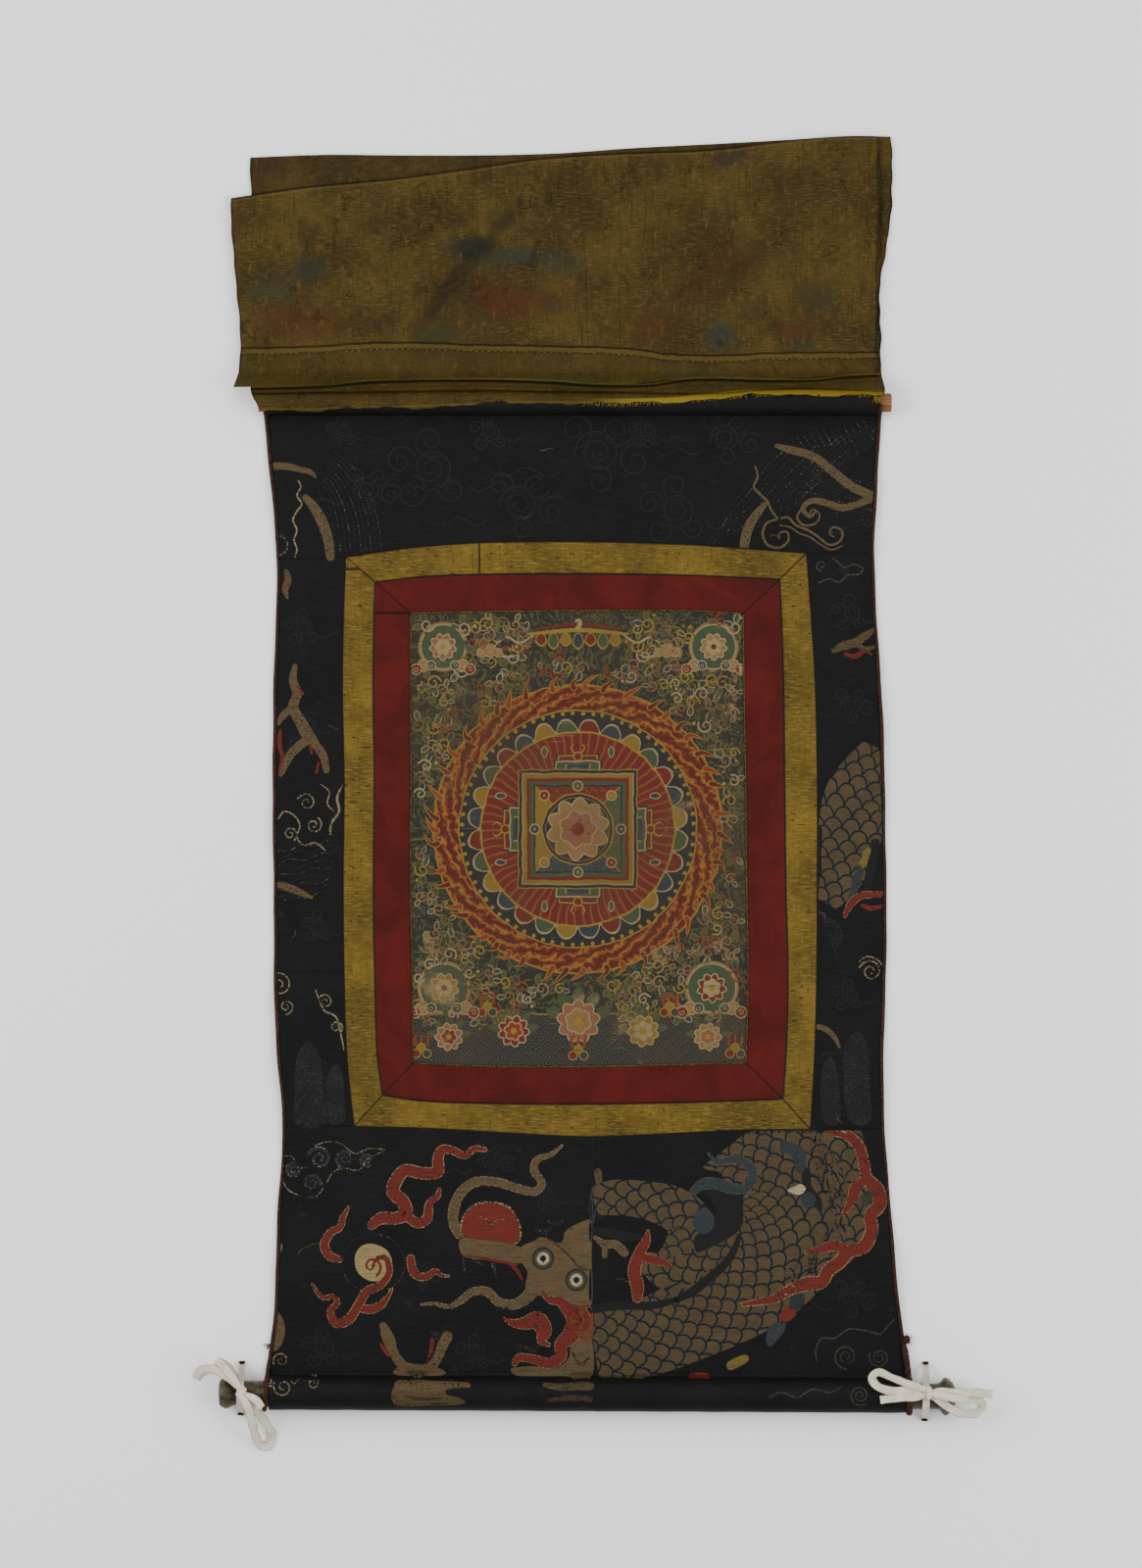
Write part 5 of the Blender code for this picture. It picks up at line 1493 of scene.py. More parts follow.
def band(store, colour, *numbers, worn=0.25, layer=0, closed=False, blunt=True, step=None):
    # numbers run x, y, width, x, y, width along the middle of the band
    rows = np.array(numbers, float).reshape(-1, 3)
    line = smoothLine(rows, step or figures["step"], closed)
    if closed:
        line = np.concatenate([line, line[:1]])
    centre, width = line[:, :2], np.maximum(line[:, 2], 0.3)
    ahead = np.gradient(centre, axis=0)
    ahead /= np.linalg.norm(ahead, axis=1, keepdims=True) + 1e-9
    if blunt and not closed:
        # rounded ends
        turns = np.array([0.55, 0.85, 0.98])
        for sign in (-1, 1):
            centre, width, ahead = centre[::-1], width[::-1], ahead[::-1]
            if width[-1] > 1.6:
                reach = sign * ahead[-1] * (width[-1] / 2 * turns)[:, None]
                centre = np.concatenate([centre, centre[-1] + reach])
                width = np.append(width, width[-1] * np.sqrt(1 - turns ** 2))
                ahead = np.concatenate([ahead, ahead[[-1, -1, -1]]])
    spread = width[:, None] / 2 * np.linspace(-1, 1, 2 + int(width.max() / figures["cell"]))
    x = centre[:, 0:1] - ahead[:, 1:2] * spread
    y = centre[:, 1:2] + ahead[:, 0:1] * spread
    run = np.concatenate([[0], np.cumsum(np.linalg.norm(np.diff(centre, axis=0), axis=1))])
    marks = np.dstack([run[:, None] + 0 * x, spread])
    store["faces"] += slabFaces(*x.shape, len(store["points"]))
    lay(store, x, y, layer, colour, worn, marks)


def outlined(store, colour, trim, *numbers, layer=1, worn=0.25, edge=1.3, **more):
    # a band with a thin pale line along both sides
    rows = np.array(numbers, float).reshape(-1, 3)
    wide = rows.copy()
    wide[:, 2] += 2 * edge
    band(store, trim, *wide.ravel(), layer=layer, worn=0.42, **more)
    band(store, colour, *numbers, layer=layer + 1, worn=worn, **more)


def patchShape(store, colour, *numbers, worn=0.25, layer=0, closed=True):
    # a filled patch within a smooth closed outline of x, y
    edge = smoothLine(np.array(numbers, float).reshape(-1, 2), figures["step"] * 1.2, closed=True)
    low, high = edge.min(axis=0), edge.max(axis=0)
    inside = []
    for gx in np.arange(low[0] + 3, high[0] - 2, figures["cell"] * 0.85):
        for gy in np.arange(low[1] + 3, high[1] - 2, figures["cell"] * 0.85):
            if np.min(np.hypot(*(edge - (gx, gy)).T)) > 2.5:
                inside.append((gx, gy))
    points = [Vector(p) for p in edge.tolist()] + [Vector(p) for p in inside]
    found, _, triangles, *_ = delaunay_2d_cdt(points, [], [list(range(len(edge)))], 1, 1e-4)
    first, count, used = len(store["points"]), len(found), {}
    x, y = lay(store, *np.array(found).T, layer, colour, worn)
    for a, b, c in triangles:
        if (x[b] - x[a]) * (y[c] - y[a]) - (x[c] - x[a]) * (y[b] - y[a]) < 0:
            b, c = c, b
        store["faces"].append((first + a, first + b, first + c))
        store["faces"].append((first + count + c, first + count + b, first + count + a))
        used.update({(a, b): True, (b, c): True, (c, a): True})
    for a, b in used:
        if (b, a) not in used:
            store["faces"].append((first + b, first + a, first + count + a, first + count + b))


def ruled(count, place):
    # the numbers of a band whose points come from a rule of their number and share
    return [value for n in range(count) for value in place(n, n / (count - 1))]


def spiral(store, colour, x, y, radius, turns=1.6, start=0.0, width=1.6, turn=1, inner=0.18, **more):
    # a scroll wound inwards; start is the angle of its outer end in degrees
    def place(n, t):
        a = math.radians(start) + turn * math.tau * turns * t
        r = radius * (1 - (1 - inner) * t ** 0.85)
        return x + r * math.cos(a), y + r * math.sin(a), width * (1 - 0.3 * t)

    band(store, colour, *ruled(max(8, int(turns * 10)) + 1, place), step=2.0, **more)


def ringShape(x, y, radius, count=10, high=None):
    # an outline of even points round a middle, high being its upright radius
    numbers = []
    for k in range(count):
        a = math.tau * k / count
        numbers += [x + radius * math.cos(a), y + (high or radius) * math.sin(a)]
    return numbers


def finishStore(name, store, material):
    points = np.array(store["points"])
    uvs = {"clothUv": points[:, :2], "bandUv": store["band"]}
    mesh = makeMesh(name, points, store["faces"], material, uvs, sharpAngle=None)
    thread = mesh.color_attributes.new("thread", "FLOAT_COLOR", "POINT")
    thread.data.foreach_set("color", np.array(store["colours"], np.float32).ravel())
    return settle(name, mesh)


def worn(place, broadness):
    # the noises that all woven figures share: the weft's streaks, fine rubbing, broad rubbing
    weft = cloudNoise(place, 420.0, 2.0, 0.6, (0.12, 1, 1))
    fine = cloudNoise(place, 700.0, 2.0, 0.7, (0.5, 1, 1))
    return weft, fine, cloudNoise(place, broadness, 3.0, 0.6)


# woven figures: their own colour, streaked by the weft and rubbed through to the ground
figureMaterial, place = newFinish("brocadeFigures", 0.6, specular=0.15), uvPlace()
thread = put("ShaderNodeVertexColor", layer_name="thread").outputs
weft, fine, broad = worn(place, 60.0)
colour = wash(thread[0], "1d1812", weft, 0.4, 0.75, 0, 0.4)
colour = blend(ramp(broad, 0.35, 0.7, 0.25, 0.0), colour, "8a8478", "SOFT_LIGHT")
level = plus(plus(times(fine, 0.8), times(broad, 0.35)), times(thread[1], 0.4))
feed("Base Color", wash(colour, "0f0e0e", level, 0.72, 0.8))
relief(plus(weft, fine), 0.00012)

# scaled body: arcs in staggered rows along the band, each with a warmer middle
scales = {"across": 18.5, "along": 11.2, "line": 0.12}
scaleMaterial, place = newFinish("scales", 0.6, specular=0.15), uvPlace()
along = parted(uvPlace("bandUv"))
rows = timesPlus(cloudNoise(place, 260.0, 2.0, 0.5), 0.16, ratio(along[0], scales["along"] * mm))
rowNumber = wholePart(rows)
inRow = minus(1.0, minus(rows, rowNumber))
stagger = times(modulo(rowNumber, 2.0), 0.5)
inCell = minus(fraction(plus(plus(ratio(along[1], scales["across"] * mm), stagger), 40.0)), 0.5)
reach = apart(times(inCell, 2.0), inRow)
line = ramp(absolute(minus(reach, 0.96)), scales["line"] * 0.55, scales["line"], 1.0, 0.0)
weft, fine, broad = worn(place, 40.0)
colour = blend(ramp(reach, 0.15, 0.75, 0.6, 0.0), "3f3623", "4c3116")
colour = wash(colour, "2f2a1e", broad, 0.4, 0.7, 0, 0.5)
colour = blend(line, wash(colour, "211c13", weft, 0.4, 0.75, 0, 0.4), "0c0d13")
feed("Base Color", wash(colour, "0f0e0e", plus(times(fine, 0.8), times(broad, 0.3)), 0.74, 0.8))
relief(minus(plus(weft, fine), line), 0.00015)


# the brocade's figures: dragon, pearl, flames, clouds and waves

brocadeSurface = landing(
    [piece for piece, _, _ in sheetRows if piece.name.startswith("brocade")], brocadeTop
)
lower = newStore(brocadeSurface, belowTheBorder)  # below the borders
upper = newStore(brocadeSurface, onBrocade)  # beside and above them
coils = newStore(brocadeSurface, belowTheBorder)  # scaled body
sideCoil = newStore(brocadeSurface, onBrocade)


def draw(store, *rows):
    # a row holds kind, colours, layer, wear (for an edged band its rim) and then its numbers
    for kind, colours, layer, amount, *numbers in rows:
        colour, *trim = colours.split()
        if kind == "edged":
            outlined(store, colour, trim[0], *numbers, layer=layer, edge=amount)
        else:
            (band if kind == "band" else patchShape)(store, colour, *numbers, layer=layer, worn=amount)


def scrolls(store, colour, width, turns, rows, **more):
    # rows hold x, y, radius, angle of the outer end, which way it winds
    for x, y, radius, start, turn in rows:
        spiral(store, colour, x, y, radius, turns, start, width, turn=turn, **more)


def waterLines(lines, points, odd, even, worn, place):
    # rows of fine lines; place gives x, y, width from the line's number, the point's and its share
    for k in range(lines):
        numbers = ruled(points, lambda n, t: place(k, n, t))
        band(upper, odd if k % 2 else even, *numbers, worn=worn, layer=1)


# pearl in its ring, with a comma of red, and flames about it
draw(lower,
    ("patch", "cream", 1, 0.1, 380, 1269, 395, 1276, 400, 1290, 392, 1304, 378, 1307, 365, 1298, 362, 1283,
     368, 1272),
)
ring = np.column_stack([np.reshape(ringShape(381, 1289, 32, 24, 30), (24, 2)), np.full(24, 1.3)])
band(lower, "pale", *ring.ravel(), closed=True, worn=0.75, layer=1)
draw(lower,
    ("edged", "red cream", 2, 0.8, 380, 1292, 2, 385, 1284, 3.5, 394, 1284, 5, 397, 1298, 6, 388, 1311, 7,
     374, 1318, 8, 366, 1331, 8, 356, 1346, 9, 343, 1350, 8, 337, 1338, 6, 344, 1330, 5, 341, 1323, 4, 331,
     1324, 4, 325, 1320, 3, 319, 1310, 1.5),
)
spiral(lower, "red", 379, 1292, 11, 1.1, 60, 2.6, turn=-1, worn=0.2, layer=3)
draw(lower,
    ("edged", "red cream", 1, 0.8, 366, 1334, 7, 378, 1336, 8, 389, 1331, 7, 397, 1321, 3, 400, 1314, 1.2),
    ("edged", "red cream", 1, 0.8, 347, 1285, 5, 336, 1281, 8, 331, 1270, 8, 337, 1258, 7, 347, 1252, 6,
     350, 1242, 5, 356, 1231, 1.2),
    ("edged", "red cream", 1, 0.8, 419, 1284, 7, 422, 1298, 8, 433, 1303, 7, 444, 1297, 5, 450, 1301, 3,
     458, 1302, 1),
    # the long red flame above it
    ("edged", "red cream", 1, 0.9, 495, 1173, 3, 484, 1172, 5, 474, 1179, 6, 462, 1174, 7, 451, 1173, 8,
     447, 1182, 10, 446, 1196, 11, 430, 1197, 11, 414, 1194, 11, 405, 1203, 12, 401, 1216, 12, 411, 1226,
     12, 414, 1238, 12, 404, 1243, 11, 389, 1243, 11, 379, 1250, 8),
    ("edged", "red cream", 1, 0.9, 414, 1240, 8, 426, 1248, 9, 436, 1243, 9, 438, 1229, 7, 447, 1219, 5,
     448, 1213, 2),
)
# blue-grey cloud in the corner
for x, y, radius, start, turn in (
    (326, 1182, 12, 200, 1), (318, 1207, 9, 10, -1), (352, 1182, 9, 120, 1), (300, 1194, 8, 260, -1),
    (374, 1183, 7, 60, 1),
):
    spiral(lower, "slate", x, y, radius, 1.6, start, 3.4, turn=turn, worn=0.35)
    spiral(lower, "pale", x, y, radius + 1.6, 1.7, start, 1.1, turn=turn, worn=0.62, layer=1)
draw(lower,
    ("band", "pale", 1, 0.5, 289, 1180, 1, 298, 1180, 1.3, 304, 1191, 1.3, 315, 1191, 1),
    ("band", "pale", 1, 0.5, 321, 1169, 1, 334, 1165, 1.3, 348, 1167, 1.3, 362, 1177, 1.3, 376, 1172, 1.3,
     393, 1173, 1),
    ("band", "pale", 1, 0.5, 391, 1175, 1, 376, 1182, 1.3, 366, 1194, 1.3, 352, 1192, 1.3, 341, 1195, 1.3,
     333, 1207, 1),
    ("band", "pale", 1, 0.5, 288, 1198, 1, 292, 1212, 1.3, 306, 1220, 1.3, 322, 1221, 1.3, 330, 1212, 1),
)
# whiskers
draw(lower,
    ("edged", "beige pale", 1, 0.6, 573, 1169, 1.5, 562, 1178, 4, 548, 1183, 6, 545, 1195, 7, 553, 1207, 7,
     545, 1216, 7, 527, 1212, 8, 506, 1206, 8, 485, 1206, 9, 470, 1217, 9, 463, 1234, 10, 463, 1249, 9, 468,
     1260, 7),
    ("edged", "beige pale", 1, 0.6, 430, 1331, 1.2, 443, 1330, 3, 457, 1333, 4, 470, 1327, 6, 482, 1318, 7,
     497, 1318, 8, 508, 1328, 8, 524, 1331, 9, 537, 1324, 11, 546, 1312, 13),
    # red crown, snout, head and eyes
    ("patch", "cream", 1, 0.5, 469, 1251, 474, 1237, 487, 1227, 505, 1226, 520, 1231, 529, 1244, 532, 1262,
     523, 1271, 500, 1269, 480, 1266, 470, 1261),
    ("patch", "red", 2, 0.1, 471, 1251, 476, 1238, 488, 1229, 505, 1228, 519, 1233, 527, 1245, 530, 1261,
     522, 1269, 500, 1267, 481, 1264, 472, 1259),
    ("band", "cream", 3, 0.5, 488, 1241, 0.8, 496, 1244, 1.2, 501, 1249, 1.2, 507, 1245, 1.2, 516, 1244,
     0.8),
    ("patch", "beige", 3, 0.15, 470, 1264, 492, 1265, 516, 1268, 534, 1274, 540, 1283, 530, 1289, 505, 1286,
     480, 1284, 470, 1278),
    ("band", "red", 4, 0.3, 476, 1281, 1.5, 495, 1284, 3, 515, 1288, 3, 528, 1291, 1.5),
    ("band", "pale", 2, 0.7, 472, 1284, 3, 474, 1298, 2),
    ("band", "pale", 2, 0.7, 503, 1290, 4, 506, 1303, 3),
    ("band", "pale", 2, 0.7, 484, 1286, 2, 492, 1290, 2),
    ("patch", "beige", 2, 0.12, 532, 1272, 545, 1266, 553, 1262, 572, 1268, 577, 1256, 592, 1247, 603.5,
     1247, 603.5, 1280, 603.5, 1330, 590, 1334, 574, 1328, 556, 1322, 542, 1322, 536, 1312, 538, 1298, 530,
     1284),
    ("band", "brown", 3, 0.35, 556, 1262, 1, 566, 1268, 2, 575, 1276, 2, 583, 1284, 2, 590, 1292, 2, 600,
     1296, 1.5),
    ("band", "red", 3, 0.35, 521, 1290, 3, 528, 1297, 4, 532, 1305, 2),
)
for x, y in ((554, 1284), (588, 1306)):
    for radius, colour, step in ((11.5, "slate", 3), (9.0, "tan", 4), (6.4, "ivory", 5), (3.2, "night", 6)):
        patchShape(lower, colour, *ringShape(x, y, radius, high=radius * 1.02), layer=step, worn=0.2)
# mouth, tongue and jaw
draw(lower,
    ("edged", "red cream", 3, 0.6, 553, 1318, 2, 560, 1326, 6, 571, 1328, 9, 580, 1336, 14, 590, 1346, 24,
     582, 1362, 17, 572, 1372, 12, 572, 1384, 11, 560, 1391, 10, 545, 1387, 8, 530, 1385, 7, 525, 1391, 5),
    ("edged", "red cream", 3, 0.7, 514, 1345, 1.5, 524, 1350, 7, 536, 1350, 12, 548, 1347, 17, 555, 1358,
     15, 552, 1368, 7, 560, 1372, 3),
    ("patch", "orange", 4, 0.2, 586, 1336, 603.5, 1334, 603.5, 1368, 590, 1364, 582, 1350),
    ("patch", "beige", 2, 0.15, 522, 1396, 545, 1394, 565, 1396, 580, 1386, 582, 1368, 592, 1362, 603.5,
     1366, 603.5, 1404, 575, 1404, 545, 1404, 526, 1403),
    ("band", "gold", 3, 0.5, 584, 1380, 2, 592, 1392, 4, 600, 1386, 3),
)
for x, y in ((560, 1246), (548, 1254), (528, 1381), (536, 1375), (440, 1359), (446, 1365)):
    band(lower, "silver", x, y, 4, x + 9, y + 3, 5, x + 14, y - 2, 3, worn=0.8, layer=1)
# claw above the roller and its wrist over it
draw(lower,
    ("edged", "beige gold", 1, 0.5, 391, 1353, 6, 394, 1364, 9, 398, 1372, 9, 404, 1384, 9, 412, 1394, 10,
     425, 1398, 12, 438, 1396, 10, 446, 1386, 9, 451, 1374, 10, 456, 1364, 11),
    ("band", "beige", 3, 0.2, 391, 1353, 8, 399, 1366, 8, 402, 1372, 5),
    ("band", "red", 3, 0.25, 388, 1371, 2, 393, 1378, 5, 397, 1383, 3),
    ("band", "red", 3, 0.35, 441, 1367, 4, 440, 1378, 4, 436, 1388, 2),
)
figures["cell"] = 2.0  # the rod's curve needs closer points
draw(lower,
    ("patch", "beige", 2, 0.2, 405, 1396, 425, 1392, 448, 1396, 452, 1403, 405, 1403),
    ("band", "beige", 2, 0.3, 408, 1411, 10, 424, 1412, 12, 445, 1412, 10, 462, 1411, 7, 478, 1411, 5),
    ("patch", "tan", 1, 0.25, 403, 1412, 425, 1408, 452, 1411, 456, 1420, 470, 1424, 474, 1430, 440, 1432,
     404, 1431),
    ("band", "brown", 3, 0.4, 415, 1422, 2, 430, 1425, 3, 450, 1424, 2),
    ("band", "tan", 2, 0.35, 556, 1411, 5, 572, 1413, 7, 590, 1412, 8, 602, 1412, 8),
    ("band", "brown", 1, 0.4, 560, 1426, 4, 585, 1424, 6, 602, 1425, 6),
)
figures["cell"] = 7.0
# edge of a roundel and scrolls at the left side
draw(lower,
    ("patch", "beige", 0, 0.25, 281, 1338, 288, 1344, 291, 1358, 287, 1372, 279, 1379, 277.5, 1366, 279.5,
     1350),
)
scrolls(lower, "pale", 1.5, 1.4, (
    (287, 1388, 9, 150, 1), (290, 1413, 10, 190, -1), (320, 1409, 7, 250, 1), (282, 1273, 7, 250, 1),
    (276, 1408, 5, 0, 1),
), worn=0.45, layer=1)
tail = ruled(
    7, lambda n, t: (298 + 18 * t, 1407 - t + 3.2 * math.sin(t * 9) * (1 - 0.4 * t), 1.4 * (1 - 0.45 * t))
)
band(lower, "pale", *tail, worn=0.5)

# the scaled body, coiling from the right border down to the foot
band(coils, "gold", 768, 1150, 132, 780, 1166, 112, 792, 1190, 108, 802, 1215, 124, 800, 1250, 126, 782,
     1285, 122, 748, 1318, 104, 700, 1348, 84, 655, 1366, 78, 606, 1374, 68, layer=0, blunt=False)
band(coils, "gold", 850, 1152, 50, 856, 1175, 56, 862, 1205, 50, 868, 1230, 44, 862, 1262, 40, 838, 1290,
     34, 806, 1310, 28, layer=0, blunt=False)
band(coils, "gold", 606, 1226, 30, 626, 1222, 36, 655, 1224, 38, 685, 1232, 44, 704, 1248, 46, 700, 1275,
     46, 686, 1296, 44, 672, 1312, 36, layer=1, blunt=False)
draw(coils,
    ("band", "gold", 2, 0.25, 664, 1290, 26, 684, 1300, 34, 706, 1290, 30, 730, 1276, 20, 748, 1266, 10),
)
# dark valleys between the coils
draw(lower,
    ("patch", "night", 3, 0.0, 716, 1212, 738, 1208, 756, 1214, 758, 1232, 756, 1252, 742, 1264, 722, 1274,
     710, 1277, 709, 1262, 722, 1252, 730, 1236, 724, 1222),
    ("band", "night", 3, 0.1, 754, 1262, 5, 744, 1284, 8, 726, 1302, 9, 706, 1318, 9, 690, 1326, 6),
    ("band", "night", 3, 0.1, 604, 1336, 9, 630, 1332, 9, 665, 1332, 8, 690, 1326, 6),
    ("band", "night", 3, 0.1, 606, 1255, 6, 622, 1258, 10, 640, 1262, 10, 655, 1262, 6),
    ("band", "night", 2, 0.15, 822, 1196, 9, 824, 1212, 9, 834, 1225, 8, 836, 1234, 5),
    # fins
    ("edged", "red cream", 4, 0.9, 846, 1154, 7, 864, 1158, 9, 876, 1170, 10, 881, 1186, 10, 884, 1202, 11,
     895, 1214, 13, 897, 1229, 13, 888, 1240, 12, 889, 1256, 12, 881, 1272, 12, 866, 1277, 12, 856, 1288,
     12, 845, 1296, 12, 838, 1308, 12, 823, 1310, 13, 806, 1316, 10, 790, 1325, 8, 775, 1328, 6, 758, 1331,
     3),
    ("edged", "red cream", 4, 0.5, 860, 1239, 3, 868, 1226, 8, 873, 1212, 12, 879, 1206, 8),
    ("edged", "red cream", 4, 0.5, 822, 1278, 3, 838, 1274, 8, 850, 1271, 10, 862, 1274, 8),
    ("edged", "red cream", 4, 0.7, 661, 1256, 2, 659, 1266, 8, 652, 1280, 11, 647, 1296, 12, 650, 1312, 13,
     650, 1324, 9),
    ("edged", "red cream", 4, 0.4, 660, 1284, 9, 674, 1287, 8, 684, 1291, 3),
    # ribbons, roundel and patches in grey
    ("edged", "blueGrey silver", 5, 0.4, 723, 1177, 2, 732, 1186, 5, 746, 1183, 7, 760, 1186, 8, 768, 1198,
     9, 762, 1211, 9, 748, 1213, 10, 732, 1208, 11, 718, 1208, 11, 708, 1215, 8),
)
patchShape(lower, "blueGrey", *ringShape(718, 1246, 11, high=13), layer=5, worn=0.2)
draw(lower,
    ("patch", "blueGrey", 4, 0.3, 798, 1164, 812, 1168, 822, 1176, 820, 1196, 812, 1194, 808, 1180, 796,
     1174),
    ("patch", "blueGrey", 4, 0.3, 818, 1218, 830, 1218, 831, 1230, 819, 1231),
    ("patch", "moss", 5, 0.3, 880, 1218, 890, 1216, 888, 1228, 880, 1230),
)
# belly plates
draw(lower,
    ("patch", "slate", 3, 0.15, 808, 1320, 818, 1318, 820, 1330, 806, 1336),
    ("patch", "red", 3, 0.15, 799, 1336, 808, 1333, 812, 1342, 796, 1351),
    ("patch", "blueGrey", 3, 0.15, 787, 1352, 800, 1348, 800, 1358, 786, 1374, 781, 1366),
    ("patch", "straw", 3, 0.15, 742, 1390, 760, 1382, 763, 1389, 745, 1398),
    ("patch", "red", 3, 0.15, 705, 1401, 722, 1401, 724, 1407, 704, 1407),
)
# small hand and fetlock by the middle seam
draw(lower,
    ("edged", "beige pale", 4, 0.4, 607, 1262, 3, 616, 1269, 7, 628, 1270, 8, 637, 1278, 8),
    ("band", "beige", 5, 0.25, 617, 1272, 6, 617, 1281, 6),
    ("band", "tan", 1, 0.3, 610, 1196, 8, 611, 1206, 7),
    ("band", "blueGrey", 1, 0.4, 605, 1214, 4, 604.5, 1232, 8, 604, 1246, 5),
    ("patch", "ivory", 6, 0.0, 803, 1214, 810, 1211, 817, 1208, 822, 1213, 816, 1219, 807, 1217),
)
# damask clouds at the right foot
scrolls(lower, "dim", 1.7, 2.0, (
    (863, 1384, 13, 90, 1), (897, 1385, 11, 200, -1), (876, 1421, 11, 60, 1),
), worn=0.35, layer=1)
draw(lower,
    ("band", "dim", 1, 0.35, 834, 1390, 1, 832, 1378, 1.8, 838, 1366, 1.8, 852, 1365, 1.8, 866, 1356, 1.8,
     884, 1358, 1.8, 898, 1361, 1.8, 906, 1352, 1.5, 912, 1346, 1),
    ("band", "dim", 1, 0.4, 782, 1424, 1.5, 796, 1418, 1.8, 812, 1423, 1.8, 828, 1415, 1.8, 846, 1418, 1.8,
     858, 1412, 1),
)

# upper corners: bands of water, waves and scrolls
draw(upper,
    ("band", "beige", 1, 0.25, 279, 476, 8, 292, 476, 7, 306, 479, 6, 317, 482, 5, 322, 487, 2),
    ("band", "beige", 2, 0.25, 312, 508, 7, 322, 520, 10, 330, 536, 11, 335, 552, 10, 337, 568, 9),
)
waterLines(11, 7, "dim", "silver", 0.64, lambda k, n, t: (
    316 + (21 + 5.2 * k) * math.cos(math.radians(68 * t - 70)),
    566 + (53.2 + (21 + 5.2 * k) * 0.8) * math.sin(math.radians(68 * t - 70)), 0.8,
))
draw(upper,
    ("band", "pale", 1, 0.35, 304, 490, 1.2, 307, 497, 1.6, 303, 506, 1.8, 308, 514, 1.6, 303, 522, 1.8,
     299, 531, 1.8, 303, 541, 1.8, 300, 551, 1.6, 303, 560, 1.6, 301, 569, 1),
    ("band", "pale", 1, 0.5, 281, 549, 1, 288, 547, 1.4, 293, 554, 1.6, 292, 562, 1.4, 285, 567, 1),
    ("band", "beige", 2, 0.25, 792, 455, 4, 806, 459, 8, 830, 466, 8, 848, 480, 9, 868, 496, 9, 889, 506,
     9),
    ("band", "beige", 2, 0.25, 889, 508, 8, 874, 515, 7, 858, 518, 7, 842, 513, 7, 828, 511, 6, 819, 519, 5,
     826, 527, 4, 832, 522, 2),
    ("band", "beige", 2, 0.25, 783, 512, 3, 774, 522, 8, 764, 537, 10, 760, 552, 10, 759, 561, 9),
    ("band", "beige", 3, 0.12, 770, 475, 1.5, 773, 486, 2.4, 769, 497, 2.6, 776, 505, 2.6, 783, 512, 2.6,
     787, 521, 2.4, 793, 529, 2.2),
    ("band", "beige", 3, 0.15, 793, 530, 2, 782, 534, 2.4, 778, 545, 2.6, 783, 556, 2.6, 795, 559, 2.4,
     804, 552, 2.2, 803, 543, 2, 795, 544, 1.8, 795, 550, 1.6),
    ("band", "beige", 3, 0.15, 797, 529, 2, 804, 528, 2.4, 812, 536, 2.4, 824, 541, 2.4, 835, 548, 2.4,
     846, 556, 2.4, 857, 552, 2.4, 859, 542, 2.2, 850, 538, 2, 846, 544, 1.8, 851, 548, 1.6),
    ("band", "beige", 3, 0.15, 795, 536, 1.4, 806, 538, 1.6, 815, 544, 1.6, 826, 548, 1.6, 836, 555, 1.6,
     848, 561, 1.6, 861, 556, 1.4),
    ("band", "beige", 3, 0.15, 818, 519, 2.4, 813, 528, 2.4, 820, 536, 2.2, 832, 534, 2, 836, 525, 1.8,
     829, 520, 1.6, 825, 526, 1.5),
)
waterLines(15, 7, "silver", "dim", 0.66, lambda k, n, t: (
    718 + 6.5 * k + (68 + 4 * k) * t + 2 * math.sin(n * 2.1 + k),
    560 - 5.4 * k * 0.55 - 96 * t ** 0.9 + 1.2 * math.sin(n * 3 + k), 0.8,
))
waterLines(12, 6, "silver", "silver", 0.62, lambda k, n, t: (
    806 + 6.8 * k + 9 * t, 447 - 1.6 * k + 13 * t * (1 + 0.04 * k), 0.9,
))
waterLines(9, 7, "dim", "silver", 0.68, lambda k, n, t: (
    818 + 76 * t, 466 + 4.4 * k + 34 * t * (1 - 0.05 * k) + 1.2 * math.sin(n * 2.3 + k), 0.8,
))
waterLines(5, 6, "silver", "silver", 0.7, lambda k, n, t: (
    838 + 54 * t, 524 + 5 * k - 3 * t + 1.5 * math.sin(n * 2.1 + k), 0.8,
))

# right side
draw(upper,
    ("band", "dim", 1, 0.3, 834, 595, 1.6, 846, 591, 1.8, 856, 594, 1.8, 865, 587, 1.8, 876, 586, 1.8, 880,
     580, 1.6, 871, 576, 1.6, 862, 579, 1.6, 855, 574, 1.4, 849, 569, 1.2),
)
spiral(upper, "dim", 838, 577, 6, 1.3, 90, 1.6, worn=0.35, layer=1)
draw(upper,
    ("edged", "tan gold", 1, 0.5, 850, 664, 4, 860, 659, 8, 872, 656, 8, 884, 648, 7, 892, 642, 3),
    ("band", "red", 2, 0.35, 862, 667, 3, 872, 670, 5, 882, 664, 4, 889, 668, 2),
    ("band", "tan", 2, 0.25, 872, 656, 5, 882, 662, 5, 893, 660, 3),
)
band(sideCoil, "gold", 893, 762, 26, 882, 784, 44, 872, 812, 62, 868, 845, 66, 862, 878, 56, 852, 905,
     40, 843, 922, 22, layer=0, blunt=False)
draw(upper,
    ("band", "straw", 3, 0.2, 885, 868, 7, 880, 882, 8),
    ("band", "blueGrey", 3, 0.3, 878, 886, 8, 873, 902, 8, 868, 922, 7),
    ("band", "night", 2, 0.15, 893, 860, 9, 890, 880, 10, 884, 905, 8),
    ("edged", "red cream", 4, 0.5, 902, 912, 4, 890, 913, 6, 878, 914, 7, 868, 922, 7, 862, 934, 4),
    ("band", "red", 4, 0.3, 900, 924, 3, 889, 927, 5, 880, 924, 4),
)
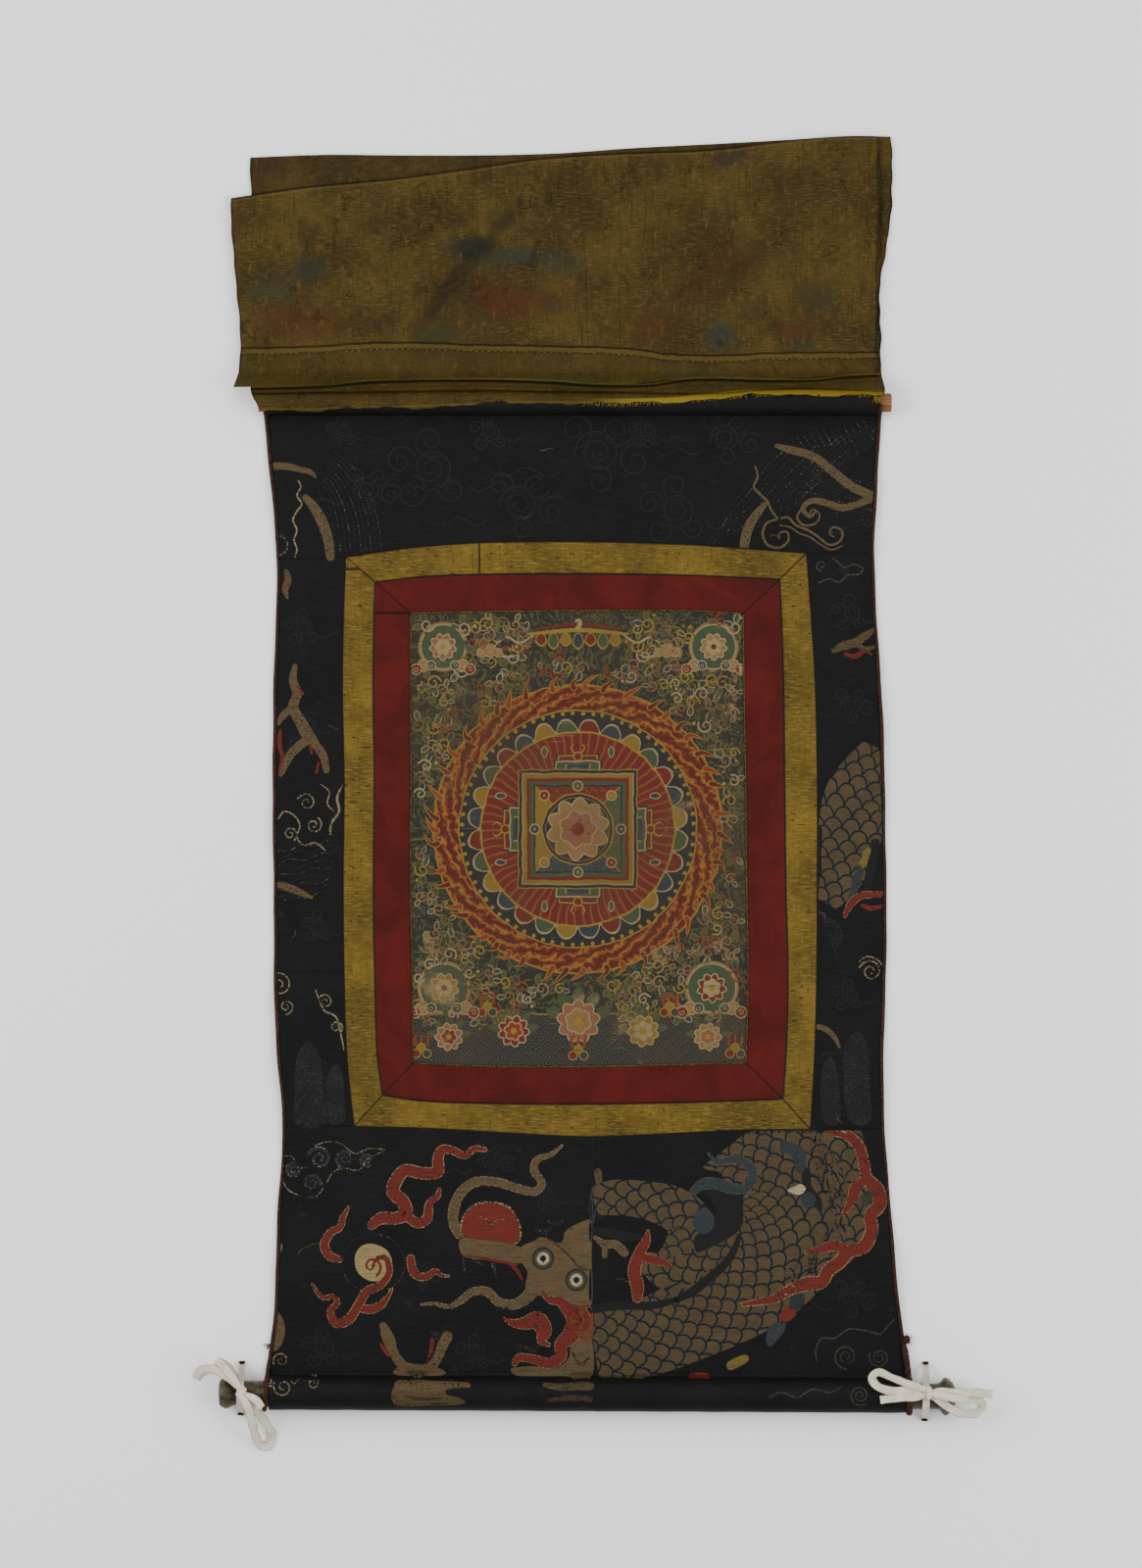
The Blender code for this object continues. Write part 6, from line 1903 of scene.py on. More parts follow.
waterLines(7, 3, "slate", "slate", 0.6, lambda k, n, t: (
    (836 + 3 * k, 930 + 2 * k, 2), (844 + 2.5 * k, 948 + k, 3), (852 + k, 972 - 2 * k, 2),
)[n])
spiral(upper, "pale", 888, 991, 12, 1.7, 200, 1.7, worn=0.4, layer=2)
draw(upper,
    ("band", "pale", 2, 0.4, 876, 982, 1, 884, 976, 1.6, 896, 980, 1.6, 903, 990, 1.4),
    ("band", "beige", 2, 0.3, 832, 1047, 5, 842, 1050, 6, 851, 1058, 5, 856, 1068, 3),
    ("patch", "slate", 1, 0.6, 862, 1068, 874, 1052, 884, 1066, 886, 1100, 888, 1143, 866, 1143, 860, 1100),
    ("patch", "slate", 1, 0.62, 838, 1096, 846, 1078, 854, 1092, 857, 1143, 839, 1143),
)
for k in range(9):
    y = 1076 + 8 * k
    band(upper, "dim", 838, y, 0.9, 860, y - 2, 0.9, 888, y + 1, 0.9, worn=0.6, layer=2)

# left side
draw(upper,
    ("band", "gold", 1, 0.3, 292, 583, 5, 294, 592, 7, 291, 601, 7, 293, 610, 3),
    ("edged", "beige gold", 1, 0.4, 301, 680, 5, 299, 694, 8, 303, 708, 9, 299, 722, 10, 306, 735, 11, 313,
     748, 12, 322, 760, 9, 330, 772, 8, 333, 786, 6),
    ("edged", "beige gold", 1, 0.3, 298, 722, 6, 289, 730, 7, 284, 738, 4),
    ("edged", "beige gold", 1, 0.3, 312, 756, 9, 302, 764, 9, 294, 774, 8, 287, 790, 5),
    ("band", "red", 3, 0.3, 303, 700, 2, 309, 708, 3),
    ("band", "red", 3, 0.3, 286, 745, 3, 285, 758, 5, 288, 772, 4, 285, 786, 2),
    ("band", "red", 3, 0.3, 325, 778, 2, 323, 788, 3),
    ("band", "red", 3, 0.3, 316, 760, 3, 318, 768, 3),
)
scrolls(upper, "pale", 1.6, 1.5, (
    (313, 819, 10, 200, 1), (296, 851, 8, 60, -1), (320, 842, 9, 300, 1), (285, 1005, 13, 250, 1),
    (292, 1027, 8, 90, -1), (332, 1022, 8, 200, 1), (343, 1048, 7, 40, -1),
), worn=0.42, layer=2)
draw(upper,
    ("band", "pale", 2, 0.42, 284, 836, 1.2, 290, 828, 1.6, 300, 832, 1.6, 306, 842, 1.6, 303, 854, 1.6,
     310, 862, 1.6, 322, 860, 1.6, 332, 868, 1.2),
    ("band", "pale", 2, 0.4, 350, 800, 1.5, 344, 814, 2.4, 346, 828, 2.4, 338, 840, 2.4, 337, 852, 1.5),
    ("band", "pale", 2, 0.42, 327, 800, 1.2, 336, 808, 1.6, 334, 820, 1.6, 341, 828, 1.2),
    ("band", "beige", 2, 0.3, 279, 902, 6, 292, 905, 8, 305, 910, 7, 318, 916, 3),
)
waterLines(9, 6, "dim", "silver", 0.64, lambda k, n, t: (
    283 + 56 * t + 1.5 * math.sin(n + k), 868 + 6.5 * k - 10 * t + 2.6 * math.sin(n * 2.2 + k), 0.9,
))
draw(upper,
    ("band", "pale", 2, 0.4, 322, 1010, 1.2, 330, 1030, 1.8, 343, 1038, 1.8, 348, 1056, 1.8, 351, 1072,
     1.2),
    ("patch", "slate", 1, 0.6, 303, 1078, 315, 1062, 327, 1080, 330, 1112, 332, 1147, 302, 1147, 301, 1110),
    ("patch", "slate", 1, 0.6, 333, 1100, 343, 1086, 350, 1100, 352, 1130, 352, 1144, 334, 1144),
)
for k in range(9):
    y = 1084 + 7.5 * k
    band(upper, "dim", 302, y, 0.9, 318, y - 4, 0.9, 334, y + 1, 0.9, worn=0.55, layer=2)

# damask clouds of the ground, black on black


def damaskCloud(x, y, size, turn):
    # lobes round a centre, each an arc that curls in on itself, and a trailing end
    for k, (share, reach) in enumerate(((0.62, 0.0), (0.5, 0.75), (0.44, 0.7), (0.5, 0.8), (0.4, 0.72))):
        a, winds = math.radians(72 * k + 20 * turn), turn if k % 2 else -turn
        middle = x + turn * size * reach * 1.25 * math.cos(a), y - size * reach * math.sin(a)
        start, turns = 150 - math.degrees(a), 1.5 if k else 2.2
        spiral(ground, "damask", *middle, size * share, turns, start, 1.9, turn=winds, worn=0.0)
    tail = ruled(7, lambda n, t: (
        x + turn * size * (1.0 + 0.3 * n), y + size * (0.5 + 0.13 * math.sin(n * 1.7)), 2.0 - 0.2 * n,
    ))
    band(ground, "damask", *tail, worn=0.0)


ground = newStore(brocadeSurface, onBrocade)
for x, y, size, turn in (
    (440, 478, 38, 1), (530, 515, 34, -1), (610, 462, 40, -1), (690, 520, 32, 1), (740, 448, 26, -1),
    (375, 500, 24, -1), (350, 440, 15, 1), (500, 440, 18, 1), (660, 440, 16, 1), (310, 640, 17, 1),
    (325, 945, 15, 1), (868, 625, 17, 1), (868, 720, 18, -1), (866, 1015, 15, 1), (330, 1375, 19, 1),
    (500, 1185, 20, -1), (868, 1325, 20, -1), (485, 1380, 17, 1), (430, 1300, 15, -1), (560, 1220, 13, 1),
    (316, 740, 13, 1),
):
    damaskCloud(x, y, size, turn)
for name, store, material in (
    ("dragonAndFlames", lower, figureMaterial), ("wavesAndClouds", upper, figureMaterial),
    ("scaledBody", coils, scaleMaterial), ("scaledBodyAtSide", sideCoil, scaleMaterial),
    ("damaskClouds", ground, figureMaterial),
):
    piece = finishStore(name, store, material)
    print("woven", name, len(piece.data.polygons))


# the painting: a mandala, a canopy, peonies, jewels and water

# The painted cloth carries the ground and the mandala's rings; figures stand on it as paint.
# The mandala's middle in layout mm, and the outer radii of its rings and half sizes of its square.
mandala = {
    "middle": (589.5, 846.0), "flames": 147.0, "girdle": 121.0, "petals": 115.0, "disc": 99.0,
    "square": 58.0, "heart": 34.0, "petalCount": 28, "rayCount": 66,
}
paintColours = {
    "ground": "161b19", "groundLeaf": "2e3a26", "groundGold": "58471f", "flame": "642811",
    "flameDark": "43120f", "flameGold": "76551f", "navy": "121a1e", "cream": "7b6b49", "crimson": "511612",
    "ray": "6b3a20", "green": "2d3b28", "ochre": "65501c", "blue": "1c2a30", "gold": "735c20",
    "pink": "69422f", "tan": "6b5130",
}


takeUp(canvasMaterial)
place = uvPlace()
tremor = put("ShaderNodeTexNoise", {"Vector": place, "Scale": 70.0, "Detail": 2.0}).outputs[1]
tremor = vectors("MULTIPLY", vectors("SUBTRACT", tremor, (0.5, 0.5, 0.5)), (0.004, 0.004, 0.0))
drawn = vectors("ADD", place, tremor)
parts = parted(drawn)
acrossM = ratio(minus(parts[0], (mandala["middle"][0] - layoutOrigin[0]) * mm), mm)
upM = ratio(minus(parts[1], (layoutOrigin[1] - mandala["middle"][1]) * mm), mm)
radius, angle = apart(acrossM, upM), bearing(upM, acrossM)


def within(value, limit, soft=0.35):
    return ramp(value, limit - soft, limit + soft, 1.0, 0.0)


def lineAt(value, limit, half=0.7):
    return within(absolute(minus(value, limit)), half)


def both(*shares):
    return shares[0] if len(shares) == 1 else times(both(*shares[:-1]), shares[-1])


def curls(scale, warp, detail, rough=0.5):
    # a noise folded into level lines that curl
    return pingPong(times(cloudNoise(drawn, scale, detail, rough, warp=warp), 9.0), 1.0)


# layers from the ground up: where each lies and its colour
leaves = curls(42.0, 2.4, 2.0)
layers = [
    (ramp(leaves, 0.55, 0.75, 0, 0.85), "groundLeaf"), (ramp(leaves, 0.9, 0.97, 0, 0.8), "groundGold")
]
# ring of fire with curling gold lines
turn = timesPlus(cloudNoise(drawn, 90.0, 1.0, 0.4, warp=1.5), 9.0, times(angle, 22.0))
flicker, fire = sine(timesPlus(radius, 0.55, turn)), within(radius, mandala["flames"], 1.5)
layers += [
    (fire, "flameDark"), (both(fire, ramp(flicker, -0.5, 0.1)), "flame"),
    (both(fire, ramp(flicker, 0.72, 0.9, 0, 0.9)), "flameGold"),
    (lineAt(radius, mandala["flames"], 1.0), "flameGold"),
]
# dark girdle with gold studs
studMiddle = (mandala["girdle"] + mandala["petals"]) / 2
stud = apart(times(minus(fraction(times(angle, 72 / math.tau)), 0.5), 10.6), minus(radius, studMiddle))
layers += [
    (within(radius, mandala["girdle"]), "navy"), (within(stud, 2.1, 0.3), "gold"),
    (lineAt(radius, mandala["girdle"]), "gold"),
]
# ring of petals in four colours
petalTurn = times(plus(angle, math.pi), mandala["petalCount"] / math.tau)
offMiddle = times(absolute(minus(fraction(petalTurn), 0.5)), 2.0)
tip = timesPlus(power(offMiddle, 2.4), mandala["disc"] - mandala["petals"] + 4.0, mandala["petals"] - 2.0)
petalRing, fromTip = within(radius, mandala["petals"]), minus(radius, tip)
inner = both(ramp(fromTip, -2.4, -1.7, 1.0, 0.0), within(offMiddle, 0.86, 0.03))
kind = modulo(wholePart(petalTurn), 4.0)
layers += [(petalRing, "navy"), (both(petalRing, ramp(fromTip, -0.4, 0.4, 1.0, 0.0)), "cream")]
for number, name in enumerate(("crimson", "green", "ochre", "blue")):
    layers.append((both(inner, lineAt(kind, float(number), 0.4)), name))
# crimson disc with gold rays
disc = within(radius, mandala["disc"])
bend = timesPlus(sine(times(radius, 0.16)), 0.8, times(angle, mandala["rayCount"]))
layers += [
    (disc, "crimson"), (both(disc, ramp(sine(bend), 0.55, 0.85, 0, 0.8)), "ray"),
    (lineAt(radius, mandala["disc"], 1.0), "gold"),
]
# square palace with a gate in each side
absAcross, absUp = absolute(acrossM), absolute(upM)
long, short, side = greater(absAcross, absUp), lesser(absAcross, absUp), mandala["square"]
for reach, wide, name in (
    (19, 22.0, "navy"), (18, 20.5, "gold"), (16.5, 19.0, "crimson"), (13, 24.0, "navy"),
    (12, 22.5, "cream"), (10.5, 21.0, "green"), (8, 13.0, "gold"), (8, 11.5, "blue"),
):
    layers.append((both(within(long, side + reach), within(short, wide)), name))
for reach, name in (
    (3, "gold"), (2, "navy"), (-1, "cream"), (-2, "ochre"), (-6, "crimson"), (-9.5, "green"), (-13, "navy"),
):
    layers.append((within(long, side + reach), name))
floorShare = within(long, side - 14.5)
offDiagonal = minus(absUp, absAcross)
field = blend(ramp(upM, -0.1, 0.1), paintColours["blue"], paintColours["crimson"])
flank = blend(ramp(acrossM, -0.1, 0.1), paintColours["ochre"], paintColours["green"])
inHeart, heart = within(radius, mandala["heart"] + 1.6), mandala["heart"]
layers += [
    (floorShare, blend(ramp(offDiagonal, -0.3, 0.3), flank, field)),
    (both(floorShare, ramp(curls(120.0, 1.8, 1.0, 0.4), 0.86, 0.95, 0, 0.6)), "gold"),
    (both(floorShare, within(absolute(offDiagonal), 0.8)), "gold"), (within(radius, heart + 3), "gold"),
    (inHeart, "navy"), (both(inHeart, lineAt(radius, heart - 1.5, 0.5)), "pink"),
]
# water below, parted from the rest by a line
fromFoot = ratio(minus(parts[1], -0.2245), mm)
rowStep = ratio(fromFoot, 6.5)
rowNumber = wholePart(rowStep)
shiftedX = timesPlus(modulo(plus(rowNumber, 40.0), 2.0), 0.5, ratio(parts[0], 15.0 * mm))
cellX = times(minus(fraction(plus(shiftedX, 40.0)), 0.5), 2.0)
crests = sine(times(apart(cellX, minus(rowStep, rowNumber)), 17.0))
waterColour = blend(ramp(crests, 0.2, 0.8, 0, 0.6), paintColours["navy"], paintColours["blue"])
waterColour = blend(ramp(crests, 0.88, 0.98, 0, 0.5), waterColour, paintColours["cream"])
layers += [(ramp(fromFoot, -0.6, 0.6, 1.0, 0.0), waterColour), (lineAt(fromFoot, 0.0, 0.8), "tan")]
colour = blend(ramp(cloudNoise(place, 30.0), 0.4, 0.65), paintColours["ground"], paintColours["navy"])
for share, name in layers:
    colour = blend(share, colour, paintColours[name] if isinstance(name, str) else name)


def aged(
    place, colour, crackShare, bareFrom, bareTo, bareShare, bareColour, smokeFrom, smokeTo, paleCracks
):
    # wear over paint: fine level cracks, rubbed threads, bare patches and smoke
    cracks, grit = cloudNoise(place, 330.0, 3.0, 0.6, (0.06, 1, 1)), cloudNoise(place, 600.0, 2.0, 0.7)
    colour = wash(colour, "16120c", cracks, 0.62, 0.7, 0, crackShare)
    if paleCracks:
        colour = wash(colour, "7a6844", cracks, 0.36, 0.28, 0, 0.45)
    bare = plus(cloudNoise(place, 16.0, 5.0, 0.68), times(grit, 0.35))
    colour = wash(colour, bareColour, bare, bareFrom, bareTo, 0, bareShare)
    relief(plus(grit, cracks), 0.00012)
    return wash(colour, "3d2f1c", cloudNoise(place, 9.0, 3.0, 0.6), 0.4, 0.7, smokeFrom, smokeTo)


finishWithPaintedShade(aged(place, colour, 0.4, 0.8, 0.87, 0.7, "6d5a38", 0.2, 0.5, True))
# paint laid on: the same wear over each stroke's own colour
paintMaterial, place = newFinish("mineralPaint", 0.7, specular=0.15), uvPlace()
thread = put("ShaderNodeVertexColor", layer_name="thread").outputs[0]
feed("Base Color", aged(place, thread, 0.45, 0.74, 0.84, 0.8, "6f5e3e", 0.15, 0.45, False))


def paintedTop(x, y):
    return swell(x, y) + uneven(x, y) + cloth["paintingThick"]


paint = newStore(landing([painting], paintedTop), onPainting, proud=0.06, rise=0.035, sink=0.3)
middleX, middleY = mandala["middle"]


def about(x, y, reach, facing, aside=0.0):
    # the place that lies at a reach from another one, facing in degrees
    ux, uy = math.cos(math.radians(facing)), math.sin(math.radians(facing))
    return x + ux * reach - uy * aside, y + uy * reach + ux * aside


def petalShape(x, y, facing, inner, outer, wide):
    # an outline that swells from inner to outer along one direction
    side = ((0, 0.35), (0.3, 0.85), (0.62, 1.0), (0.86, 0.62), (1.0, 0.0))
    outline = [*side, *((t, -w) for t, w in side[-2::-1])]
    places = [about(x, y, between(inner, outer, t), facing, w * wide / 2) for t, w in outline]
    return [number for place in places for number in place]


def dab(colour, numbers, layer):
    patchShape(paint, paintColours[colour], *numbers, layer=layer, worn=0.0)


def brush(colour, *numbers, layer=3, **more):
    band(paint, paintColours[colour], *numbers, layer=layer, worn=0.0, step=1.8, **more)


def curl(colour, x, y, radius, turns, start, width, turn, layer):
    spiral(paint, paintColours[colour], x, y, radius, turns, start, width, turn=turn, layer=layer, worn=0.0)


def bloom(x, y, size, petals, outside, inside, heart, layer=3, phase=0.0):
    # an open flower of two rounds of parted petals on a dark ground, edged in a paler colour
    dab("navy", ringShape(x, y, size * 0.92), layer - 1)
    for count, far, near, body, level in (
        (petals, size, size * 0.3, outside, layer),
        (petals - 3, size * 0.62, size * 0.1, inside, layer + 2),
    ):
        for k in range(count):
            facing = 360 * k / count + phase + (180 / count if level > layer else 0)
            wide = math.tau * far / count * 0.8
            dab("cream", petalShape(x, y, facing, near, far, wide), level)
            dab(body, petalShape(x, y, facing, near, far - 1.4, wide - 2.6), level + 1)
    dab(heart, ringShape(x, y, size * 0.2), layer + 4)


def roundel(x, y, size, flower, heart):
    # a green disc in a dark and a pale ring, with a flower and curling clouds beneath
    for radius, colour, level in ((size + 3.5, "tan", 1), (size + 1.2, "cream", 2), (size, "green", 3)):
        dab(colour, ringShape(x, y, radius, 16), level)
    bloom(x, y, size * 0.66, 9, flower, "cream", heart, layer=5, phase=x)
    for n in (-1, 1):
        for k, (reach, colour) in enumerate(((0.9, "tan"), (1.25, "crimson"), (0.55, "blue"))):
            cx, cy, r = x + n * size * reach, y + size * (0.86 + 0.18 * (k % 2)), size * (0.3 - 0.03 * k)
            dab("cream", ringShape(cx, cy, r), 6 + k)
            dab(colour, ringShape(cx, cy, r - 1.2), 7 + k)
            curl("cream", cx, cy, r * 0.55, 1.2, 200, 0.9, n, 8 + k)


def cloudPuff(x, y, size, colour, edge, flip=1, layer=3):
    # a cloud of three curls with a trailing end
    for dx, dy, r in ((0, 0, 1.0), (-1.25, 0.25, 0.75), (1.2, 0.3, 0.7)):
        at = x + dx * size * flip, y + dy * size
        dab(edge, ringShape(*at, size * r), layer)
        dab(colour, ringShape(*at, size * r - 0.9), layer + 1)
        curl(edge, *at, size * r * 0.62, 1.2, 200, 0.8, flip, layer + 2)
    tail = ((1.6, 0.7, 3.0), (2.8, 0.95, 2.2), (4.0, 0.6, 0.8))
    brush(
        edge, *(v for dx, dy, wide in tail for v in (x + dx * size * flip, y + dy * size, wide)),
        layer=layer
    )


# lotus at the heart, buds round it and a pot at each gate
bloom(middleX, middleY, 33, 10, "tan", "pink", "crimson", layer=2, phase=22.5)
for k in range(8):
    x, y = about(middleX, middleY, 48.4 if k % 2 else 44, 45 * k)
    dab("cream", ringShape(x, y, 5.6), 1)
    dab(("blue", "crimson", "green", "ochre")[k % 4], ringShape(x, y, 4.4), 2)
    dab("gold", ringShape(x, y, 1.6, 6), 3)
for k in range(4):
    x, y = about(middleX, middleY, 74, 90 * k)
    dab("gold", ringShape(x, y, 5.0), 1)
    dab("crimson", ringShape(x, y, 3.7), 2)
    for n in (-1, 1):
        brush("gold", *(
            v for reach, aside, wide in ((3, 3, 1.2), (9, 7, 1.6), (13, 4, 0.6))
            for v in (*about(x, y, reach, 90 * k, n * aside), wide)
        ), layer=2)
    for n in (-1, 1):
        beside = about(middleX, middleY, 78, 90 * k, n * 34)
        dab("cream", petalShape(*beside, 90 * k, -5, 7, 7), 1)
        dab("green" if k % 2 else "blue", petalShape(*beside, 90 * k, -4, 5.6, 5), 2)
# tongues of fire outside the ring
rng = np.random.default_rng(5)
tongues = 46
for k in range(tongues):
    facing = math.tau * (k + 0.4 * rng.uniform(-1, 1)) / tongues
    length = 11 + 6 * rng.uniform(0, 1)
    numbers = ruled(5, lambda n, t: (
        *about(middleX, middleY, mandala["flames"] - 3 + length * t,
               math.degrees(facing + 0.075 * t * t + 0.012 * math.sin(4 * t + k))),
        6.5 * (1 - t) ** 0.7 + 0.5,
    ))
    brush("flameGold", *numbers, layer=1)
    numbers[2::3] = [max(w - 2.0, 0.35) for w in numbers[2::3]]
    brush("flame" if k % 2 else "flameDark", *numbers, layer=2)

# green roundels in the upper corners, and a jewelled canopy between them
roundel(452, 660, 22, "pink", "gold")
roundel(728, 660, 22, "tan", "crimson")
for x, flip in ((500, 1), (680, -1)):
    cloudPuff(x, 664, 7.0, "tan", "cream", flip, 3)
    cloudPuff(x + 4 * flip, 648, 6.0, "blue", "groundGold", -flip, 3)
for k in range(7):
    x = 552 + 12.6 * k
    long = 15 if k % 2 else 12
    dab("gold", petalShape(x, 648, 90, -2, long, 12), 2)
    dab(("crimson", "green", "ochre", "blue")[k % 4], petalShape(x, 648, 90, -1, long - 2, 9.5), 3)
brush("gold", 540, 647, 2.5, 590, 643, 4.5, 640, 647, 2.5, layer=4)
brush("crimson", 546, 642, 2.0, 590, 637, 4.0, 634, 642, 2.0, layer=5)
dab("cream", petalShape(590, 640, 270, -2, 9, 8), 5)
for n in (-1, 1):
    for colour, rows in (
        ("cream", ((46, 648, 1.6), (60, 656, 2.4), (74, 650, 2.0), (86, 660, 1.0))),
        ("flame", ((46, 651, 1.0), (58, 664, 2.0), (74, 661, 1.8), (82, 672, 0.8))),
    ):
        brush(colour, *(v for away, y, wide in rows for v in (590 + n * away, y, wide)), layer=3)

# peonies, leaves and jewels over the water
roundel(453, 1008, 24, "ochre", "crimson")
roundel(726, 1008, 24, "crimson", "gold")
for x, y, size, outside, inside in (
    (458, 1058, 15, "pink", "crimson"), (722, 1058, 15, "tan", "pink"), (524, 1052, 17, "crimson", "flame"),
    (656, 1052, 17, "ochre", "cream"), (590, 1042, 23, "pink", "tan"),
):
    for k in range(5):
        facing = 200 + 35 * k if y < 1050 else 190 + 40 * k
        dab("groundLeaf", petalShape(x, y, facing, size * 0.5, size * 1.55, size * 0.55), 1)
        near, far = about(x, y, size * 0.7, facing), about(x, y, size * 1.45, facing)
        brush("groundGold", *near, 0.8, *far, 0.5, layer=2)
    bloom(x, y, size, 9, outside, inside, "gold", layer=3, phase=x)
for x, y in ((497, 1030), (683, 1030), (430, 1072), (750, 1072), (590, 1074)):
    for n, colour in ((-1, "crimson"), (1, "blue"), (0, "ochre")):
        jewel = x + 5.5 * n, y + (3 if n else -3)
        dab("gold", ringShape(*jewel, 5.0, 8), 6)
        dab(colour, ringShape(*jewel, 3.8, 8), 7)
    for n in (-1, 0, 1):
        brush("flame", x + 6 * n, y - 6, 3.2, x + 7 * n, y - 13, 2.6, x + 5 * n + 1.5, y - 19, 0.6, layer=5)

# scrolling sprigs that fill the ground between the ring and the edges
rng = np.random.default_rng(21)
sprigs, tries = [], 0
while len(sprigs) < 150 and tries < 12000:
    tries += 1
    x, y = rng.uniform(427, 751), rng.uniform(633, 1040)
    away = math.hypot(x - middleX, y - middleY)
    if away < mandala["flames"] + 11 or (y > 1010 and 545 < x < 635) or (y < 668 and abs(x - 590) < 56):
        continue
    taken = [(*place, 27) for place in ((452, 660), (728, 660), (453, 1008), (726, 1008))]
    taken += [(*place, 11.0) for place in sprigs]
    if any(math.hypot(x - a, y - b) < room for a, b, room in taken):
        continue
    sprigs.append((x, y))
    facing, size = rng.uniform(0, 360), rng.uniform(5.2, 8.4)
    colour = ("tan", "cream", "gold", "flame", "pink", "groundGold")[int(rng.integers(0, 6))]
    for k in range(3):
        leaf = "green" if k % 2 else ("groundLeaf" if rng.random() < 0.6 else "blue")
        at = (x, y, facing + 90 + 75 * k)
        dab("groundGold" if k else "cream", petalShape(*at, size * 0.5, size * 1.9, size * 0.9), 1)
        dab(leaf, petalShape(*at, size * 0.6, size * 1.75, size * 0.62), 2)
    curl(colour, x, y, size, 1.3, facing, 1.7, 1 if rng.random() < 0.5 else -1, 4)
    if rng.random() < 0.5:
        dab(colour, ringShape(*about(x, y, size * 1.5, math.degrees(facing)), 1.7, 6), 5)
paintFigures = finishStore("paintedFigures", paint, paintMaterial)
print("painting ready", len(paintFigures.data.polygons))


# stitches, piping, frayed edges and loose threads

sewing = {
    "hem": {"pitch": 6.3, "length": 3.0, "thick": 0.75, "below": 5.6},
    "sideHem": {"pitch": 5.2, "length": 2.4, "thick": 0.6},
    "join": {"pitch": 2.6, "length": 2.3, "thick": 0.5},
    "seam": {"pitch": 4.6, "length": 2.0, "thick": 0.5},
    "fray": {"every": 0.9, "reach": (1.0, 4.2), "radius": 0.16},
    "piping": {"pitch": 3.4, "layRadius": 0.42, "strandRadius": 0.5},
}
clothSurface = landing([piece for piece, *_ in sheetRows if not piece.name.startswith("tie")], brocadeTop)


def laidLine(rows, lift, step=3.0):
    # a smooth guide through x, y places, lying on the cloth
    line = smoothLine(np.array(rows, float).reshape(-1, 2), step)
    z = clothSurface(line[:, 0], line[:, 1]) + lift
    return [tuple(p) for p in np.column_stack([line, z])]


def sew(name, lines, look, material, slot, seed, kept=0.94, lift=0.12):
    values = {"Pitch": look["pitch"], "Length": look["length"], "Thickness": look["thick"]}
    values.update({"Kept": kept, "Turn": 0.0, "Seed": seed})
    return grow(name, [laidLine(line, lift) for line in lines], stitchRun, values, material, slot)


hemThread = threadFinish("hemThread", "4f4119", "7d6a33")
darkThread = threadFinish("darkThread", "0f0b07", "22190d")
yellowThread = threadFinish("yellowThread", "5a4712", "8f7a26")
oliveThread = threadFinish("oliveThread", "33290f", "5d4d1f")

hemLine = lineOf(veilFolds, 6)
places = np.arange(-345, 276, 12.0)
hemRow = np.column_stack([places, hemLine(places) - sewing["hem"]["below"]])
sew("hemStitches", [hemRow], sewing["hem"], hemThread, "veil_silk", 3)
sideRows = [
    [(284, 670), (282, 630), (279, 570), (275, 510), (276, 447)], [(262, 447), (272, 440), (283, 436)],
]
sew("sideHemStitches", sideRows, sewing["sideHem"], darkThread, "veil_silk", 4)
# the veil's join, and an older one beside it
joinRows = [
    [(-19, 652), (-14, 610), (-8, 560), (-6, 520), (-5, 480), (-4, 456)], [(27, 512), (28, 490), (29, 458)],
]
sew("veilJoins", joinRows, sewing["join"], darkThread, "veil_silk", 6, kept=0.98)


def alongSeam(line, run, upright):
    return np.column_stack([line(run), run] if upright else [run, line(run)])


# the borders' seams are stitched in dark thread, their mitres too
seams = []
for lines, crossed, ends in (
    (uprightSeams, levelSeams, ("Foot", "Top")), (levelSeams, uprightSeams, ("Left", "Right"))
):
    for name, line in lines.items():
        part = next(part for part in ("paint", "red", "yellow") if name.startswith(part))
        low, high = (float(crossed[part + end](float(line(0)))) for end in ends)
        run = np.arange(low + 2, high - 2, 12.0)
        seams.append(alongSeam(line, run, lines is uprightSeams))
for end in ("Top", "Foot"):
    for side in ("Left", "Right"):
        for inner, outer in (("paint", "red"), ("red", "yellow")):
            seams.append(
                [crossing(uprightSeams[part + side], levelSeams[part + end]) for part in (inner, outer)]
            )
sew("seamStitches", seams, sewing["seam"], darkThread, "red_silk", 5, kept=0.9, lift=0.1)

# olive piping where the painted cloth meets the red silk
corners = [crossing(uprightSeams["paint" + side], levelSeams["paint" + end])
           for side, end in (("Left", "Foot"), ("Right", "Foot"), ("Right", "Top"), ("Left", "Top"))]
route = []
for k, name in enumerate(("paintFoot", "paintRight", "paintTop", "paintLeft")):
    upright = k % 2 == 1
    run = between(corners[k][k % 2], corners[(k + 1) % 4][k % 2], np.linspace(0.003, 0.997, 60))
    line = (uprightSeams if upright else levelSeams)[name]
    route.append(laidLine(alongSeam(line, run, upright), 0.2))
laidCord("paintingPiping", route, 2, *sewing["piping"].values(), 0.9, oliveThread, "yellow_silk")


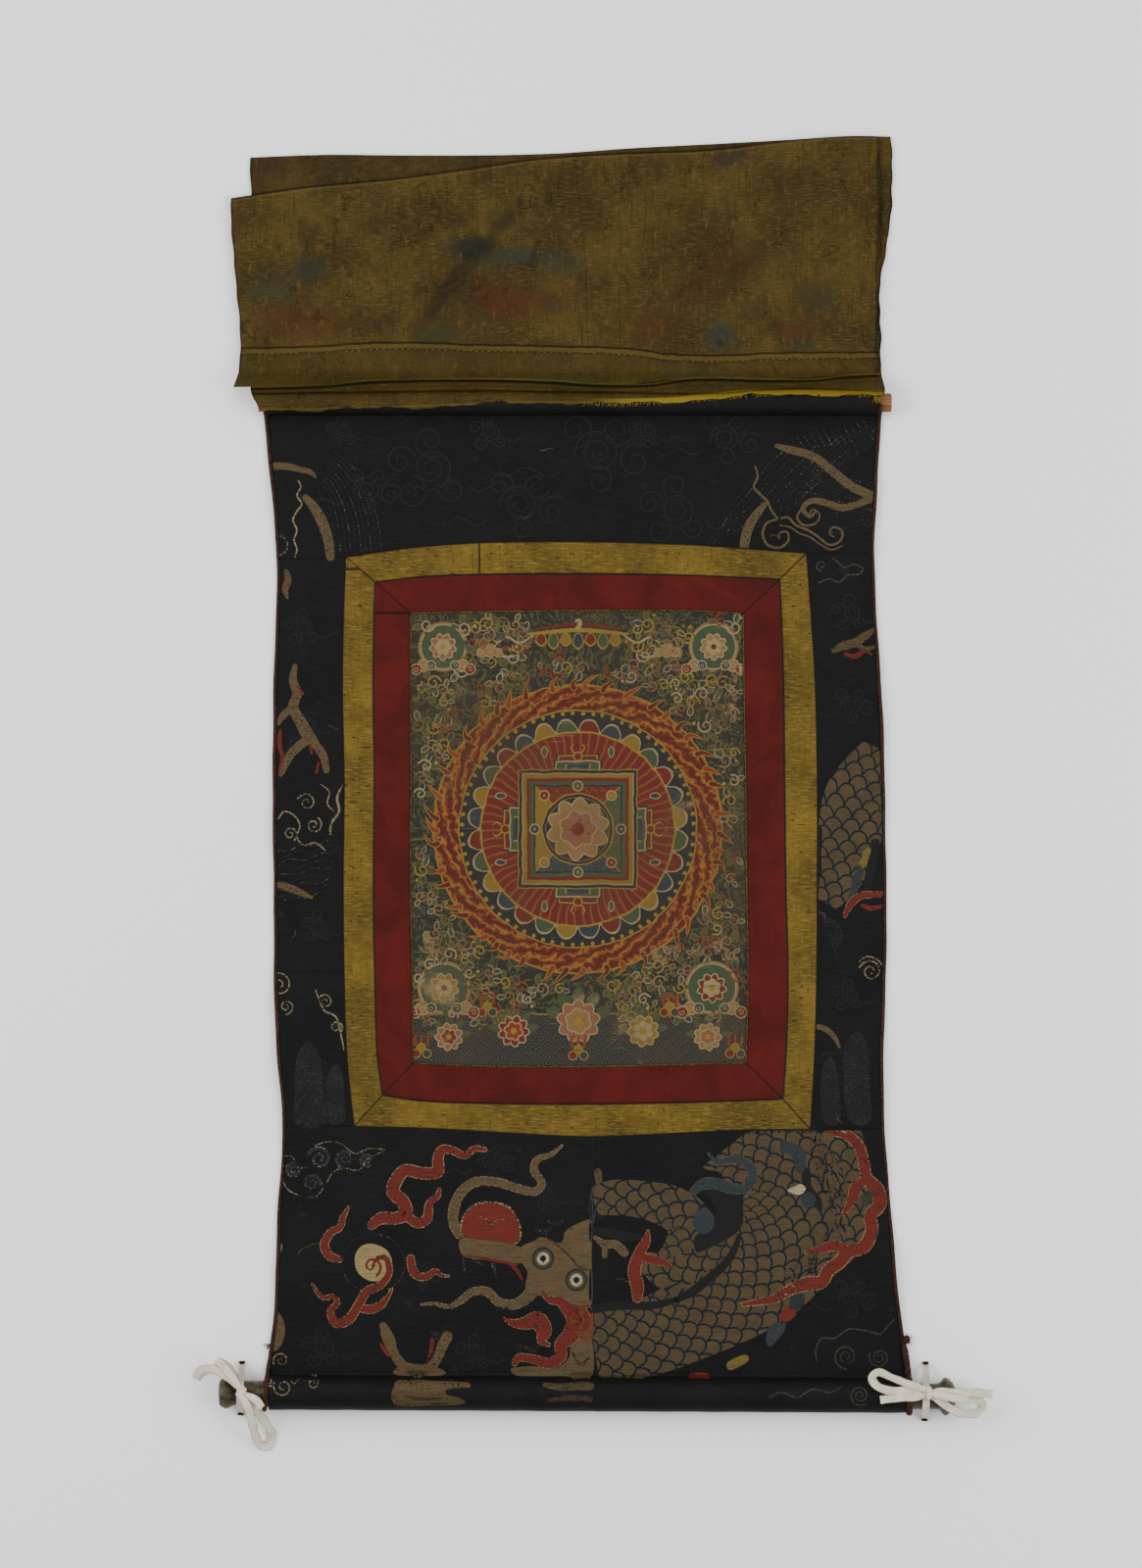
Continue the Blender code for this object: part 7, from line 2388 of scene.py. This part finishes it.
def frayed(name, line, start, stop, facing, material, slot, seed, every=None, reach=None):
    # threads that stick out of a raw edge
    rng = np.random.default_rng(seed)
    low, high = reach or sewing["fray"]["reach"]
    threads = []
    for x in np.arange(start, stop, every or sewing["fray"]["every"]):
        x = x + rng.uniform(-0.6, 0.6)
        y = float(line(x)) + rng.uniform(0.0, 1.0)
        z = float(clothSurface(x, y + 1.5)) - 0.5
        a = math.radians(facing + rng.uniform(-38, 38))
        length = rng.uniform(low, high)
        tip = (x + math.cos(a) * length, y + math.sin(a) * length, z + rng.uniform(-0.9, 0.5))
        threads.append([(x, y + 1.0, z), (between(x, tip[0], 0.5), between(y, tip[1], 0.5), z + 0.3), tip])
    return looseEnds(name, threads, sewing["fray"]["radius"], 2.4, 2.2, 0.9, material, slot)


rawEdge = lineOf(veilFolds, 1)
frayed("veilRawEdge", rawEdge, -8, 288, -90, yellowThread, "veil_silk", 31)
frayed("veilRawEdgeLeft", rawEdge, -330, -8, -90, oliveThread, "veil_silk", 32, every=2.6, reach=(0.6, 2.0))
tuft(
    "veilCornerFray", (288.0, 404.0, 25.0), 26, 8.0, -70, 55, 33, yellowThread, "veil_silk", radius=0.2,
    curl=5.0,
)

# small knots at the hem's ends and threads that came loose
for name, x, y, seed in (("hemKnotLeft", -346.0, 442.0, 41), ("hemKnotRight", 277.0, 439.0, 42)):
    z = float(clothSurface(x, y)) + 0.4
    tuft(name, (x, y, z), 9, 3.2, 20, 180, seed, oliveThread, "veil_silk", radius=0.35, curl=3.0)
rng = np.random.default_rng(17)
loose = []
for x, y, facing, length in (
    (-300, -470, 20, 26), (-258, 66, 200, 12), (182, 262, 30, 9), (-306, -146, 60, 10),
    (231, -120, -30, 11), (92, -338, 10, 12), (-40, 352, 130, 14), (250, -330, -60, 10),
    (40, -498, 170, 16), (-70, 280, 40, 10),
):
    a = math.radians(facing)
    rows = [(x, y)]
    for k in range(4):
        a += rng.uniform(-0.9, 0.9)
        rows.append((rows[-1][0] + math.cos(a) * length / 4, rows[-1][1] + math.sin(a) * length / 4))
    loose.append(laidLine(rows, 0.3, step=1.5))
looseEnds("looseThreads", loose, 0.2, 1.2, 4.0, 1.0, hemThread, "black_brocade")
# a dark twisted cord wound round each strap where it meets the surface, making dark marks at the strap ends
order = np.arange(37)
turns = math.tau * order / 9
strapEndCoils = [
    np.column_stack([x + 2.9 * np.cos(turns), y + 0.1125 * order - 2.0, 2.6 + 1.9 * np.sin(turns)])
    for tie in (leftTie, rightTie) for x, y in zip(*tie["strap"][1:])
]
laidCord("tieWhipping", strapEndCoils, 2, 3, 0.25, 0.45, 0.8, darkThread, "cotton_tape")
print("sewing done")


# the size of the whole

low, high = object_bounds()
print("whole object", [round(b - a, 4) for a, b in zip(low, high)])
